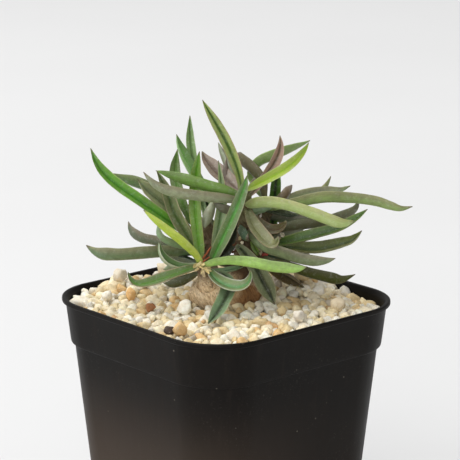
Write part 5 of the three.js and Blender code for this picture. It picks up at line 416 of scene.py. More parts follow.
    ('leaf_back_right_01', 'leaf_green', ('84a356', '5d793b', '91af60', '9fb471'), ((13.15, -3, 97.64, 0.8, -0.29, 0.53, -0.8), (12.95, -2.15, 98.14, 0.72, -0.29, 0.53, -0.8), (12.69, 0.35, 100, 1.33, -0.39, 0.54, -0.74), (13.12, 2.72, 101.65, 1.58, -0.44, 0.63, -0.64), (13.62, 4.59, 103.65, 1.81, -0.47, 0.78, -0.4), (14.78, 5.34, 105.91, 2.03, -0.34, 0.89, 0.3), (16.68, 4.79, 107.67, 2.18, -0.08, 0.76, 0.64), (18.95, 3.9, 108.63, 2.24, -0.02, 0.71, 0.7), (21.38, 3.33, 109.3, 2.21, -0.03, 0.7, 0.72), (23.87, 2.99, 109.78, 2.04, -0.05, 0.69, 0.72), (26.36, 2.78, 110.15, 1.69, -0.05, 0.69, 0.72), (28.83, 2.54, 110.57, 1.24, -0.05, 0.7, 0.72), (31.24, 2.22, 111.06, 0.72, -0.06, 0.71, 0.7), (33.6, 1.82, 111.69, 0.18, -0.06, 0.72, 0.69))),
    ('leaf_back_right_02', 'leaf_brown', ('5a5930', '404121', '5d5937', '675d3b'), ((12.93, -3.42, 97.71, 0.8, 0.58, 0.02, 0.81), (12.24, -3.6, 98.35, 0.71, 0.58, 0.02, 0.81), (11.27, -3.73, 99.78, 1.28, 0.94, -0.34, -0.03), (11.47, -3.24, 101.52, 1.75, 0.95, -0.32, 0.04), (11.42, -2.73, 103.18, 2.22, 0.94, -0.27, 0.19), (11.2, -2.02, 104.7, 2.35, 0.93, -0.23, 0.3), (10.93, -1.03, 106, 2.35, 0.9, -0.19, 0.4), (10.76, 0.27, 106.97, 2.35, 0.88, -0.21, 0.43), (10.8, 1.73, 107.64, 2.35, 0.85, -0.23, 0.48), (10.95, 3.26, 108.09, 2.35, 0.83, -0.24, 0.5), (11.17, 4.78, 108.46, 2.35, 0.82, -0.24, 0.52), (11.37, 6.29, 108.81, 2.18, 0.83, -0.22, 0.52), (11.43, 7.75, 109.32, 1.35, 0.86, -0.19, 0.48), (11.3, 9.1, 110.04, 0.22, 0.86, -0.16, 0.49))),
    ('leaf_back_right_03', 'leaf_brown', ('766647', '51442d', '7b674b', '8c7964'), ((13.18, -3.73, 97.06, 0.8, -0.09, 0.96, -0.12), (13.28, -5.06, 96.81, 0.83, -0.09, 0.96, -0.12), (14.61, -5.26, 97.68, 1.15, 0.49, 0.83, 0.29), (14.98, -6.26, 98.72, 1.33, 0.59, 0.59, 0.56), (15.07, -7.31, 99.7, 1.38, 0.56, 0.65, 0.52), (15.87, -7.6, 100.58, 1.34, -0.27, 0.9, -0.34), (17.03, -6.9, 100.78, 1.26, -0.51, 0.75, -0.42), (18.1, -6.08, 100.79, 1.18, -0.57, 0.7, -0.43), (19.13, -5.23, 100.74, 1.08, -0.59, 0.67, -0.44), (20.13, -4.38, 100.67, 0.95, -0.6, 0.65, -0.46), (21.11, -3.52, 100.59, 0.81, -0.6, 0.64, -0.48), (22.09, -2.67, 100.52, 0.64, -0.59, 0.64, -0.49), (23.06, -1.84, 100.47, 0.46, -0.57, 0.66, -0.49), (24.04, -1.03, 100.46, 0.25, -0.55, 0.69, -0.48))),
    ('leaf_back_right_04', 'leaf_brown', ('807f51', '606037', '93a965', '8a855a'), ((12.51, -3.61, 95.44, 0.8, 0.3, 0.42, 0.86), (12.06, -5.96, 96.47, 0.85, 0.3, 0.42, 0.86), (14.09, -9.18, 97.78, 1.72, 0.3, 0.56, 0.78), (16.33, -11.84, 98.89, 2.14, 0.3, 0.56, 0.77), (18.44, -14.47, 99.81, 2.35, 0.35, 0.51, 0.78), (20.51, -17.1, 100.44, 2.35, 0.41, 0.46, 0.79), (22.58, -19.7, 100.72, 2.35, 0.46, 0.41, 0.79), (24.6, -22.29, 100.76, 2.34, 0.5, 0.37, 0.78), (26.59, -24.84, 100.61, 2.17, 0.53, 0.34, 0.78), (28.54, -27.36, 100.33, 2.05, 0.55, 0.32, 0.77), (30.45, -29.84, 99.81, 1.95, 0.62, 0.25, 0.75), (32.31, -32.23, 98.98, 1.72, 0.64, 0.23, 0.74), (34.19, -34.59, 98.25, 1.08, 0.49, 0.38, 0.78), (36.11, -36.93, 98.87, 0.17, 0.34, 0.53, 0.77))),
    ('leaf_back_right_05', 'leaf_dark', ('95a675', '6f8252', '9aab7b', 'b5ae8d'), ((13.55, -3.57, 97.43, 0.94, -0.11, 0.67, 0.73), (14.6, -4.33, 97.41, 1.17, -0.11, 0.67, 0.73), (17.45, -3.91, 97.5, 1.54, -0.13, 0.67, 0.73), (20, -3.63, 97.63, 1.84, -0.08, 0.68, 0.73), (22.38, -4.01, 98.1, 2.07, 0.02, 0.67, 0.74), (24.62, -4.75, 98.57, 2.22, 0.06, 0.62, 0.78), (26.94, -5.04, 98.67, 2.29, 0.03, 0.6, 0.8), (29.26, -4.99, 98.54, 2.28, 0.05, 0.56, 0.83), (31.52, -4.84, 98.27, 2.23, 0.08, 0.52, 0.85), (33.76, -4.78, 97.98, 2.09, 0.1, 0.53, 0.84), (35.98, -4.88, 97.71, 1.8, 0.14, 0.51, 0.85), (38.18, -5.12, 97.55, 1.37, 0.07, 0.59, 0.8), (40.32, -5.48, 97.83, 0.81, -0.03, 0.69, 0.72), (42.41, -5.89, 98.33, 0.19, -0.02, 0.69, 0.73))),
    ('leaf_back_right_06', 'leaf_dark', ('99a370', '6d754b', 'a1ac77', 'ada679'), ((13.23, -2.55, 95.15, 0.8, -0.05, 0.6, 0.8), (18.01, 0.74, 95.1, 0.68, -0.05, 0.6, 0.8), (20.37, 0.58, 95.07, 1.14, 0.21, 0.54, 0.82), (22.27, -0.46, 95.21, 1.38, 0.19, 0.55, 0.82), (24.28, -0.93, 95.26, 1.56, 0.06, 0.6, 0.8), (26.29, -1.15, 95.33, 1.68, 0.03, 0.62, 0.78), (28.24, -1.43, 95.5, 1.77, 0, 0.66, 0.75), (30.16, -1.61, 95.8, 1.8, -0.1, 0.71, 0.7), (32.05, -1.54, 96.15, 1.76, -0.2, 0.75, 0.63), (33.88, -1.33, 96.59, 1.64, -0.26, 0.79, 0.56), (35.65, -1.06, 97.18, 1.43, -0.32, 0.83, 0.46), (37.3, -0.79, 98.01, 1.12, -0.36, 0.87, 0.35), (38.69, -0.58, 99.2, 0.68, -0.38, 0.89, 0.24), (39.94, -0.4, 100.54, 0.19, -0.38, 0.89, 0.25))),
    ('leaf_back_right_07', 'leaf_green', ('688250', '44602e', '73865c', '8a8468'), ((12.74, -2.15, 94.48, 0.8, 0.91, -0.35, -0.23), (13.39, -0.76, 94.53, 0.64, 0.91, -0.35, -0.23), (14.15, 1.46, 93.4, 0.97, 0.93, -0.36, -0.05), (14.87, 3.42, 92.37, 1.18, 0.93, -0.36, -0.03), (15.57, 5.27, 91.34, 1.36, 0.94, -0.34, 0.04), (16.26, 7.04, 90.3, 1.5, 0.94, -0.33, 0.08), (16.97, 8.74, 89.24, 1.62, 0.94, -0.31, 0.18), (17.76, 10.35, 88.15, 1.7, 0.91, -0.26, 0.33), (18.66, 11.86, 87.06, 1.79, 0.87, -0.2, 0.46), (19.59, 13.28, 85.93, 1.79, 0.85, -0.13, 0.51), (20.49, 14.63, 84.73, 1.6, 0.85, -0.07, 0.53), (21.36, 15.9, 83.45, 1.18, 0.84, -0.01, 0.55), (22.23, 17.12, 82.14, 0.66, 0.84, 0, 0.55), (23.09, 18.33, 80.84, 0.16, 0.84, -0.02, 0.54))),
    ('leaf_back_left_11', 'leaf_green', ('688250', '44602e', '73865c', '8a8468'), ((0.03, 8.14, 91.98, 0.8, -0.29, 0.96, 0.06), (1.52, 8.72, 91.97, 0.55, -0.29, 0.96, 0.06), (3.37, 9.8, 91.46, 0.89, 0.76, -0.07, 0.65), (4.46, 11.22, 90.33, 1.11, 0.76, -0.07, 0.65), (5.47, 12.58, 89.24, 1.3, 0.79, -0.08, 0.6), (6.41, 13.92, 88.14, 1.45, 0.82, -0.1, 0.56), (7.29, 15.24, 87.04, 1.58, 0.84, -0.1, 0.53), (8.11, 16.53, 85.92, 1.67, 0.87, -0.1, 0.49), (8.84, 17.81, 84.76, 1.71, 0.9, -0.09, 0.43), (9.5, 19.06, 83.56, 1.71, 0.91, -0.08, 0.41), (10.15, 20.3, 82.38, 1.56, 0.9, -0.08, 0.42), (10.81, 21.53, 81.21, 1.19, 0.9, -0.08, 0.42), (11.46, 22.75, 80.05, 0.68, 0.9, -0.08, 0.42), (12.11, 23.96, 78.9, 0.16, 0.9, -0.08, 0.42))),
    ('leaf_back_right_08', 'leaf_dark', ('606e48', '414e2c', '6c7454', '847a60'), ((12.96, -2.4, 93.95, 0.8, 0.2, 0.75, 0.63), (16.48, -0.45, 93.19, 0.55, 0.2, 0.75, 0.63), (18.4, -0.49, 92.03, 0.91, 0.5, 0.74, 0.45), (20.06, -0.92, 90.95, 1.19, 0.42, 0.75, 0.52), (21.66, -0.86, 89.88, 1.38, 0.34, 0.7, 0.63), (23.19, -0.57, 88.81, 1.52, 0.33, 0.66, 0.67), (24.64, -0.2, 87.73, 1.63, 0.37, 0.62, 0.7), (26.02, 0.21, 86.61, 1.68, 0.42, 0.57, 0.71), (27.32, 0.66, 85.46, 1.72, 0.48, 0.51, 0.71), (28.53, 1.14, 84.25, 1.68, 0.54, 0.46, 0.7), (29.67, 1.65, 83.01, 1.48, 0.6, 0.41, 0.69), (30.71, 2.19, 81.73, 1.1, 0.66, 0.36, 0.66), (31.69, 2.74, 80.42, 0.63, 0.68, 0.35, 0.65), (32.68, 3.29, 79.13, 0.16, 0.66, 0.36, 0.66))),
    ('leaf_back_left_12', 'leaf_brown', ('6c7458', '4c5638', '787a62', '8a7c68'), ((-0.37, 8.58, 88.79, 0.8, 0.95, -0.32, 0.01), (0.13, 10.36, 89.03, 0.62, 0.95, -0.32, 0.01), (0.5, 12.22, 87.94, 0.9, 0.97, -0.18, -0.17), (0.63, 13.89, 86.94, 1.12, 0.97, -0.18, -0.17), (0.75, 15.48, 85.96, 1.3, 0.98, -0.16, -0.15), (0.86, 17.02, 84.98, 1.43, 0.98, -0.15, -0.14), (0.96, 18.51, 84, 1.54, 0.98, -0.14, -0.12), (1.06, 19.94, 82.99, 1.6, 0.99, -0.13, -0.06), (1.18, 21.31, 81.92, 1.6, 1, -0.1, -0.01), (1.3, 22.6, 80.8, 1.54, 1, -0.07, 0.04), (1.47, 23.84, 79.65, 1.38, 0.99, -0.06, 0.11), (1.71, 25.01, 78.47, 1.05, 0.98, -0.03, 0.2), (2.01, 26.12, 77.26, 0.61, 0.97, -0.02, 0.23), (2.3, 27.22, 76.05, 0.16, 0.98, -0.02, 0.21))),
    ('leaf_centre_15', 'leaf_green', ('6a8a4c', '46662c', '7a8f5c', '8c8a66'), ((3.25, -4.29, 100.51, 0.8, 0.01, 0.03, -1), (3.98, -3.08, 100.54, 0.46, 0.01, 0.03, -1), (5.02, -1.1, 100.6, 0.85, 0.33, -0.11, -0.94), (5.79, 0.74, 100.67, 1.06, 0.34, -0.11, -0.94), (6.54, 2.51, 100.69, 1.23, 0.38, -0.17, -0.91), (7.27, 4.23, 100.65, 1.37, 0.41, -0.2, -0.89), (7.98, 5.91, 100.58, 1.49, 0.44, -0.23, -0.87), (8.68, 7.57, 100.47, 1.57, 0.48, -0.27, -0.83), (9.36, 9.2, 100.3, 1.61, 0.54, -0.32, -0.78), (10.03, 10.81, 100.08, 1.63, 0.59, -0.36, -0.72), (10.67, 12.4, 99.81, 1.55, 0.65, -0.38, -0.65), (11.28, 13.98, 99.48, 1.26, 0.75, -0.4, -0.52), (11.83, 15.54, 99.05, 0.73, 0.8, -0.4, -0.44), (12.36, 17.09, 98.61, 0.16, 0.78, -0.4, -0.47))),
    ('leaf_centre_16', 'leaf_dark', ('7a8050', '545c34', '8a9464', '8f8a64'), ((3.75, -4.57, 98.59, 0.8, -0.33, 0.86, 0.39), (5.24, -3.82, 98.79, 0.58, -0.33, 0.86, 0.39), (7.54, -2.65, 98.23, 0.92, -0.34, 0.85, 0.4), (9.58, -1.6, 97.73, 1.11, -0.33, 0.85, 0.42), (11.53, -0.58, 97.21, 1.26, -0.31, 0.83, 0.46), (13.41, 0.42, 96.68, 1.38, -0.3, 0.82, 0.49), (15.24, 1.41, 96.14, 1.48, -0.28, 0.82, 0.51), (17.06, 2.33, 95.58, 1.56, -0.23, 0.83, 0.52), (18.91, 3.11, 95.01, 1.62, -0.15, 0.84, 0.51), (20.79, 3.73, 94.41, 1.67, -0.09, 0.85, 0.52), (22.65, 4.29, 93.77, 1.61, -0.07, 0.83, 0.55), (24.47, 4.88, 93.09, 1.29, -0.03, 0.8, 0.6), (26.25, 5.46, 92.36, 0.73, 0, 0.79, 0.61), (28.01, 6.06, 91.63, 0.16, -0.02, 0.79, 0.61))),
    ('leaf_right_08', 'leaf_dark', ('56683a', '34441c', '60683f', '706a4c'), ((10.01, -5.1, 84.94, 0.8, -0.3, 0.93, 0.22), (11.29, -4.64, 84.64, 0.47, -0.3, 0.93, 0.22), (13.47, -4.23, 84.16, 0.91, -0.04, 0.92, 0.38), (15.42, -3.96, 83.67, 1.11, -0.02, 0.92, 0.4), (17.28, -3.71, 83.16, 1.28, 0.01, 0.9, 0.44), (19.08, -3.48, 82.59, 1.42, 0.04, 0.89, 0.46), (20.82, -3.26, 81.99, 1.53, 0.05, 0.88, 0.48), (22.53, -3.02, 81.38, 1.6, 0.05, 0.87, 0.49), (24.2, -2.75, 80.77, 1.64, 0.04, 0.86, 0.51), (25.84, -2.46, 80.14, 1.63, 0.05, 0.85, 0.52), (27.47, -2.2, 79.5, 1.49, 0.08, 0.85, 0.52), (29.07, -1.99, 78.84, 1.15, 0.12, 0.84, 0.52), (30.66, -1.81, 78.16, 0.66, 0.13, 0.84, 0.52), (32.24, -1.64, 77.49, 0.16, 0.13, 0.84, 0.52))),
    ('leaf_front_12', 'leaf_green', ('6a8a5a', '446a34', '80916c', '94907a'), ((-9.06, -0.18, 82.55, 0.8, 0.64, -0.4, -0.66), (-8.69, 1.27, 82.94, 0.6, 0.64, -0.4, -0.66), (-8.1, 3.29, 82.41, 0.88, 0.77, -0.35, -0.54), (-7.64, 5.09, 81.92, 1.08, 0.77, -0.34, -0.54), (-7.22, 6.83, 81.43, 1.24, 0.79, -0.33, -0.52), (-6.86, 8.53, 80.95, 1.38, 0.79, -0.31, -0.52), (-6.53, 10.19, 80.47, 1.5, 0.81, -0.3, -0.51), (-6.24, 11.83, 79.97, 1.57, 0.83, -0.29, -0.48), (-5.99, 13.44, 79.44, 1.61, 0.85, -0.27, -0.45), (-5.78, 15.03, 78.89, 1.62, 0.86, -0.26, -0.43), (-5.59, 16.59, 78.31, 1.5, 0.88, -0.25, -0.4), (-5.43, 18.13, 77.69, 1.17, 0.9, -0.24, -0.36), (-5.29, 19.64, 77.04, 0.67, 0.91, -0.23, -0.34), (-5.16, 21.13, 76.39, 0.16, 0.91, -0.23, -0.35))),
    ('young_i', 'leaf_grey', ('87aa78', '618b61', '95ba93', 'a0b795'), ((-7.84, -1.49, 80.94, 0.8, 0, -0.3, 0.95), (-7.33, -2.22, 81.13, 0.86, 0, -0.3, 0.95), (-6.32, -2.69, 80.96, 1.02, 0.01, -0.32, 0.95), (-5.39, -3.08, 80.86, 1.13, -0.04, -0.26, 0.97), (-4.47, -3.39, 80.86, 1.18, -0.09, -0.2, 0.98), (-3.56, -3.66, 80.9, 1.2, -0.11, -0.18, 0.98), (-2.67, -3.9, 80.96, 1.19, -0.11, -0.18, 0.98), (-1.78, -4.1, 81.01, 1.15, -0.09, -0.18, 0.98), (-0.9, -4.27, 81.06, 1.08, -0.09, -0.17, 0.98), (-0.03, -4.41, 81.13, 0.97, -0.1, -0.15, 0.98), (0.84, -4.56, 81.21, 0.82, -0.13, -0.13, 0.98), (1.69, -4.69, 81.32, 0.62, -0.15, -0.12, 0.98), (2.54, -4.82, 81.44, 0.39, -0.16, -0.11, 0.98), (3.38, -4.95, 81.56, 0.16, -0.15, -0.12, 0.98))),
    ('young_T9', 'leaf_brown', ('6f5e51', '55463a', '6c5c51', '736558'), ((2.81, -4.25, 101.8, 0.8, 0.14, 0.74, -0.66), (3.11, 1.93, 102.97, 0.62, 0.14, 0.74, -0.66), (3.3, 2.47, 103.59, 0.7, 0.14, 0.73, -0.67), (3.47, 2.95, 104.15, 0.77, 0.14, 0.73, -0.67), (3.64, 3.41, 104.69, 0.83, 0.14, 0.74, -0.65), (3.81, 3.83, 105.23, 0.87, 0.13, 0.78, -0.62), (3.99, 4.21, 105.77, 0.89, 0.12, 0.81, -0.57), (4.17, 4.55, 106.33, 0.91, 0.12, 0.85, -0.52), (4.37, 4.85, 106.9, 0.88, 0.12, 0.88, -0.46), (4.58, 5.11, 107.48, 0.8, 0.12, 0.9, -0.42), (4.8, 5.32, 108.06, 0.66, 0.13, 0.93, -0.36), (5.02, 5.5, 108.64, 0.48, 0.13, 0.93, -0.33), (5.24, 5.68, 109.22, 0.3, 0.13, 0.93, -0.33), (5.46, 5.85, 109.8, 0.13, 0.13, 0.93, -0.35))),
    ('young_P1', 'leaf_green', ('799739', '517724', '749a3a', '859a4b'), ((8.34, -5.41, 84.53, 0.8, -0.48, -0.87, -0.11), (5.99, -6.84, 84.74, 0.56, -0.48, -0.87, -0.11), (5.68, -6.72, 85.26, 0.64, -0.49, -0.87, -0.09), (5.4, -6.62, 85.72, 0.71, -0.48, -0.87, -0.1), (5.15, -6.54, 86.17, 0.77, -0.48, -0.86, -0.15), (4.9, -6.5, 86.62, 0.78, -0.48, -0.85, -0.22), (4.67, -6.5, 87.07, 0.76, -0.48, -0.83, -0.28), (4.46, -6.53, 87.51, 0.71, -0.49, -0.82, -0.3), (4.26, -6.57, 87.96, 0.64, -0.52, -0.81, -0.28), (4.08, -6.61, 88.4, 0.56, -0.54, -0.8, -0.27), (3.92, -6.65, 88.85, 0.46, -0.56, -0.78, -0.26), (3.78, -6.69, 89.3, 0.34, -0.57, -0.78, -0.26), (3.63, -6.73, 89.74, 0.22, -0.57, -0.78, -0.26), (3.49, -6.77, 90.19, 0.11, -0.56, -0.78, -0.26))),
    ('young_Q2', 'leaf_grey', ('515b3e', '2d3c2d', '3e503e', '455441'), ((12.45, -3.63, 95.31, 0.8, -0.06, -0.33, 0.94), (11.71, -6.27, 95.91, 0.87, -0.06, -0.33, 0.94), (12.31, -6.81, 95.77, 1.02, -0.07, -0.32, 0.94), (12.84, -7.29, 95.64, 1.15, -0.06, -0.33, 0.94), (13.36, -7.73, 95.51, 1.24, -0.04, -0.35, 0.94), (13.89, -8.13, 95.37, 1.28, 0, -0.38, 0.92), (14.43, -8.49, 95.21, 1.3, 0.03, -0.4, 0.92), (14.97, -8.82, 95.05, 1.27, 0.02, -0.39, 0.92), (15.52, -9.14, 94.92, 1.2, -0.01, -0.36, 0.93), (16.06, -9.46, 94.82, 1.07, -0.04, -0.32, 0.95), (16.61, -9.77, 94.75, 0.88, -0.07, -0.3, 0.95), (17.16, -10.07, 94.7, 0.65, -0.08, -0.29, 0.95), (17.71, -10.36, 94.65, 0.42, -0.08, -0.29, 0.95), (18.25, -10.66, 94.6, 0.2, -0.07, -0.3, 0.95))),
    # young_Z1 to young_Z9 fill gaps inside the plant; their colours are darkened as painted shade of the shaded
    # interior
    ('young_Z1', 'leaf_dark', ('3f4a30', '2a3018', '3c4630', '4a4636'), ((0.61, 7.23, 79.91, 0.8, -0.55, -0.57, 0.61), (2.55, 8.4, 79.81, 0.9, -0.55, -0.57, 0.61), (3.97, 7.96, 80.63, 1.39, -0.55, -0.57, 0.61), (5.13, 7.59, 81.51, 1.71, -0.66, -0.51, 0.55), (6.14, 7.28, 82.5, 1.87, -0.71, -0.49, 0.51), (7.01, 7.01, 83.58, 1.95, -0.77, -0.46, 0.44), (7.69, 6.76, 84.75, 1.97, -0.84, -0.44, 0.31), (8.2, 6.55, 85.99, 1.93, -0.86, -0.44, 0.24), (8.63, 6.37, 87.25, 1.82, -0.86, -0.44, 0.25), (9.04, 6.26, 88.5, 1.66, -0.87, -0.45, 0.23), (9.39, 6.19, 89.77, 1.44, -0.87, -0.45, 0.21), (9.71, 6.18, 91.03, 1.13, -0.87, -0.45, 0.21), (9.96, 6.26, 92.29, 0.68, -0.87, -0.46, 0.2), (10.19, 6.37, 93.55, 0.18, -0.87, -0.46, 0.2))),
    ('young_Z2', 'leaf_dark', ('34452c', '22301a', '3a4a32', '46503a'), ((0.54, 7.4, 81.18, 0.96, 0.28, -0.55, 0.79), (2.01, 8.21, 81.12, 1.2, 0.28, -0.55, 0.79), (3.12, 7.97, 80.51, 1.44, 0.31, -0.58, 0.76), (4.12, 7.75, 79.97, 1.65, 0.27, -0.54, 0.8), (5.1, 7.48, 79.55, 1.81, 0.15, -0.43, 0.89), (6.09, 7.13, 79.31, 1.88, 0.03, -0.33, 0.94), (7.05, 6.72, 79.23, 1.88, -0.09, -0.23, 0.97), (8.01, 6.32, 79.29, 1.8, -0.19, -0.15, 0.97), (8.93, 5.94, 79.49, 1.66, -0.3, -0.06, 0.95), (9.82, 5.58, 79.8, 1.46, -0.37, -0.01, 0.93), (10.69, 5.25, 80.17, 1.22, -0.42, 0.02, 0.91), (11.52, 4.96, 80.63, 0.91, -0.51, 0.08, 0.86), (12.31, 4.72, 81.16, 0.56, -0.55, 0.1, 0.83), (13.1, 4.48, 81.69, 0.2, -0.52, 0.09, 0.85))),
    ('young_Z3', 'leaf_grey', ('4f6a52', '3a5240', '4c6650', '5c6c5c'), ((-8.25, 0.14, 80.98, 1.03, 0.49, -0.32, 0.81), (-8, 1.69, 81.31, 1.29, 0.49, -0.32, 0.81), (-8.06, 2.79, 81.82, 1.51, 0.5, -0.35, 0.79), (-8.11, 3.78, 82.25, 1.7, 0.47, -0.3, 0.83), (-8.2, 4.77, 82.57, 1.82, 0.38, -0.19, 0.91), (-8.32, 5.75, 82.78, 1.89, 0.31, -0.12, 0.94), (-8.46, 6.73, 82.91, 1.92, 0.26, -0.06, 0.96), (-8.59, 7.69, 82.99, 1.89, 0.22, -0.02, 0.98), (-8.7, 8.65, 83, 1.82, 0.16, 0.03, 0.99), (-8.81, 9.59, 82.96, 1.71, 0.11, 0.08, 0.99), (-8.96, 10.51, 82.88, 1.5, 0.04, 0.13, 0.99), (-9.18, 11.41, 82.73, 1.15, -0.05, 0.19, 0.98), (-9.44, 12.28, 82.53, 0.7, -0.08, 0.21, 0.97), (-9.7, 13.14, 82.33, 0.25, -0.05, 0.19, 0.98))),
    ('young_Z4', 'leaf_grey', ('848f72', '5c6a4a', '8a9678', '948c7a'), ((10.79, -1.54, 87.1, 0.94, 0.13, 0.6, 0.79), (12.31, -1.47, 86.51, 1.18, 0.13, 0.6, 0.79), (13.65, -1.88, 86.6, 1.52, 0.13, 0.6, 0.79), (14.84, -2.28, 86.71, 1.75, 0.12, 0.61, 0.78), (15.94, -2.71, 86.89, 1.9, 0.12, 0.62, 0.78), (17.01, -3.15, 87.08, 1.99, 0.12, 0.62, 0.78), (18.06, -3.58, 87.26, 2, 0.12, 0.61, 0.78), (19.09, -4, 87.43, 1.96, 0.12, 0.62, 0.78), (20.11, -4.4, 87.61, 1.85, 0.1, 0.63, 0.77), (21.12, -4.79, 87.82, 1.64, 0.08, 0.65, 0.76), (22.12, -5.16, 88.06, 1.35, 0.05, 0.67, 0.74), (23.11, -5.48, 88.33, 1.02, -0.01, 0.71, 0.71), (24.09, -5.75, 88.68, 0.63, -0.07, 0.74, 0.67), (25.06, -5.99, 89.04, 0.23, -0.05, 0.73, 0.68))),
    ('young_Z5', 'leaf_grey', ('76806a', '565f48', '747e66', '8a7f70'), ((12.9, -2.29, 94.04, 1.09, 0.38, 0.34, 0.86), (13.47, -1.83, 93.94, 1.36, 0.38, 0.34, 0.86), (14.8, -2.13, 93.47, 1.7, 0.39, 0.34, 0.86), (15.98, -2.41, 93.05, 1.98, 0.38, 0.35, 0.86), (17.11, -2.73, 92.7, 2.15, 0.37, 0.37, 0.85), (18.21, -3.08, 92.38, 2.25, 0.36, 0.38, 0.85), (19.29, -3.43, 92.09, 2.29, 0.34, 0.4, 0.85), (20.37, -3.77, 91.86, 2.27, 0.29, 0.44, 0.85), (21.46, -4.06, 91.68, 2.21, 0.25, 0.48, 0.84), (22.54, -4.35, 91.56, 2.07, 0.21, 0.51, 0.83), (23.6, -4.69, 91.53, 1.81, 0.18, 0.56, 0.81), (24.62, -5.1, 91.63, 1.36, 0.14, 0.6, 0.79), (25.61, -5.55, 91.82, 0.79, 0.12, 0.62, 0.78), (26.58, -5.99, 92.01, 0.23, 0.13, 0.6, 0.79))),
    ('young_Z6', 'leaf_grey', ('66826c', '48644e', '688470', '74866f'), ((9.6, -4.42, 84.48, 1.04, 0.55, 0.03, 0.83), (9.98, -4.08, 84.51, 1.31, 0.55, 0.03, 0.83), (10.76, -4.51, 83.99, 1.61, 0.56, 0.01, 0.83), (11.46, -4.9, 83.53, 1.86, 0.54, 0.04, 0.84), (12.16, -5.28, 83.14, 2.04, 0.49, 0.09, 0.87), (12.86, -5.66, 82.82, 2.13, 0.45, 0.14, 0.88), (13.56, -6.04, 82.54, 2.14, 0.43, 0.16, 0.89), (14.24, -6.43, 82.28, 2.09, 0.42, 0.17, 0.89), (14.92, -6.82, 82.04, 2, 0.41, 0.18, 0.89), (15.6, -7.21, 81.83, 1.86, 0.39, 0.2, 0.9), (16.27, -7.6, 81.65, 1.62, 0.35, 0.24, 0.91), (16.96, -7.99, 81.52, 1.23, 0.29, 0.3, 0.91), (17.65, -8.36, 81.44, 0.71, 0.27, 0.32, 0.91), (18.33, -8.74, 81.36, 0.2, 0.29, 0.3, 0.91))),
    ('young_Z7', 'leaf_brown', ('5c5242', '423a2c', '62564a', '74665a'), ((3.56, -4.33, 98.65, 0.8, -0.31, 0.95, 0.08), (5.91, -1.85, 99.19, 0.95, -0.31, 0.95, 0.08), (6.61, -1.69, 100.06, 1.15, -0.31, 0.95, 0.07), (7.23, -1.55, 100.83, 1.32, -0.3, 0.95, 0.09), (7.87, -1.44, 101.55, 1.44, -0.29, 0.95, 0.14), (8.52, -1.36, 102.22, 1.53, -0.28, 0.94, 0.18), (9.18, -1.3, 102.85, 1.58, -0.26, 0.94, 0.21), (9.87, -1.26, 103.43, 1.58, -0.25, 0.93, 0.26), (10.59, -1.22, 103.95, 1.54, -0.24, 0.92, 0.3), (11.33, -1.2, 104.43, 1.44, -0.21, 0.92, 0.34), (12.07, -1.25, 104.9, 1.26, -0.15, 0.9, 0.4), (12.79, -1.39, 105.36, 0.96, -0.08, 0.88, 0.47), (13.49, -1.59, 105.8, 0.58, -0.05, 0.87, 0.5), (14.19, -1.79, 106.24, 0.2, -0.07, 0.88, 0.48))),
    ('young_Z8', 'leaf_dark', ('3c5034', '28381e', '405438', '4c5a44'), ((-0.04, 8.36, 90.15, 0.8, -0.57, -0.7, 0.43), (1.94, 10.26, 90.08, 0.85, -0.57, -0.7, 0.43), (2.35, 10.62, 91.21, 1.07, -0.58, -0.69, 0.43), (2.72, 10.93, 92.22, 1.27, -0.57, -0.7, 0.43), (3.12, 11.2, 93.17, 1.41, -0.56, -0.7, 0.44), (3.6, 11.41, 94.08, 1.49, -0.53, -0.71, 0.46), (4.11, 11.58, 94.94, 1.53, -0.52, -0.72, 0.45), (4.62, 11.74, 95.8, 1.54, -0.54, -0.72, 0.43), (5.07, 11.88, 96.67, 1.51, -0.57, -0.73, 0.39), (5.48, 12.01, 97.55, 1.43, -0.58, -0.73, 0.36), (5.84, 12.16, 98.44, 1.25, -0.59, -0.72, 0.36), (6.13, 12.37, 99.33, 0.94, -0.61, -0.71, 0.35), (6.37, 12.6, 100.23, 0.55, -0.61, -0.71, 0.34), (6.6, 12.83, 101.11, 0.17, -0.61, -0.71, 0.35))),
    ('young_Z9', 'leaf_brown', ('5a6648', '424c32', '5c664c', '6c6a56'), ((-0.3, 8.51, 91.94, 1.05, 0.73, -0.19, 0.65), (1.09, 11, 91.83, 1.31, 0.73, -0.19, 0.65), (0.5, 12.7, 93.04, 1.71, 0.74, -0.2, 0.64), (-0.06, 14.23, 94.09, 2.02, 0.71, -0.16, 0.68), (-0.72, 15.7, 95, 2.2, 0.67, -0.11, 0.73), (-1.44, 17.13, 95.83, 2.29, 0.65, -0.09, 0.75), (-2.19, 18.53, 96.6, 2.34, 0.64, -0.06, 0.77), (-2.96, 19.91, 97.31, 2.33, 0.61, -0.04, 0.79), (-3.8, 21.26, 97.96, 2.3, 0.58, 0, 0.82), (-4.68, 22.59, 98.55, 2.21, 0.56, 0.02, 0.83), (-5.54, 23.92, 99.09, 2.02, 0.55, 0.02, 0.83), (-6.34, 25.3, 99.58, 1.62, 0.54, 0.03, 0.84), (-7.09, 26.71, 99.98, 0.95, 0.52, 0.05, 0.85), (-7.84, 28.12, 100.36, 0.25, 0.53, 0.04, 0.85))),
)


# -------------------------------------------------------------------- camera
CAM_AT, CAM_LOOK = Vector((-0.38940, -0.44667, 0.24114)), Vector((0.63854, 0.72945, -0.24531))
camera = bpy.data.objects.new("camera", bpy.data.cameras.new("camera"))
scene.collection.objects.link(camera)
camera.location = CAM_AT
camera.rotation_euler = CAM_LOOK.to_track_quat("-Z", "Y").to_euler()
camera.data.sensor_width = 36.0
camera.data.lens = 171.67
camera.data.clip_start = 0.02
camera.data.clip_end = 30.0
scene.camera = camera


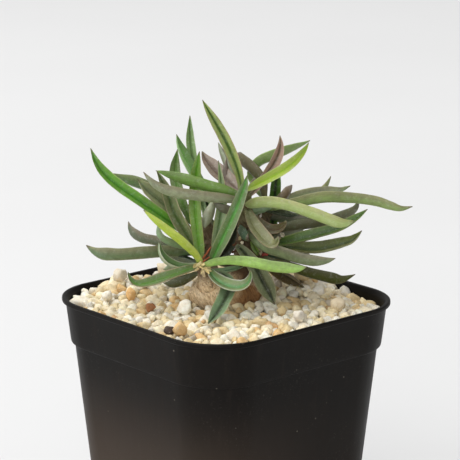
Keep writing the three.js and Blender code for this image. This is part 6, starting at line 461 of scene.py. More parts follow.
# -------------------------------------------------------------------- leaves
def spline(rows, count, bias=1.0):
    """Centripetal-like Catmull-Rom through the rows, evenly spaced in length."""
    p = np.vstack([2 * rows[0] - rows[1], rows, 2 * rows[-1] - rows[-2]])
    fine = []
    for i in range(1, len(p) - 2):
        for t in np.linspace(0, 1, 12, endpoint=False):
            a, b, c, d = p[i - 1], p[i], p[i + 1], p[i + 2]
            fine.append(0.5 * (2 * b + (c - a) * t + (2 * a - 5 * b + 4 * c - d) * t * t + (3 * b - a - 3 * c + d) * t ** 3))
    fine = np.array(fine + [rows[-1]])
    s = np.r_[0, np.cumsum(np.linalg.norm(np.diff(fine[:, :3], axis=0), axis=1))]
    at = s[-1] * (1 - (1 - np.linspace(0, 1, count)) ** bias)
    return np.stack([np.interp(at, s, fine[:, k]) for k in range(fine.shape[1])], 1), at


TOP = np.array([-1, -0.985, -0.94, -0.85, -0.72, -0.56, -0.4, -0.26, -0.15, -0.07, 0, 0.07, 0.15, 0.26, 0.4, 0.56, 0.72, 0.85, 0.94, 0.985, 1])   # across the channelled face
UNDER = np.sin(np.linspace(1, -1, 17) * math.pi / 2)      # back round the keel
ACROSS = np.r_[TOP, UNDER[1:-1]]
IS_TOP = np.r_[np.ones(len(TOP)), np.zeros(len(UNDER) - 2)]


PLUMP = {'leaf_back_left_08': 1.20, 'leaf_centre_03': 1.18, 'leaf_back_left_01': 1.15, 'leaf_back_left_03': 1.12}


def leaf_sheet(index, rows, colours, stations=46, gain=1.05):
    rng = np.random.default_rng(700 + index)
    path, along = spline(np.array(rows, float), stations, 1.25)
    length = along[-1]
    q, w, n = path[:, :3], np.maximum(path[:, 3] * gain, 0.05), path[:, 4:7]
    t = np.gradient(q, axis=0)
    t /= np.linalg.norm(t, axis=1)[:, None]
    n = n - (n * t).sum(1)[:, None] * t
    n /= np.linalg.norm(n, axis=1)[:, None]
    b = np.cross(t, n)
    s = along / length
    a = np.abs(ACROSS)[None, :]
    open_ = (0.62 + 0.38 * smooth(0.0, 0.2, s))[:, None]          # the base is rounder, less channelled
    top = (0.47 * a ** 0.85 - 0.27) * open_ + (1 - open_) * (0.40 * (1 - a ** 2))
    under = 0.21 - (0.90 - 0.12 * s[:, None]) * (1 - a ** 1.9) ** 0.75
    h = np.where(IS_TOP[None, :] > 0, top, under)
    h = np.where(a > 0.998, 0.215, h)
    thick = (1 + 0.30 * s ** 3)[:, None]
    # margins wander a little and the blade twists slightly
    phase = rng.uniform(0, 6.28, 4)
    wave_l = 0.025 * np.sin(along * 0.45 + phase[0]) + 0.012 * np.sin(along * 1.5 + phase[1])
    wave_r = 0.025 * np.sin(along * 0.4 + phase[2]) + 0.012 * np.sin(along * 1.3 + phase[3])
    side = ACROSS[None, :]
    width = w[:, None] * (1 + np.where(side > 0, wave_r[:, None], wave_l[:, None]) * a ** 2)
    lift = w[:, None] * (0.03 * np.sin(along * 0.5 + phase[1])[:, None] * side * a)
    lift = lift + w[:, None] * 0.02 * lattice(np.c_[along * 0.3, np.full(stations, index), np.zeros(stations)])[:, None]
    groove = np.exp(-(a / 0.14) ** 2) * np.where(IS_TOP[None, :] > 0, -0.06, 0.0)
    ridges = 0.012 * np.cos(side * 16 + 0.3 * np.sin(along)[:, None]) * (1 - a ** 4)
    V = q[:, None, :] + b[:, None, :] * (side * width)[:, :, None] + n[:, None, :] * ((h + groove + ridges) * w[:, None] * thick + lift)[:, :, None]
    # a short horny point
    tip = q[-1] + t[-1] * 0.22
    m = len(ACROSS)
    V = V.reshape(-1, 3)
    k = np.arange(m)
    F = []
    for i in range(stations - 1):
        for j in range(m):
            p0, p1 = i * m + j, i * m + (j + 1) % m
            F.append((p0, p0 + m, p1 + m, p1))
    last = (stations - 1) * m
    V = np.vstack([V, tip, q[0] - t[0] * 0.1])
    for j in range(m):
        F.append((last + j, last + m, last + (j + 1) % m))
        F.append((j, (j + 1) % m, last + m + 1))
    # paint
    upper, channel_and_shade, lower, margin = [linear(c) for c in colours]
    S = np.repeat(s, m)
    A = np.tile(np.abs(ACROSS), stations)
    top_side = np.tile(IS_TOP, stations)[:, None]
    # painted shade: the channel colour, darkened for the shade in the groove, fades out towards the margins
    face = channel_and_shade + (upper - channel_and_shade) * smooth(0.10, 0.42, A)[:, None]
    back = lower * (0.94 + 0.10 * (1 - A))[:, None]
    C = np.where(top_side > 0, face, back)
    edge = np.where(top_side > 0, (smooth(0.80, 0.97, A) * 0.85)[:, None], (smooth(0.55, 0.98, A) * 0.8)[:, None])
    C = C + (margin - C) * edge
    wander = lattice(np.c_[S * length * 0.20, np.full(len(S), index * 3.1), np.tile(ACROSS, stations) * 0.6], 5)[:, None]
    C = C * (1 + 0.16 * wander)
    old = linear("8a7a60")
    C = C + (old - C) * (smooth(0.955, 0.995, S) * 0.75)[:, None]
    C = C + (linear("4a3626") - C) * (smooth(0.988, 1.0, S) * 0.8)[:, None]
    C = C + (linear("a8ac84") - C) * ((1 - smooth(0.02, 0.16, S)) * 0.35)[:, None]
    C = np.vstack([C, linear("4a3626"), linear("8a8060")])
    G = np.c_[np.repeat(along, m), np.tile(ACROSS, stations) * np.where(np.tile(IS_TOP, stations) > 0, 1, 1.3) + np.tile(IS_TOP, stations) * 7, np.full(len(S), index * 5.7)]
    G = np.vstack([G, G[-1], G[0]])
    return V, F, np.clip(C, 0, 1), G


for index, (node, finish, colours, rows) in enumerate(LEAVES):
    V, F, C, G = leaf_sheet(index, rows, colours, gain=PLUMP.get(node, 1.05))
    young = node.startswith("young_")
    piece = make("skin_" + node if not young else node, V, F, SKINS[finish], paint=C, grain=G)
    if not young:
        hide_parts(node)
    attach(piece, "root")

AXES = [np.array(rows, float) for _, _, _, rows in LEAVES]
LEAF_POINTS = np.vstack([spline(r, 24)[0][:, :4] for r in AXES])       # x, y, z, half width


# ----------------------------------------------------------------------- pot
def square_ring(half, corner_steps=22, side_steps=10):
    """Points round a rounded square of that half-width."""
    r, s, pts = CORNER * half, (1 - CORNER) * half, []
    for q in range(4):
        c, d = round(math.cos(q * math.pi / 2)), round(math.sin(q * math.pi / 2))
        ring = [(half, y) for y in np.linspace(-s, s, side_steps, endpoint=False)]
        ring += [(s + r * math.cos(a), s + r * math.sin(a)) for a in np.linspace(0, math.pi / 2, corner_steps, endpoint=False)]
        pts += [(x * c - y * d, x * d + y * c) for x, y in ring]
    return np.array(pts)


def body_half(z):
    return BODY_TOP - TAPER * (STEP_Z - z)


def collar_half(z):
    return COLLAR_BOTTOM + (COLLAR_TOP - COLLAR_BOTTOM) * (z - STEP_Z) / (COLLAR_H - 1.4)


def rounded(points, steps=5):
    """Profile with every corner (half, z, radius) rounded off."""
    out = []
    for i, (a, z, r) in enumerate(points):
        p = np.array((a, z))
        if r == 0 or i in (0, len(points) - 1):
            out.append(p)
            continue
        u, v = np.array(points[i - 1][:2]) - p, np.array(points[i + 1][:2]) - p
        lu, lv = np.linalg.norm(u), np.linalg.norm(v)
        k = min(r, lu * 0.45, lv * 0.45)
        s, e = p + u / lu * k, p + v / lv * k
        for t in np.linspace(0, 1, steps):
            out.append((1 - t) ** 2 * s + 2 * t * (1 - t) * p + t * t * e)
    return np.array(out)


def pot():
    top_in = collar_half(POT_H - 1.4) - COLLAR_WALL
    outside = [(body_half(0) - 0.1, 0.0, 0.9)]
    outside += [(body_half(z), z, 0) for z in (3, 12, 21, 30, 39, 48, 55, STEP_Z - 1.2)]
    outside += [(body_half(STEP_Z), STEP_Z - 0.05, 0.55), (COLLAR_BOTTOM - 0.05, STEP_Z - 0.05, 0.5)]
    outside += [(collar_half(z), z, 0) for z in (STEP_Z + 1.0, STEP_Z + 4, STEP_Z + 8)]
    outside += [(COLLAR_TOP, POT_H - 1.45, 0.35), (RIM_HALF - 0.02, POT_H - 1.35, 0.35), (RIM_HALF, POT_H - 0.05, 0.6),
                (RIM_HALF - LIP, POT_H - 0.05, 0.5), (top_in, POT_H - 1.4, 0.3), (collar_half(STEP_Z + 1.4) - COLLAR_WALL, STEP_Z + 1.4, 0.8)]
    inside = [(body_half(STEP_Z) - BODY_WALL, STEP_Z - 0.4, 0.6), (body_half(30) - BODY_WALL, 30, 0), (body_half(FLOOR_T) - BODY_WALL, FLOOR_T, 1.2)]
    under = [(0.9, 0.0, 0), (10.0, 0.0, 0), (20.0, 0.0, 0), (24.4, 0.0, 0.5), (25.0, 0.7, 0.5), (26.2, 0.7, 0.5), (26.8, 0.0, 0.5)]
    floor = [(20.0, FLOOR_T, 0), (10.0, FLOOR_T, 0), (0.9, FLOOR_T, 0)]
    profile = rounded(under + outside + inside + floor)
    rings = [square_ring(a) for a, _ in profile]
    m, V, F = len(rings[0]), [], []
    for (a, z), ring in zip(profile, rings):
        grow = 1 + 0.0006 * np.sin(np.arange(m) * 2 * math.pi / m * 3 + z * 0.02)   # moulded walls are never quite flat
        V.append(np.c_[ring * grow[:, None], np.full(m, z)])
    V = np.vstack(V)
    for i in range(len(profile) - 1):
        for j in range(m):
            a, b = i * m + j, i * m + (j + 1) % m
            F.append((a, b, b + m, a + m))
    F.append(tuple(range(m - 1, -1, -1)))
    F.append(tuple(range((len(profile) - 1) * m, len(profile) * m)))
    piece = make("pot_moulded", V, F, PLASTIC)
    cutter = bmesh.new()
    for sx in (-12.5, 12.5):
        for sy in (-12.5, 12.5):
            made = bmesh.ops.create_cone(cutter, cap_ends=True, segments=48, radius1=3.2 * MM, radius2=3.2 * MM, depth=6 * MM)
            bmesh.ops.translate(cutter, verts=made["verts"], vec=(sx * MM, sy * MM, 0.8 * MM))
    mesh = bpy.data.meshes.new("drill")
    cutter.to_mesh(mesh)
    cutter.free()
    drill = bpy.data.objects.new("drill", mesh)
    scene.collection.objects.link(drill)
    cut = piece.modifiers.new("holes", "BOOLEAN")
    cut.object, cut.operation, cut.solver = drill, "DIFFERENCE", "EXACT"
    applied(piece)
    bpy.data.objects.remove(drill)
    bpy.data.meshes.remove(mesh)
    piece.data.polygons.foreach_set("use_smooth", np.ones(len(piece.data.polygons), dtype=bool))
    piece.data.set_sharp_from_angle(angle=math.radians(50))
    return piece


LIP = 1.0
piece = pot()
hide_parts("pot")
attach(piece, "root")

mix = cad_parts["potting_mix"]
mix.data.materials.clear()
mix.data.materials.append(SOIL)


# -------------------------------------------------------------------- gravel
def level(x, y):
    z = np.full(np.shape(x), POT_H - 1.5)
    for hx, hy, spread, h in HEAPS:
        z = z + h * np.exp(-((x - hx) ** 2 + (y - hy) ** 2) / spread ** 2)
    return z


def square_radius(x, y):
    """1 on the rounded square of half-width 1, less inside."""
    x, y = np.abs(x), np.abs(y)
    s = 1 - CORNER
    lo, hi = np.zeros_like(x), np.full_like(x, 99.0)
    for _ in range(26):                         # half-width whose outline passes through the point
        mid = (lo + hi) / 2
        dx, dy = np.maximum(x - s * mid, 0), np.maximum(y - s * mid, 0)
        inside = (np.maximum(x, y) <= mid) & (dx ** 2 + dy ** 2 <= (CORNER * mid) ** 2)
        hi, lo = np.where(inside, mid, hi), np.where(inside, lo, mid)
    return (lo + hi) / 2


WALL = collar_half(POT_H - 2.4) - COLLAR_WALL - 0.25     # half-width open to the gravel


def into_caudex(x, y):
    """Signed ratio in the swollen base's outline, 1 on its skin."""
    dx, dy = x - CAUDEX_AT[0], y - CAUDEX_AT[1]
    c, s = math.cos(-CAUDEX_TURN), math.sin(-CAUDEX_TURN)
    u, v = dx * c - dy * s, dx * s + dy * c
    return np.hypot(u / 10.2, v / 8.9)


# Chosen stones: (x, y, lift above the level, radius, colour, flatness)
HERO = (
    (-20.15, 17.36, 0.00, 1.70, 'e0b478', 0.85),
    (-30.86, -16.86, 0.20, 2.30, 'e8c48c', 0.85),
    (-22.61, 5.90, 0.00, 1.60, 'a8744c', 0.85),
    (-32.09, -13.76, 0.10, 1.30, '4a3a2e', 0.85),
    (17.30, -27.06, 0.20, 2.10, 'ead9ba', 0.80),
    (-17.87, -3.49, 0.20, 2.00, 'f5f0e2', 0.85),
    (-26.18, 20.57, 0.30, 2.00, 'f0e9da', 0.85),
    (-15.86, 27.69, 0.30, 1.90, 'e6dcc8', 0.85),
    (3.90, 32.20, 0.70, 2.10, 'dccfb4', 0.85),
    (23.72, -6.78, 0.60, 2.80, 'e6d3a8', 0.70),
    (1.23, -29.29, 0.30, 1.90, 'f1e9da', 0.85),
)

TONES = (("f7f0df", 22), ("f2e6c8", 24), ("eadab2", 20), ("dfc99a", 12), ("d9bd8c", 5), ("e6e2d6", 8),
         ("d8ccb2", 4), ("e2bd84", 1.6), ("d2ac7c", 1.0), ("9a7a5e", 0.1), ("bdb3a2", 1.0), ("6d6252", 0.05))


def packed_stones():
    rng = np.random.default_rng(41)
    hero = np.array([h[:4] for h in HERO], float)
    n = 1000
    xy = rng.uniform(-WALL, WALL, (9000, 2))
    xy = xy[square_radius(xy[:, 0], xy[:, 1]) < WALL - 1.0]
    xy = xy[into_caudex(xy[:, 0], xy[:, 1]) > 0.98][:n]
    n = len(xy)
    r = np.clip(rng.lognormal(math.log(1.74), 0.22, n), 1.0, 2.7)
    depth = np.where(rng.random(n) < 0.60, rng.uniform(0.0, 1.2, n), rng.uniform(1.6, 3.6, n))
    z = level(xy[:, 0], xy[:, 1]) - r * 0.72 - depth
    P = np.c_[xy, z]
    hz = level(hero[:, 0], hero[:, 1]) + hero[:, 2] - hero[:, 3] * 0.7
    P = np.vstack([np.c_[hero[:, :2], hz], P])
    r = np.r_[hero[:, 3], r]
    fixed = len(hero)
    near = LEAF_POINTS[LEAF_POINTS[:, 2] < 79]
    for step in range(70):
        d = P[:, None, :] - P[None, :, :]
        dist = np.sqrt((d ** 2).sum(2)) + np.eye(len(P)) * 99
        want = (r[:, None] + r[None, :]) * 0.84
        over = np.maximum(want - dist, 0)
        push = (d / dist[:, :, None] * over[:, :, None]).sum(1) * 0.42
        length = np.linalg.norm(push, axis=1)
        push *= np.minimum(1, 0.8 / np.maximum(length, 1e-6))[:, None]
        P = P + push * (1 if step > 8 else 0.6)
        P[:fixed, :2] = hero[:, :2]
        # leaves lie over the stones
        if step % 4 == 3 or step > 64:
            dl = P[:, None, :] - near[None, :, :3]
            dn = np.linalg.norm(dl, axis=2)
            gap = dn - near[None, :, 3] - r[:, None] * 0.86
            k = gap.argmin(1)
            g = gap[np.arange(len(P)), k]
            hit = g < 0.15
            P[hit, 2] -= (0.2 - g[hit]) * 0.8
        top = level(P[:, 0], P[:, 1]) - r * 0.62 + 0.35
        P[fixed:, 2] = np.minimum(P[fixed:, 2], top[fixed:])
        P[fixed:, 2] += 0.05
        P[fixed:, 2] = np.clip(P[fixed:, 2], level(P[fixed:, 0], P[fixed:, 1]) - 5.2, top[fixed:])
        # the wall and the swollen base
        out = square_radius(P[:, 0], P[:, 1])
        limit = WALL - r * 0.86
        P[:, :2] *= np.minimum(1, limit / np.maximum(out, 1e-6))[:, None]
        ratio = into_caudex(P[:, 0], P[:, 1])
        keep = 1 + r * 0.78 / 9.5
        away = np.maximum(keep / np.maximum(ratio, 1e-3), 1)
        c = np.array(CAUDEX_AT)
        P[fixed:, :2] = (c + (P[:, :2] - c) * away[:, None])[fixed:]
    return P, r, fixed, rng


def ball(level_):
    bm = bmesh.new()
    bmesh.ops.create_icosphere(bm, subdivisions=level_, radius=1.0)
    V = np.array([v.co[:] for v in bm.verts])
    F = np.array([[v.index for v in f.verts] for f in bm.faces])
    bm.free()
    return V / np.linalg.norm(V, axis=1)[:, None], F


def random_turn(rng):
    q = rng.normal(size=4)
    q /= np.linalg.norm(q)
    w, x, y, z = q
    return np.array([[1 - 2 * (y * y + z * z), 2 * (x * y - z * w), 2 * (x * z + y * w)],
                     [2 * (x * y + z * w), 1 - 2 * (x * x + z * z), 2 * (y * z - x * w)],
                     [2 * (x * z - y * w), 2 * (y * z + x * w), 1 - 2 * (x * x + y * y)]])


def stone_shape(rng, D, roundness):
    """Radius along directions D of a broken, water-worn chip."""
    k = int(rng.integers(9, 15))
    t = (np.arange(k) + 0.5) / k * 2 - 1                 # spread round the stone, so no side stays a ball
    a = np.arange(k) * 2.39996 + rng.uniform(0, 6.28)
    N = np.c_[np.sqrt(1 - t * t) * np.cos(a), np.sqrt(1 - t * t) * np.sin(a), t] + rng.normal(size=(k, 3)) * 0.28
    N /= np.linalg.norm(N, axis=1)[:, None]
    H = rng.uniform(0.62, 0.92, k)
    dot = np.maximum(D @ N.T, 1e-3)
    cut = H[None, :] / dot
    soft = 62 * (1 - roundness) + 12
    cut = np.minimum(cut, 3.0)
    radius = -np.log(np.exp(-soft * cut).sum(1) + math.exp(-soft * 1.2)) / soft
    radius *= 1 + 0.06 * lattice(D * 2.4, int(rng.integers(0, 999))) + 0.035 * lattice(D * 6.0, int(rng.integers(0, 999)))
    return np.clip(radius, 0.45, 1.2)


P, R, fixed, rng = packed_stones()
names = np.array([t[0] for t in TONES])
odds = np.array([t[1] for t in TONES], float)
odds /= odds.sum()
D2, F2 = ball(2)
D3, F3 = ball(3)
groups = {k: [] for k in "abcdefgh"}
for i in range(len(P)):
    big = i < fixed or P[i, 2] > level(P[i, 0], P[i, 1]) - R[i] - 1.0
    D, F = (D3, F3) if big else (D2, F2)
    shape = D * stone_shape(rng, D, rng.uniform(0.0, 0.45) if i >= fixed else 0.0)[:, None]
    flat = HERO[i][5] if i < fixed else rng.uniform(0.62, 0.92)
    shape = shape * np.array([rng.uniform(0.95, 1.15), rng.uniform(0.8, 1.0), flat])
    if i < fixed:
        turn = random_turn(rng) if HERO[i][5] > 0.7 else np.array([[math.cos(i), -math.sin(i), 0], [math.sin(i), math.cos(i), 0], [0, 0, 1]])
    else:
        turn = random_turn(rng)
    shape = shape @ turn.T * R[i] * 1.10 + P[i]
    tone = linear(HERO[i][4]) if i < fixed else linear(str(rng.choice(names, p=odds))) * rng.uniform(0.88, 1.05)
    streak = lattice(D * 1.3 + i, 3)[:, None]
    colour = np.clip(tone * (1 + 0.13 * streak), 0, 0.93)
    side = "abcdefgh"[(0 if P[i, 0] < 0 else 1) + (0 if P[i, 1] < 0 else 2) + (4 if big else 0)]
    groups[side].append((shape, F, colour, np.tile(rng.uniform(-90, 90, 3), (len(D), 1))))

pieces_of_gravel = []
for side, items in groups.items():
    V = np.vstack([it[0] for it in items])
    offset = np.r_[0, np.cumsum([len(it[0]) for it in items])[:-1]]
    F = np.vstack([it[1] + o for it, o in zip(items, offset)])
    piece = make("gravel_stones_" + side, V, F, STONE, paint=np.vstack([it[2] for it in items]), grain=np.vstack([it[3] for it in items]))
    pieces_of_gravel.append(piece)
print("stones", len(P), [len(v) for v in groups.values()])


def fines():
    """The bed under the stones: a lumpy sheet closed down to its foot, toned dark as painted shade in the gaps between
    the stones.
    """
    rings, m, V, F = 40, 168, [], []
    outline = square_ring(1.0, 32, 10)
    m = len(outline)
    foot = 62.35
    for i in range(1, rings + 1):
        t = i / rings
        x, y = outline[:, 0] * (WALL - 0.1) * t, outline[:, 1] * (WALL - 0.1) * t
        z = level(x, y) - 3.0 + 0.5 * fractal(np.c_[x, y, np.zeros(m)] * 0.7, 11, 3)
        z = np.where(into_caudex(x, y) < 1.03, np.minimum(z, POT_H - 4.6), z)
        V.append(np.c_[x, y, z])
    x, y = outline[:, 0] * 32.0, outline[:, 1] * 32.0
    V.append(np.c_[x, y, np.full(m, foot)])
    V = np.vstack(V + [np.array([[0.0, 0.0, POT_H - 4.6], [0.0, 0.0, foot]])])
    c0, c1 = len(V) - 2, len(V) - 1
    for j in range(m):
        k = (j + 1) % m
        F.append((c0, j, k))
        for i in range(rings):
            F.append((i * m + j, (i + 1) * m + j, (i + 1) * m + k, i * m + k))
        F.append((rings * m + j, c1, rings * m + k))
    return make("gravel_fines_and_gap_shade", V, F, FINES_AND_GAP_SHADE)


pieces_of_gravel.append(fines())
for piece in pieces_of_gravel:
    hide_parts("gravel_bed")
    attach(piece, "root")


# ---------------------------------------------- swollen base and its branches
BRANCHES = {
    "a": ((-2.15, 2.55, 71.94, 3.2), (-5.06, 0.44, 76.41, 2.7), (-7.79, -0.62, 79.73, 2.2), (-9.36, -0.97, 82.53, 1.8), (-9.66, -1.11, 83.9, 1.1)),
    "b": ((2.74, -0.41, 71.06, 3.4), (2.93, -2.3, 78.14, 2.7), (3.37, -3.48, 85.54, 2.3), (3.38, -4.29, 92.59, 2.1), (2.95, -4.98, 98.51, 2.0), (2.78, -4.96, 101.66, 1.6), (2.69, -4.88, 103.22, 0.9)),
    "c": ((0.56, 4.82, 70.64, 3.0), (-0.1, 6.2, 76.93, 2.4), (-0.44, 7.3, 83.48, 2.1), (-0.62, 7.72, 88.67, 2.0), (-0.65, 7.88, 92.12, 1.6), (-0.69, 7.91, 93.86, 0.9)),
    "d": ((5.13, -0.24, 74.1, 2.8), (7.11, -2.24, 79.41, 2.3), (8.4, -4.16, 83.06, 2.0), (9.6, -5.75, 85.78, 1.6), (10.2, -6.54, 87.13, 0.9)),
    "e": ((5.74, 0.02, 77.15, 2.5), (8.86, -1.11, 84.7, 2.1), (11.29, -2.17, 90.89, 2.0), (12.64, -2.96, 95.16, 1.6), (13.23, -3.34, 97.44, 0.9)),
}


def tube(rows, sides=24, steps=5):
    path, _ = spline(np.array(rows, float), len(rows) * steps)
    q, r = path[:, :3], path[:, 3]
    t = np.gradient(q, axis=0)
    t /= np.linalg.norm(t, axis=1)[:, None]
    u = np.cross(t, (0.3, 1.0, 0.1))
    u /= np.linalg.norm(u, axis=1)[:, None]
    v = np.cross(t, u)
    a = np.arange(sides) * 2 * math.pi / sides
    V = (q[:, None, :] + (u[:, None, :] * np.cos(a)[None, :, None] + v[:, None, :] * np.sin(a)[None, :, None]) * r[:, None, None]).reshape(-1, 3)
    F = [(i * sides + j, i * sides + (j + 1) % sides, (i + 1) * sides + (j + 1) % sides, (i + 1) * sides + j)
         for i in range(len(q) - 1) for j in range(sides)]
    F.append(tuple(range(sides - 1, -1, -1)))
    F.append(tuple(range((len(q) - 1) * sides, len(q) * sides)))
    return V, F


def woody():
    D, F = ball(4)
    u = np.arctan2(D[:, 1], D[:, 0])
    flat = np.hypot(D[:, 0], D[:, 1])
    lump = 1 + (0.05 * np.sin(3 * u + 0.6) + 0.035 * np.sin(5 * u + 2.0)) * flat
    x, y = D[:, 0] * 10.2 * lump, D[:, 1] * 8.9 * lump
    z = np.sign(D[:, 2]) * np.abs(D[:, 2]) ** 0.85 * 6.4 + 0.2
    z = z + np.where(D[:, 2] > 0, 2.0 * np.exp(-((x + 4.6) ** 2 + (y + 2) ** 2) / 22) * np.sqrt(np.maximum(D[:, 2], 0)), 0)
    z = np.maximum(z, -4.2)
    c, s = math.cos(CAUDEX_TURN), math.sin(CAUDEX_TURN)
    V = [np.c_[CAUDEX_AT[0] + x * c - y * s, CAUDEX_AT[1] + x * s + y * c, z + POT_H]]
    faces, base = [tuple(f) for f in F], len(V[0])
    for rows in BRANCHES.values():
        v, f = tube(rows)
        faces += [tuple(i + base for i in face) for face in f]
        base += len(v)
        V.append(v)
    piece = make("woody_base", np.vstack(V), faces, BARK)
    m = piece.modifiers.new("fuse", "REMESH")
    m.mode, m.voxel_size, m.use_smooth_shade = "VOXEL", 0.24 * MM, True
    m2 = piece.modifiers.new("ease", "SMOOTH")
    m2.factor, m2.iterations = 0.5, 4
    applied(piece)
    mesh = piece.data
    co = np.empty(len(mesh.vertices) * 3, np.float32)
    no = np.empty(len(mesh.vertices) * 3, np.float32)
    mesh.vertices.foreach_get("co", co)
    mesh.vertices.foreach_get("normal", no)
    co, no = co.reshape(-1, 3).astype(float) / MM, no.reshape(-1, 3).astype(float)
    # fibre direction: down the body from the middle of its crown, along each branch above it
    high = smooth(77.0, 81.0, co[:, 2])
    fibre = np.c_[co[:, 0] * 1.7 + co[:, 2] * 0.7, co[:, 1] * 1.7 - co[:, 2] * 0.7, co[:, 2] * (0.25 + 0.1 * high)]
    ridge = fractal(fibre * 0.9, 21, 4)
    slant = np.c_[co[:, 0] * 0.60 + co[:, 2] * 0.35, co[:, 1] * 0.60 - co[:, 2] * 0.35, co[:, 2] * 0.10]
    plates = np.abs(lattice(slant, 8))
    crack = (1 - smooth(0.0, 0.07, plates)) * smooth(0.0, 0.4, lattice(co * 0.4, 77))
    rings = (2.2 * smooth(0.15, 0.7, lattice(co * 0.75, 4)) + 0.6 * np.sin(co[:, 2] * 3.0 + 2.0 * lattice(co * 0.5, 4))) * high
    push = 0.36 * ridge + 0.12 * lattice(co * 2.2, 31) - 0.60 * crack * (1 - 0.7 * high) + 0.13 * rings - 0.05
    left = np.exp(-((co[:, 0] + 7.2) ** 2 + (co[:, 1] - 2.2) ** 2) / 18.0 - ((co[:, 2] - 73.5) / 3.2) ** 2)
    push = push + 2.4 * left
    new = co + no * push[:, None]
    mesh.vertices.foreach_set("co", (new * MM).astype(np.float32).ravel())
    # paint: tan fibrous left shoulder, red-brown right side whose top is darkened as painted shade under the leaves,
    # darker stems greening to the tips
    cx, cy = math.cos(CAUDEX_TURN), math.sin(CAUDEX_TURN)
    right = ((co[:, 0] - CAUDEX_AT[0]) * cx + (co[:, 1] - CAUDEX_AT[1]) * cy)
    tan, red, dark, stem = linear("efd6ae"), linear("ac7f52"), linear("33241a"), linear("5c4a36")
    k = smooth(0.5, 5.0, right + 2.0 * lattice(co * 0.35, 2))[:, None]
    C = tan + (red - tan) * k
    C = C + (linear("f4e2c4") - C) * (smooth(0.05, 0.5, lattice(co * 0.5, 61)) * 0.5)[:, None]
    # painted shade: the top of the red-brown side darkens where the leaves shade it
    C = C + (dark - C) * (smooth(75.6, 78.0, co[:, 2]) * k[:, 0] * 0.75)[:, None]
    C = C + (stem - C) * (high * 0.85)[:, None]
    C = C + (linear("7d8656") - C) * (smooth(88, 101, co[:, 2]) * 0.5)[:, None]
    C = C * (1 - 0.35 * smooth(0.2, 0.9, -ridge))[:, None]
    # painted shade: cracks darken to near-black, their own darker colour deepened for the shade in them
    C = C + (dark - C) * (crack * 0.85 * (1 - 0.6 * high))[:, None]
    layer = mesh.color_attributes.new(name="paint", type="FLOAT_COLOR", domain="POINT")
    layer.data.foreach_set("color", np.hstack([np.clip(C, 0, 1), np.ones((len(C), 1))]).astype(np.float32).ravel())
    layer = mesh.attributes.new(name="grain", type="FLOAT_VECTOR", domain="POINT")
    layer.data.foreach_set("vector", (fibre * 1.3).astype(np.float32).ravel())
    mesh.polygons.foreach_set("use_smooth", np.ones(len(mesh.polygons), dtype=bool))
    if not mesh.materials:
        mesh.materials.append(BARK)
    print("woody", len(mesh.polygons))
    return piece


piece = woody()
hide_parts("caudex")
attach(piece, "root")


# --------------------------------------------- dried bracts, scraps and flakes
def scrap(name, at, direction, length, width, colour, curl=0.6, thick=0.16, seed=0):
    """A papery scrap: a small cupped, pointed scale with torn edges."""
    rng = np.random.default_rng(seed)
    d = np.array(direction, float)
    d /= np.linalg.norm(d)
    side = np.cross(d, rng.normal(size=3))
    side /= np.linalg.norm(side)
    up = np.cross(side, d)
    nu, nv = 14, 9
    V = []
    for face in (1, -1):
        for i in range(nu):
            t = i / (nu - 1)
            wide = width * (math.sin(math.pi * min(t * 0.9 + 0.12, 1)) ** 0.7) * (1 + 0.18 * math.sin(t * 17 + seed))
            for j in range(nv):
                a = j / (nv - 1) * 2 - 1
                edge = 1 - abs(a) ** 4
                bend = curl * length * t * t * 0.5
                cup = curl * width * 0.6 * a * a
                lump = 0.10 * width * math.sin(5 * a + 9 * t + seed)
                q = np.array(at) + d * length * t + side * a * wide * 0.5 + up * (bend + cup + lump + face * thick * 0.5 * (0.25 + 0.75 * edge))
                V.append(q)
    F, n = [], nu * nv
    for i in range(nu - 1):
        for j in range(nv - 1):
            a = i * nv + j
            F.append((a, a + 1, a + nv + 1, a + nv))
            F.append((n + a, n + a + nv, n + a + nv + 1, n + a + 1))
    rim = [j for j in range(nv)] + [i * nv + nv - 1 for i in range(1, nu)] + [(nu - 1) * nv + j for j in range(nv - 2, -1, -1)] + [i * nv for i in range(nu - 2, 0, -1)]
    for a, b in zip(rim, rim[1:] + rim[:1]):
        F.append((b, a, n + a, n + b))
    V = np.array(V)
    base = linear(colour)
    C = np.clip(base * (1 + 0.25 * lattice(V * 1.6, seed)[:, None]), 0, 1)
    piece = make(name, V, F, DRY, paint=C)
    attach(piece, "root")
    return piece


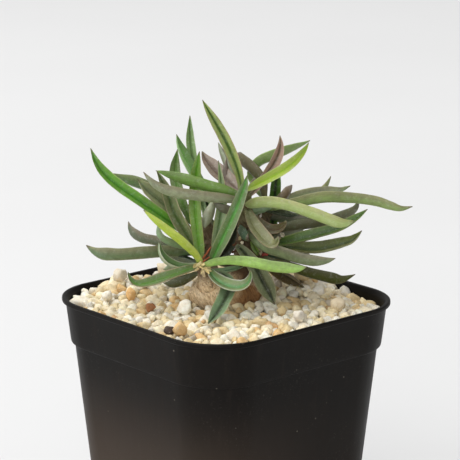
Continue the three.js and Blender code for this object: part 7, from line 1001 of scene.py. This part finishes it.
SCRAPS = (
    ('bract_a1', (-11.09, -1.95, 84.18), (3.65, -1.06, 3.91), 0.62, 'b0623c', 0.25, 0.20),
    ('bract_a2', (-11.14, -2.43, 83.85), (2.02, -0.62, 2.19), 0.70, 'a85a34', 0.40, 0.20),
    ('scale_a1', (-11.83, -2.39, 83.40), (1.15, -1.20, -1.39), 1.05, 'f0e2a6', 0.50, 0.45),
    ('scale_a2', (-11.16, -2.88, 84.52), (-0.97, 0.57, -1.65), 1.10, 'f2e6b0', 0.60, 0.45),
    ('scale_a3', (-10.70, -3.60, 83.16), (1.00, -0.52, -1.79), 1.00, 'ecdca0', 0.50, 0.42),
    ('scale_a4', (-11.35, -3.52, 82.12), (0.61, -0.56, -1.71), 1.10, 'e8d8b0', 0.60, 0.42),
    ('scale_a5', (-10.09, -3.74, 83.93), (1.24, -0.67, -1.22), 1.20, 'e8dca4', 0.50, 0.25),
    ('scale_a6', (-11.99, -1.73, 84.15), (-0.40, 1.02, -1.28), 1.20, 'd4c88e', 0.50, 0.25),
    ('scale_a7', (-11.56, -2.92, 83.74), (0.98, -0.34, 0.75), 1.00, 'f0e4a8', 0.60, 0.40),
    ('scale_a8', (-11.12, -3.67, 82.68), (-0.65, 0.73, -1.17), 1.00, 'e6d6a4', 0.60, 0.40),
    ('scale_a9', (-10.35, -4.05, 82.33), (1.14, -0.58, -0.80), 0.90, 'efe2ae', 0.60, 0.38),
    ('scale_a10', (-11.88, -2.45, 82.71), (-0.44, 0.76, -0.93), 0.90, 'e0d09c', 0.60, 0.36),
    ('scale_b1', (-2.06, -6.68, 99.61), (-1.29, 1.23, 1.11), 1.40, 'e3d6b6', 0.60, 0.25),
    ('scale_b2', (-2.01, -6.63, 97.90), (-1.24, 1.09, 0.85), 1.50, 'dccfae', 0.50, 0.25),
    ('scale_b3', (-1.73, -6.32, 100.91), (-0.69, 0.88, 0.80), 1.10, 'e6dcc0', 0.50, 0.22),
    ('scale_b4', (0.91, -5.83, 91.87), (-0.42, 0.78, 1.21), 1.20, 'd8c8a2', 0.50, 0.22),
    ('scale_b5', (0.69, -5.46, 90.40), (-0.64, 0.32, -1.10), 1.00, 'c8b68e', 0.50, 0.22),
    ('scale_b6', (0.80, -5.54, 88.25), (0.61, -0.35, 0.54), 1.00, 'efe8d4', 0.30, 0.25),
    ('scale_b7', (-0.07, -4.86, 88.41), (-0.68, 0.49, -1.13), 1.20, '6a4630', 0.50, 0.25),
    ('scale_b8', (-0.41, -4.83, 86.46), (-0.68, 0.49, -1.13), 1.20, '5c3a26', 0.50, 0.25),
    ('curl_b9', (8.67, -5.27, 95.50), (-0.87, -0.14, -1.84), 0.60, 'efe9e0', 0.80, 0.18),
    ('scale_d1', (7.61, -6.70, 85.15), (-0.98, 1.22, 1.08), 1.30, 'e2d8bd', 0.60, 0.24),
    ('scale_d2', (7.33, -7.03, 84.25), (-0.83, 0.96, 0.68), 1.20, 'd8ccae', 0.50, 0.24),
    ('scale_d3', (7.66, -6.65, 85.42), (0.65, -0.11, 1.35), 1.10, 'dccfae', 0.50, 0.22),
    ('scale_d4', (7.10, -7.07, 84.36), (1.44, -1.11, 0.43), 1.20, 'a8443a', 0.40, 0.25),
    ('scale_e1', (12.22, -10.74, 89.33), (-0.79, 1.01, 0.95), 1.20, 'e6e0cc', 0.60, 0.22),
    ('scale_e2', (11.52, -10.26, 88.93), (-0.94, 1.03, -0.62), 1.00, 'bdb08c', 0.50, 0.22),
    ('stub_g1', (1.32, -6.19, 99.84), (-0.78, 0.78, 0.69), 1.20, '7a3e30', 0.30, 0.30),
    ('stub_g2', (1.44, -6.47, 98.74), (0.73, -0.42, 0.67), 1.10, '6a3428', 0.30, 0.30),
)
for k, (name, at, along, width, colour, curl, thick) in enumerate(SCRAPS):
    scrap(name, at, along, float(np.linalg.norm(along)), width, colour, curl, thick, seed=k + 1)

# ---------------------------------------------------------- floor and lights
def stage_floor():
    g = Graph("floor_paper")
    place = position(g)
    tone = g.remap(g.noise(place, 0.004, 3.0), 0.3, 0.7, 0.69, 0.705)
    colour = g.node("ShaderNodeCombineColor", inputs={0: tone, 1: tone, 2: tone}).outputs[0]
    material = g.finish(Base_Color=colour, Roughness=0.9)
    size, n, V, F = 6000.0, 12, [], []
    for i in range(n + 1):
        for j in range(n + 1):
            V.append((size * (i / n - 0.5), size * (j / n - 0.5), -0.02))
    for i in range(n):
        for j in range(n):
            a = i * (n + 1) + j
            F.append((a, a + n + 1, a + n + 2, a + 1))
    floor = make("floor", V, F, material)


stage_floor()

world = bpy.data.worlds.new("studio")
scene.world = world
world.use_nodes = True
sky = world.node_tree
around = sky.nodes.new("ShaderNodeTexCoord")
tilt = sky.nodes.new("ShaderNodeVectorMath")
tilt.operation = "DOT_PRODUCT"
tilt.inputs[1].default_value = (0.729, -0.638, 0.0)
sky.links.new(around.outputs["Generated"], tilt.inputs[0])
fall = sky.nodes.new("ShaderNodeMapRange")
for key, value in (("From Min", -0.9), ("From Max", 0.9), ("To Min", 0.56 * 1.35), ("To Max", 0.56 * 0.55)):
    fall.inputs[key].default_value = value
sky.links.new(tilt.outputs["Value"], fall.inputs["Value"])
sky.nodes["Background"].inputs["Color"].default_value = (1.0, 1.0, 1.0, 1.0)
sky.links.new(fall.outputs["Result"], sky.nodes["Background"].inputs["Strength"])


def softbox(name, at, to, size, watts, colour=(1.0, 1.0, 1.0)):
    data = bpy.data.lights.new(name, "AREA")
    data.shape, data.size, data.size_y, data.energy, data.color = "RECTANGLE", size[0], size[1], watts, colour
    lamp = bpy.data.objects.new(name, data)
    scene.collection.objects.link(lamp)
    lamp.location = Vector(at)
    lamp.rotation_euler = (Vector(to) - Vector(at)).to_track_quat("-Z", "Y").to_euler()


softbox("key", (-0.30, 0.85, 2.5), (0.05, 0.05, 0.0), (2.2, 2.2), 56.0)
softbox("fill", (-1.35, -0.05, 0.9), (0.0, 0.0, 0.06), (1.1, 1.1), 6.0)
softbox("front", (-0.95, -0.85, 0.55), (0.0, 0.0, 0.05), (0.5, 0.7), 3.0)
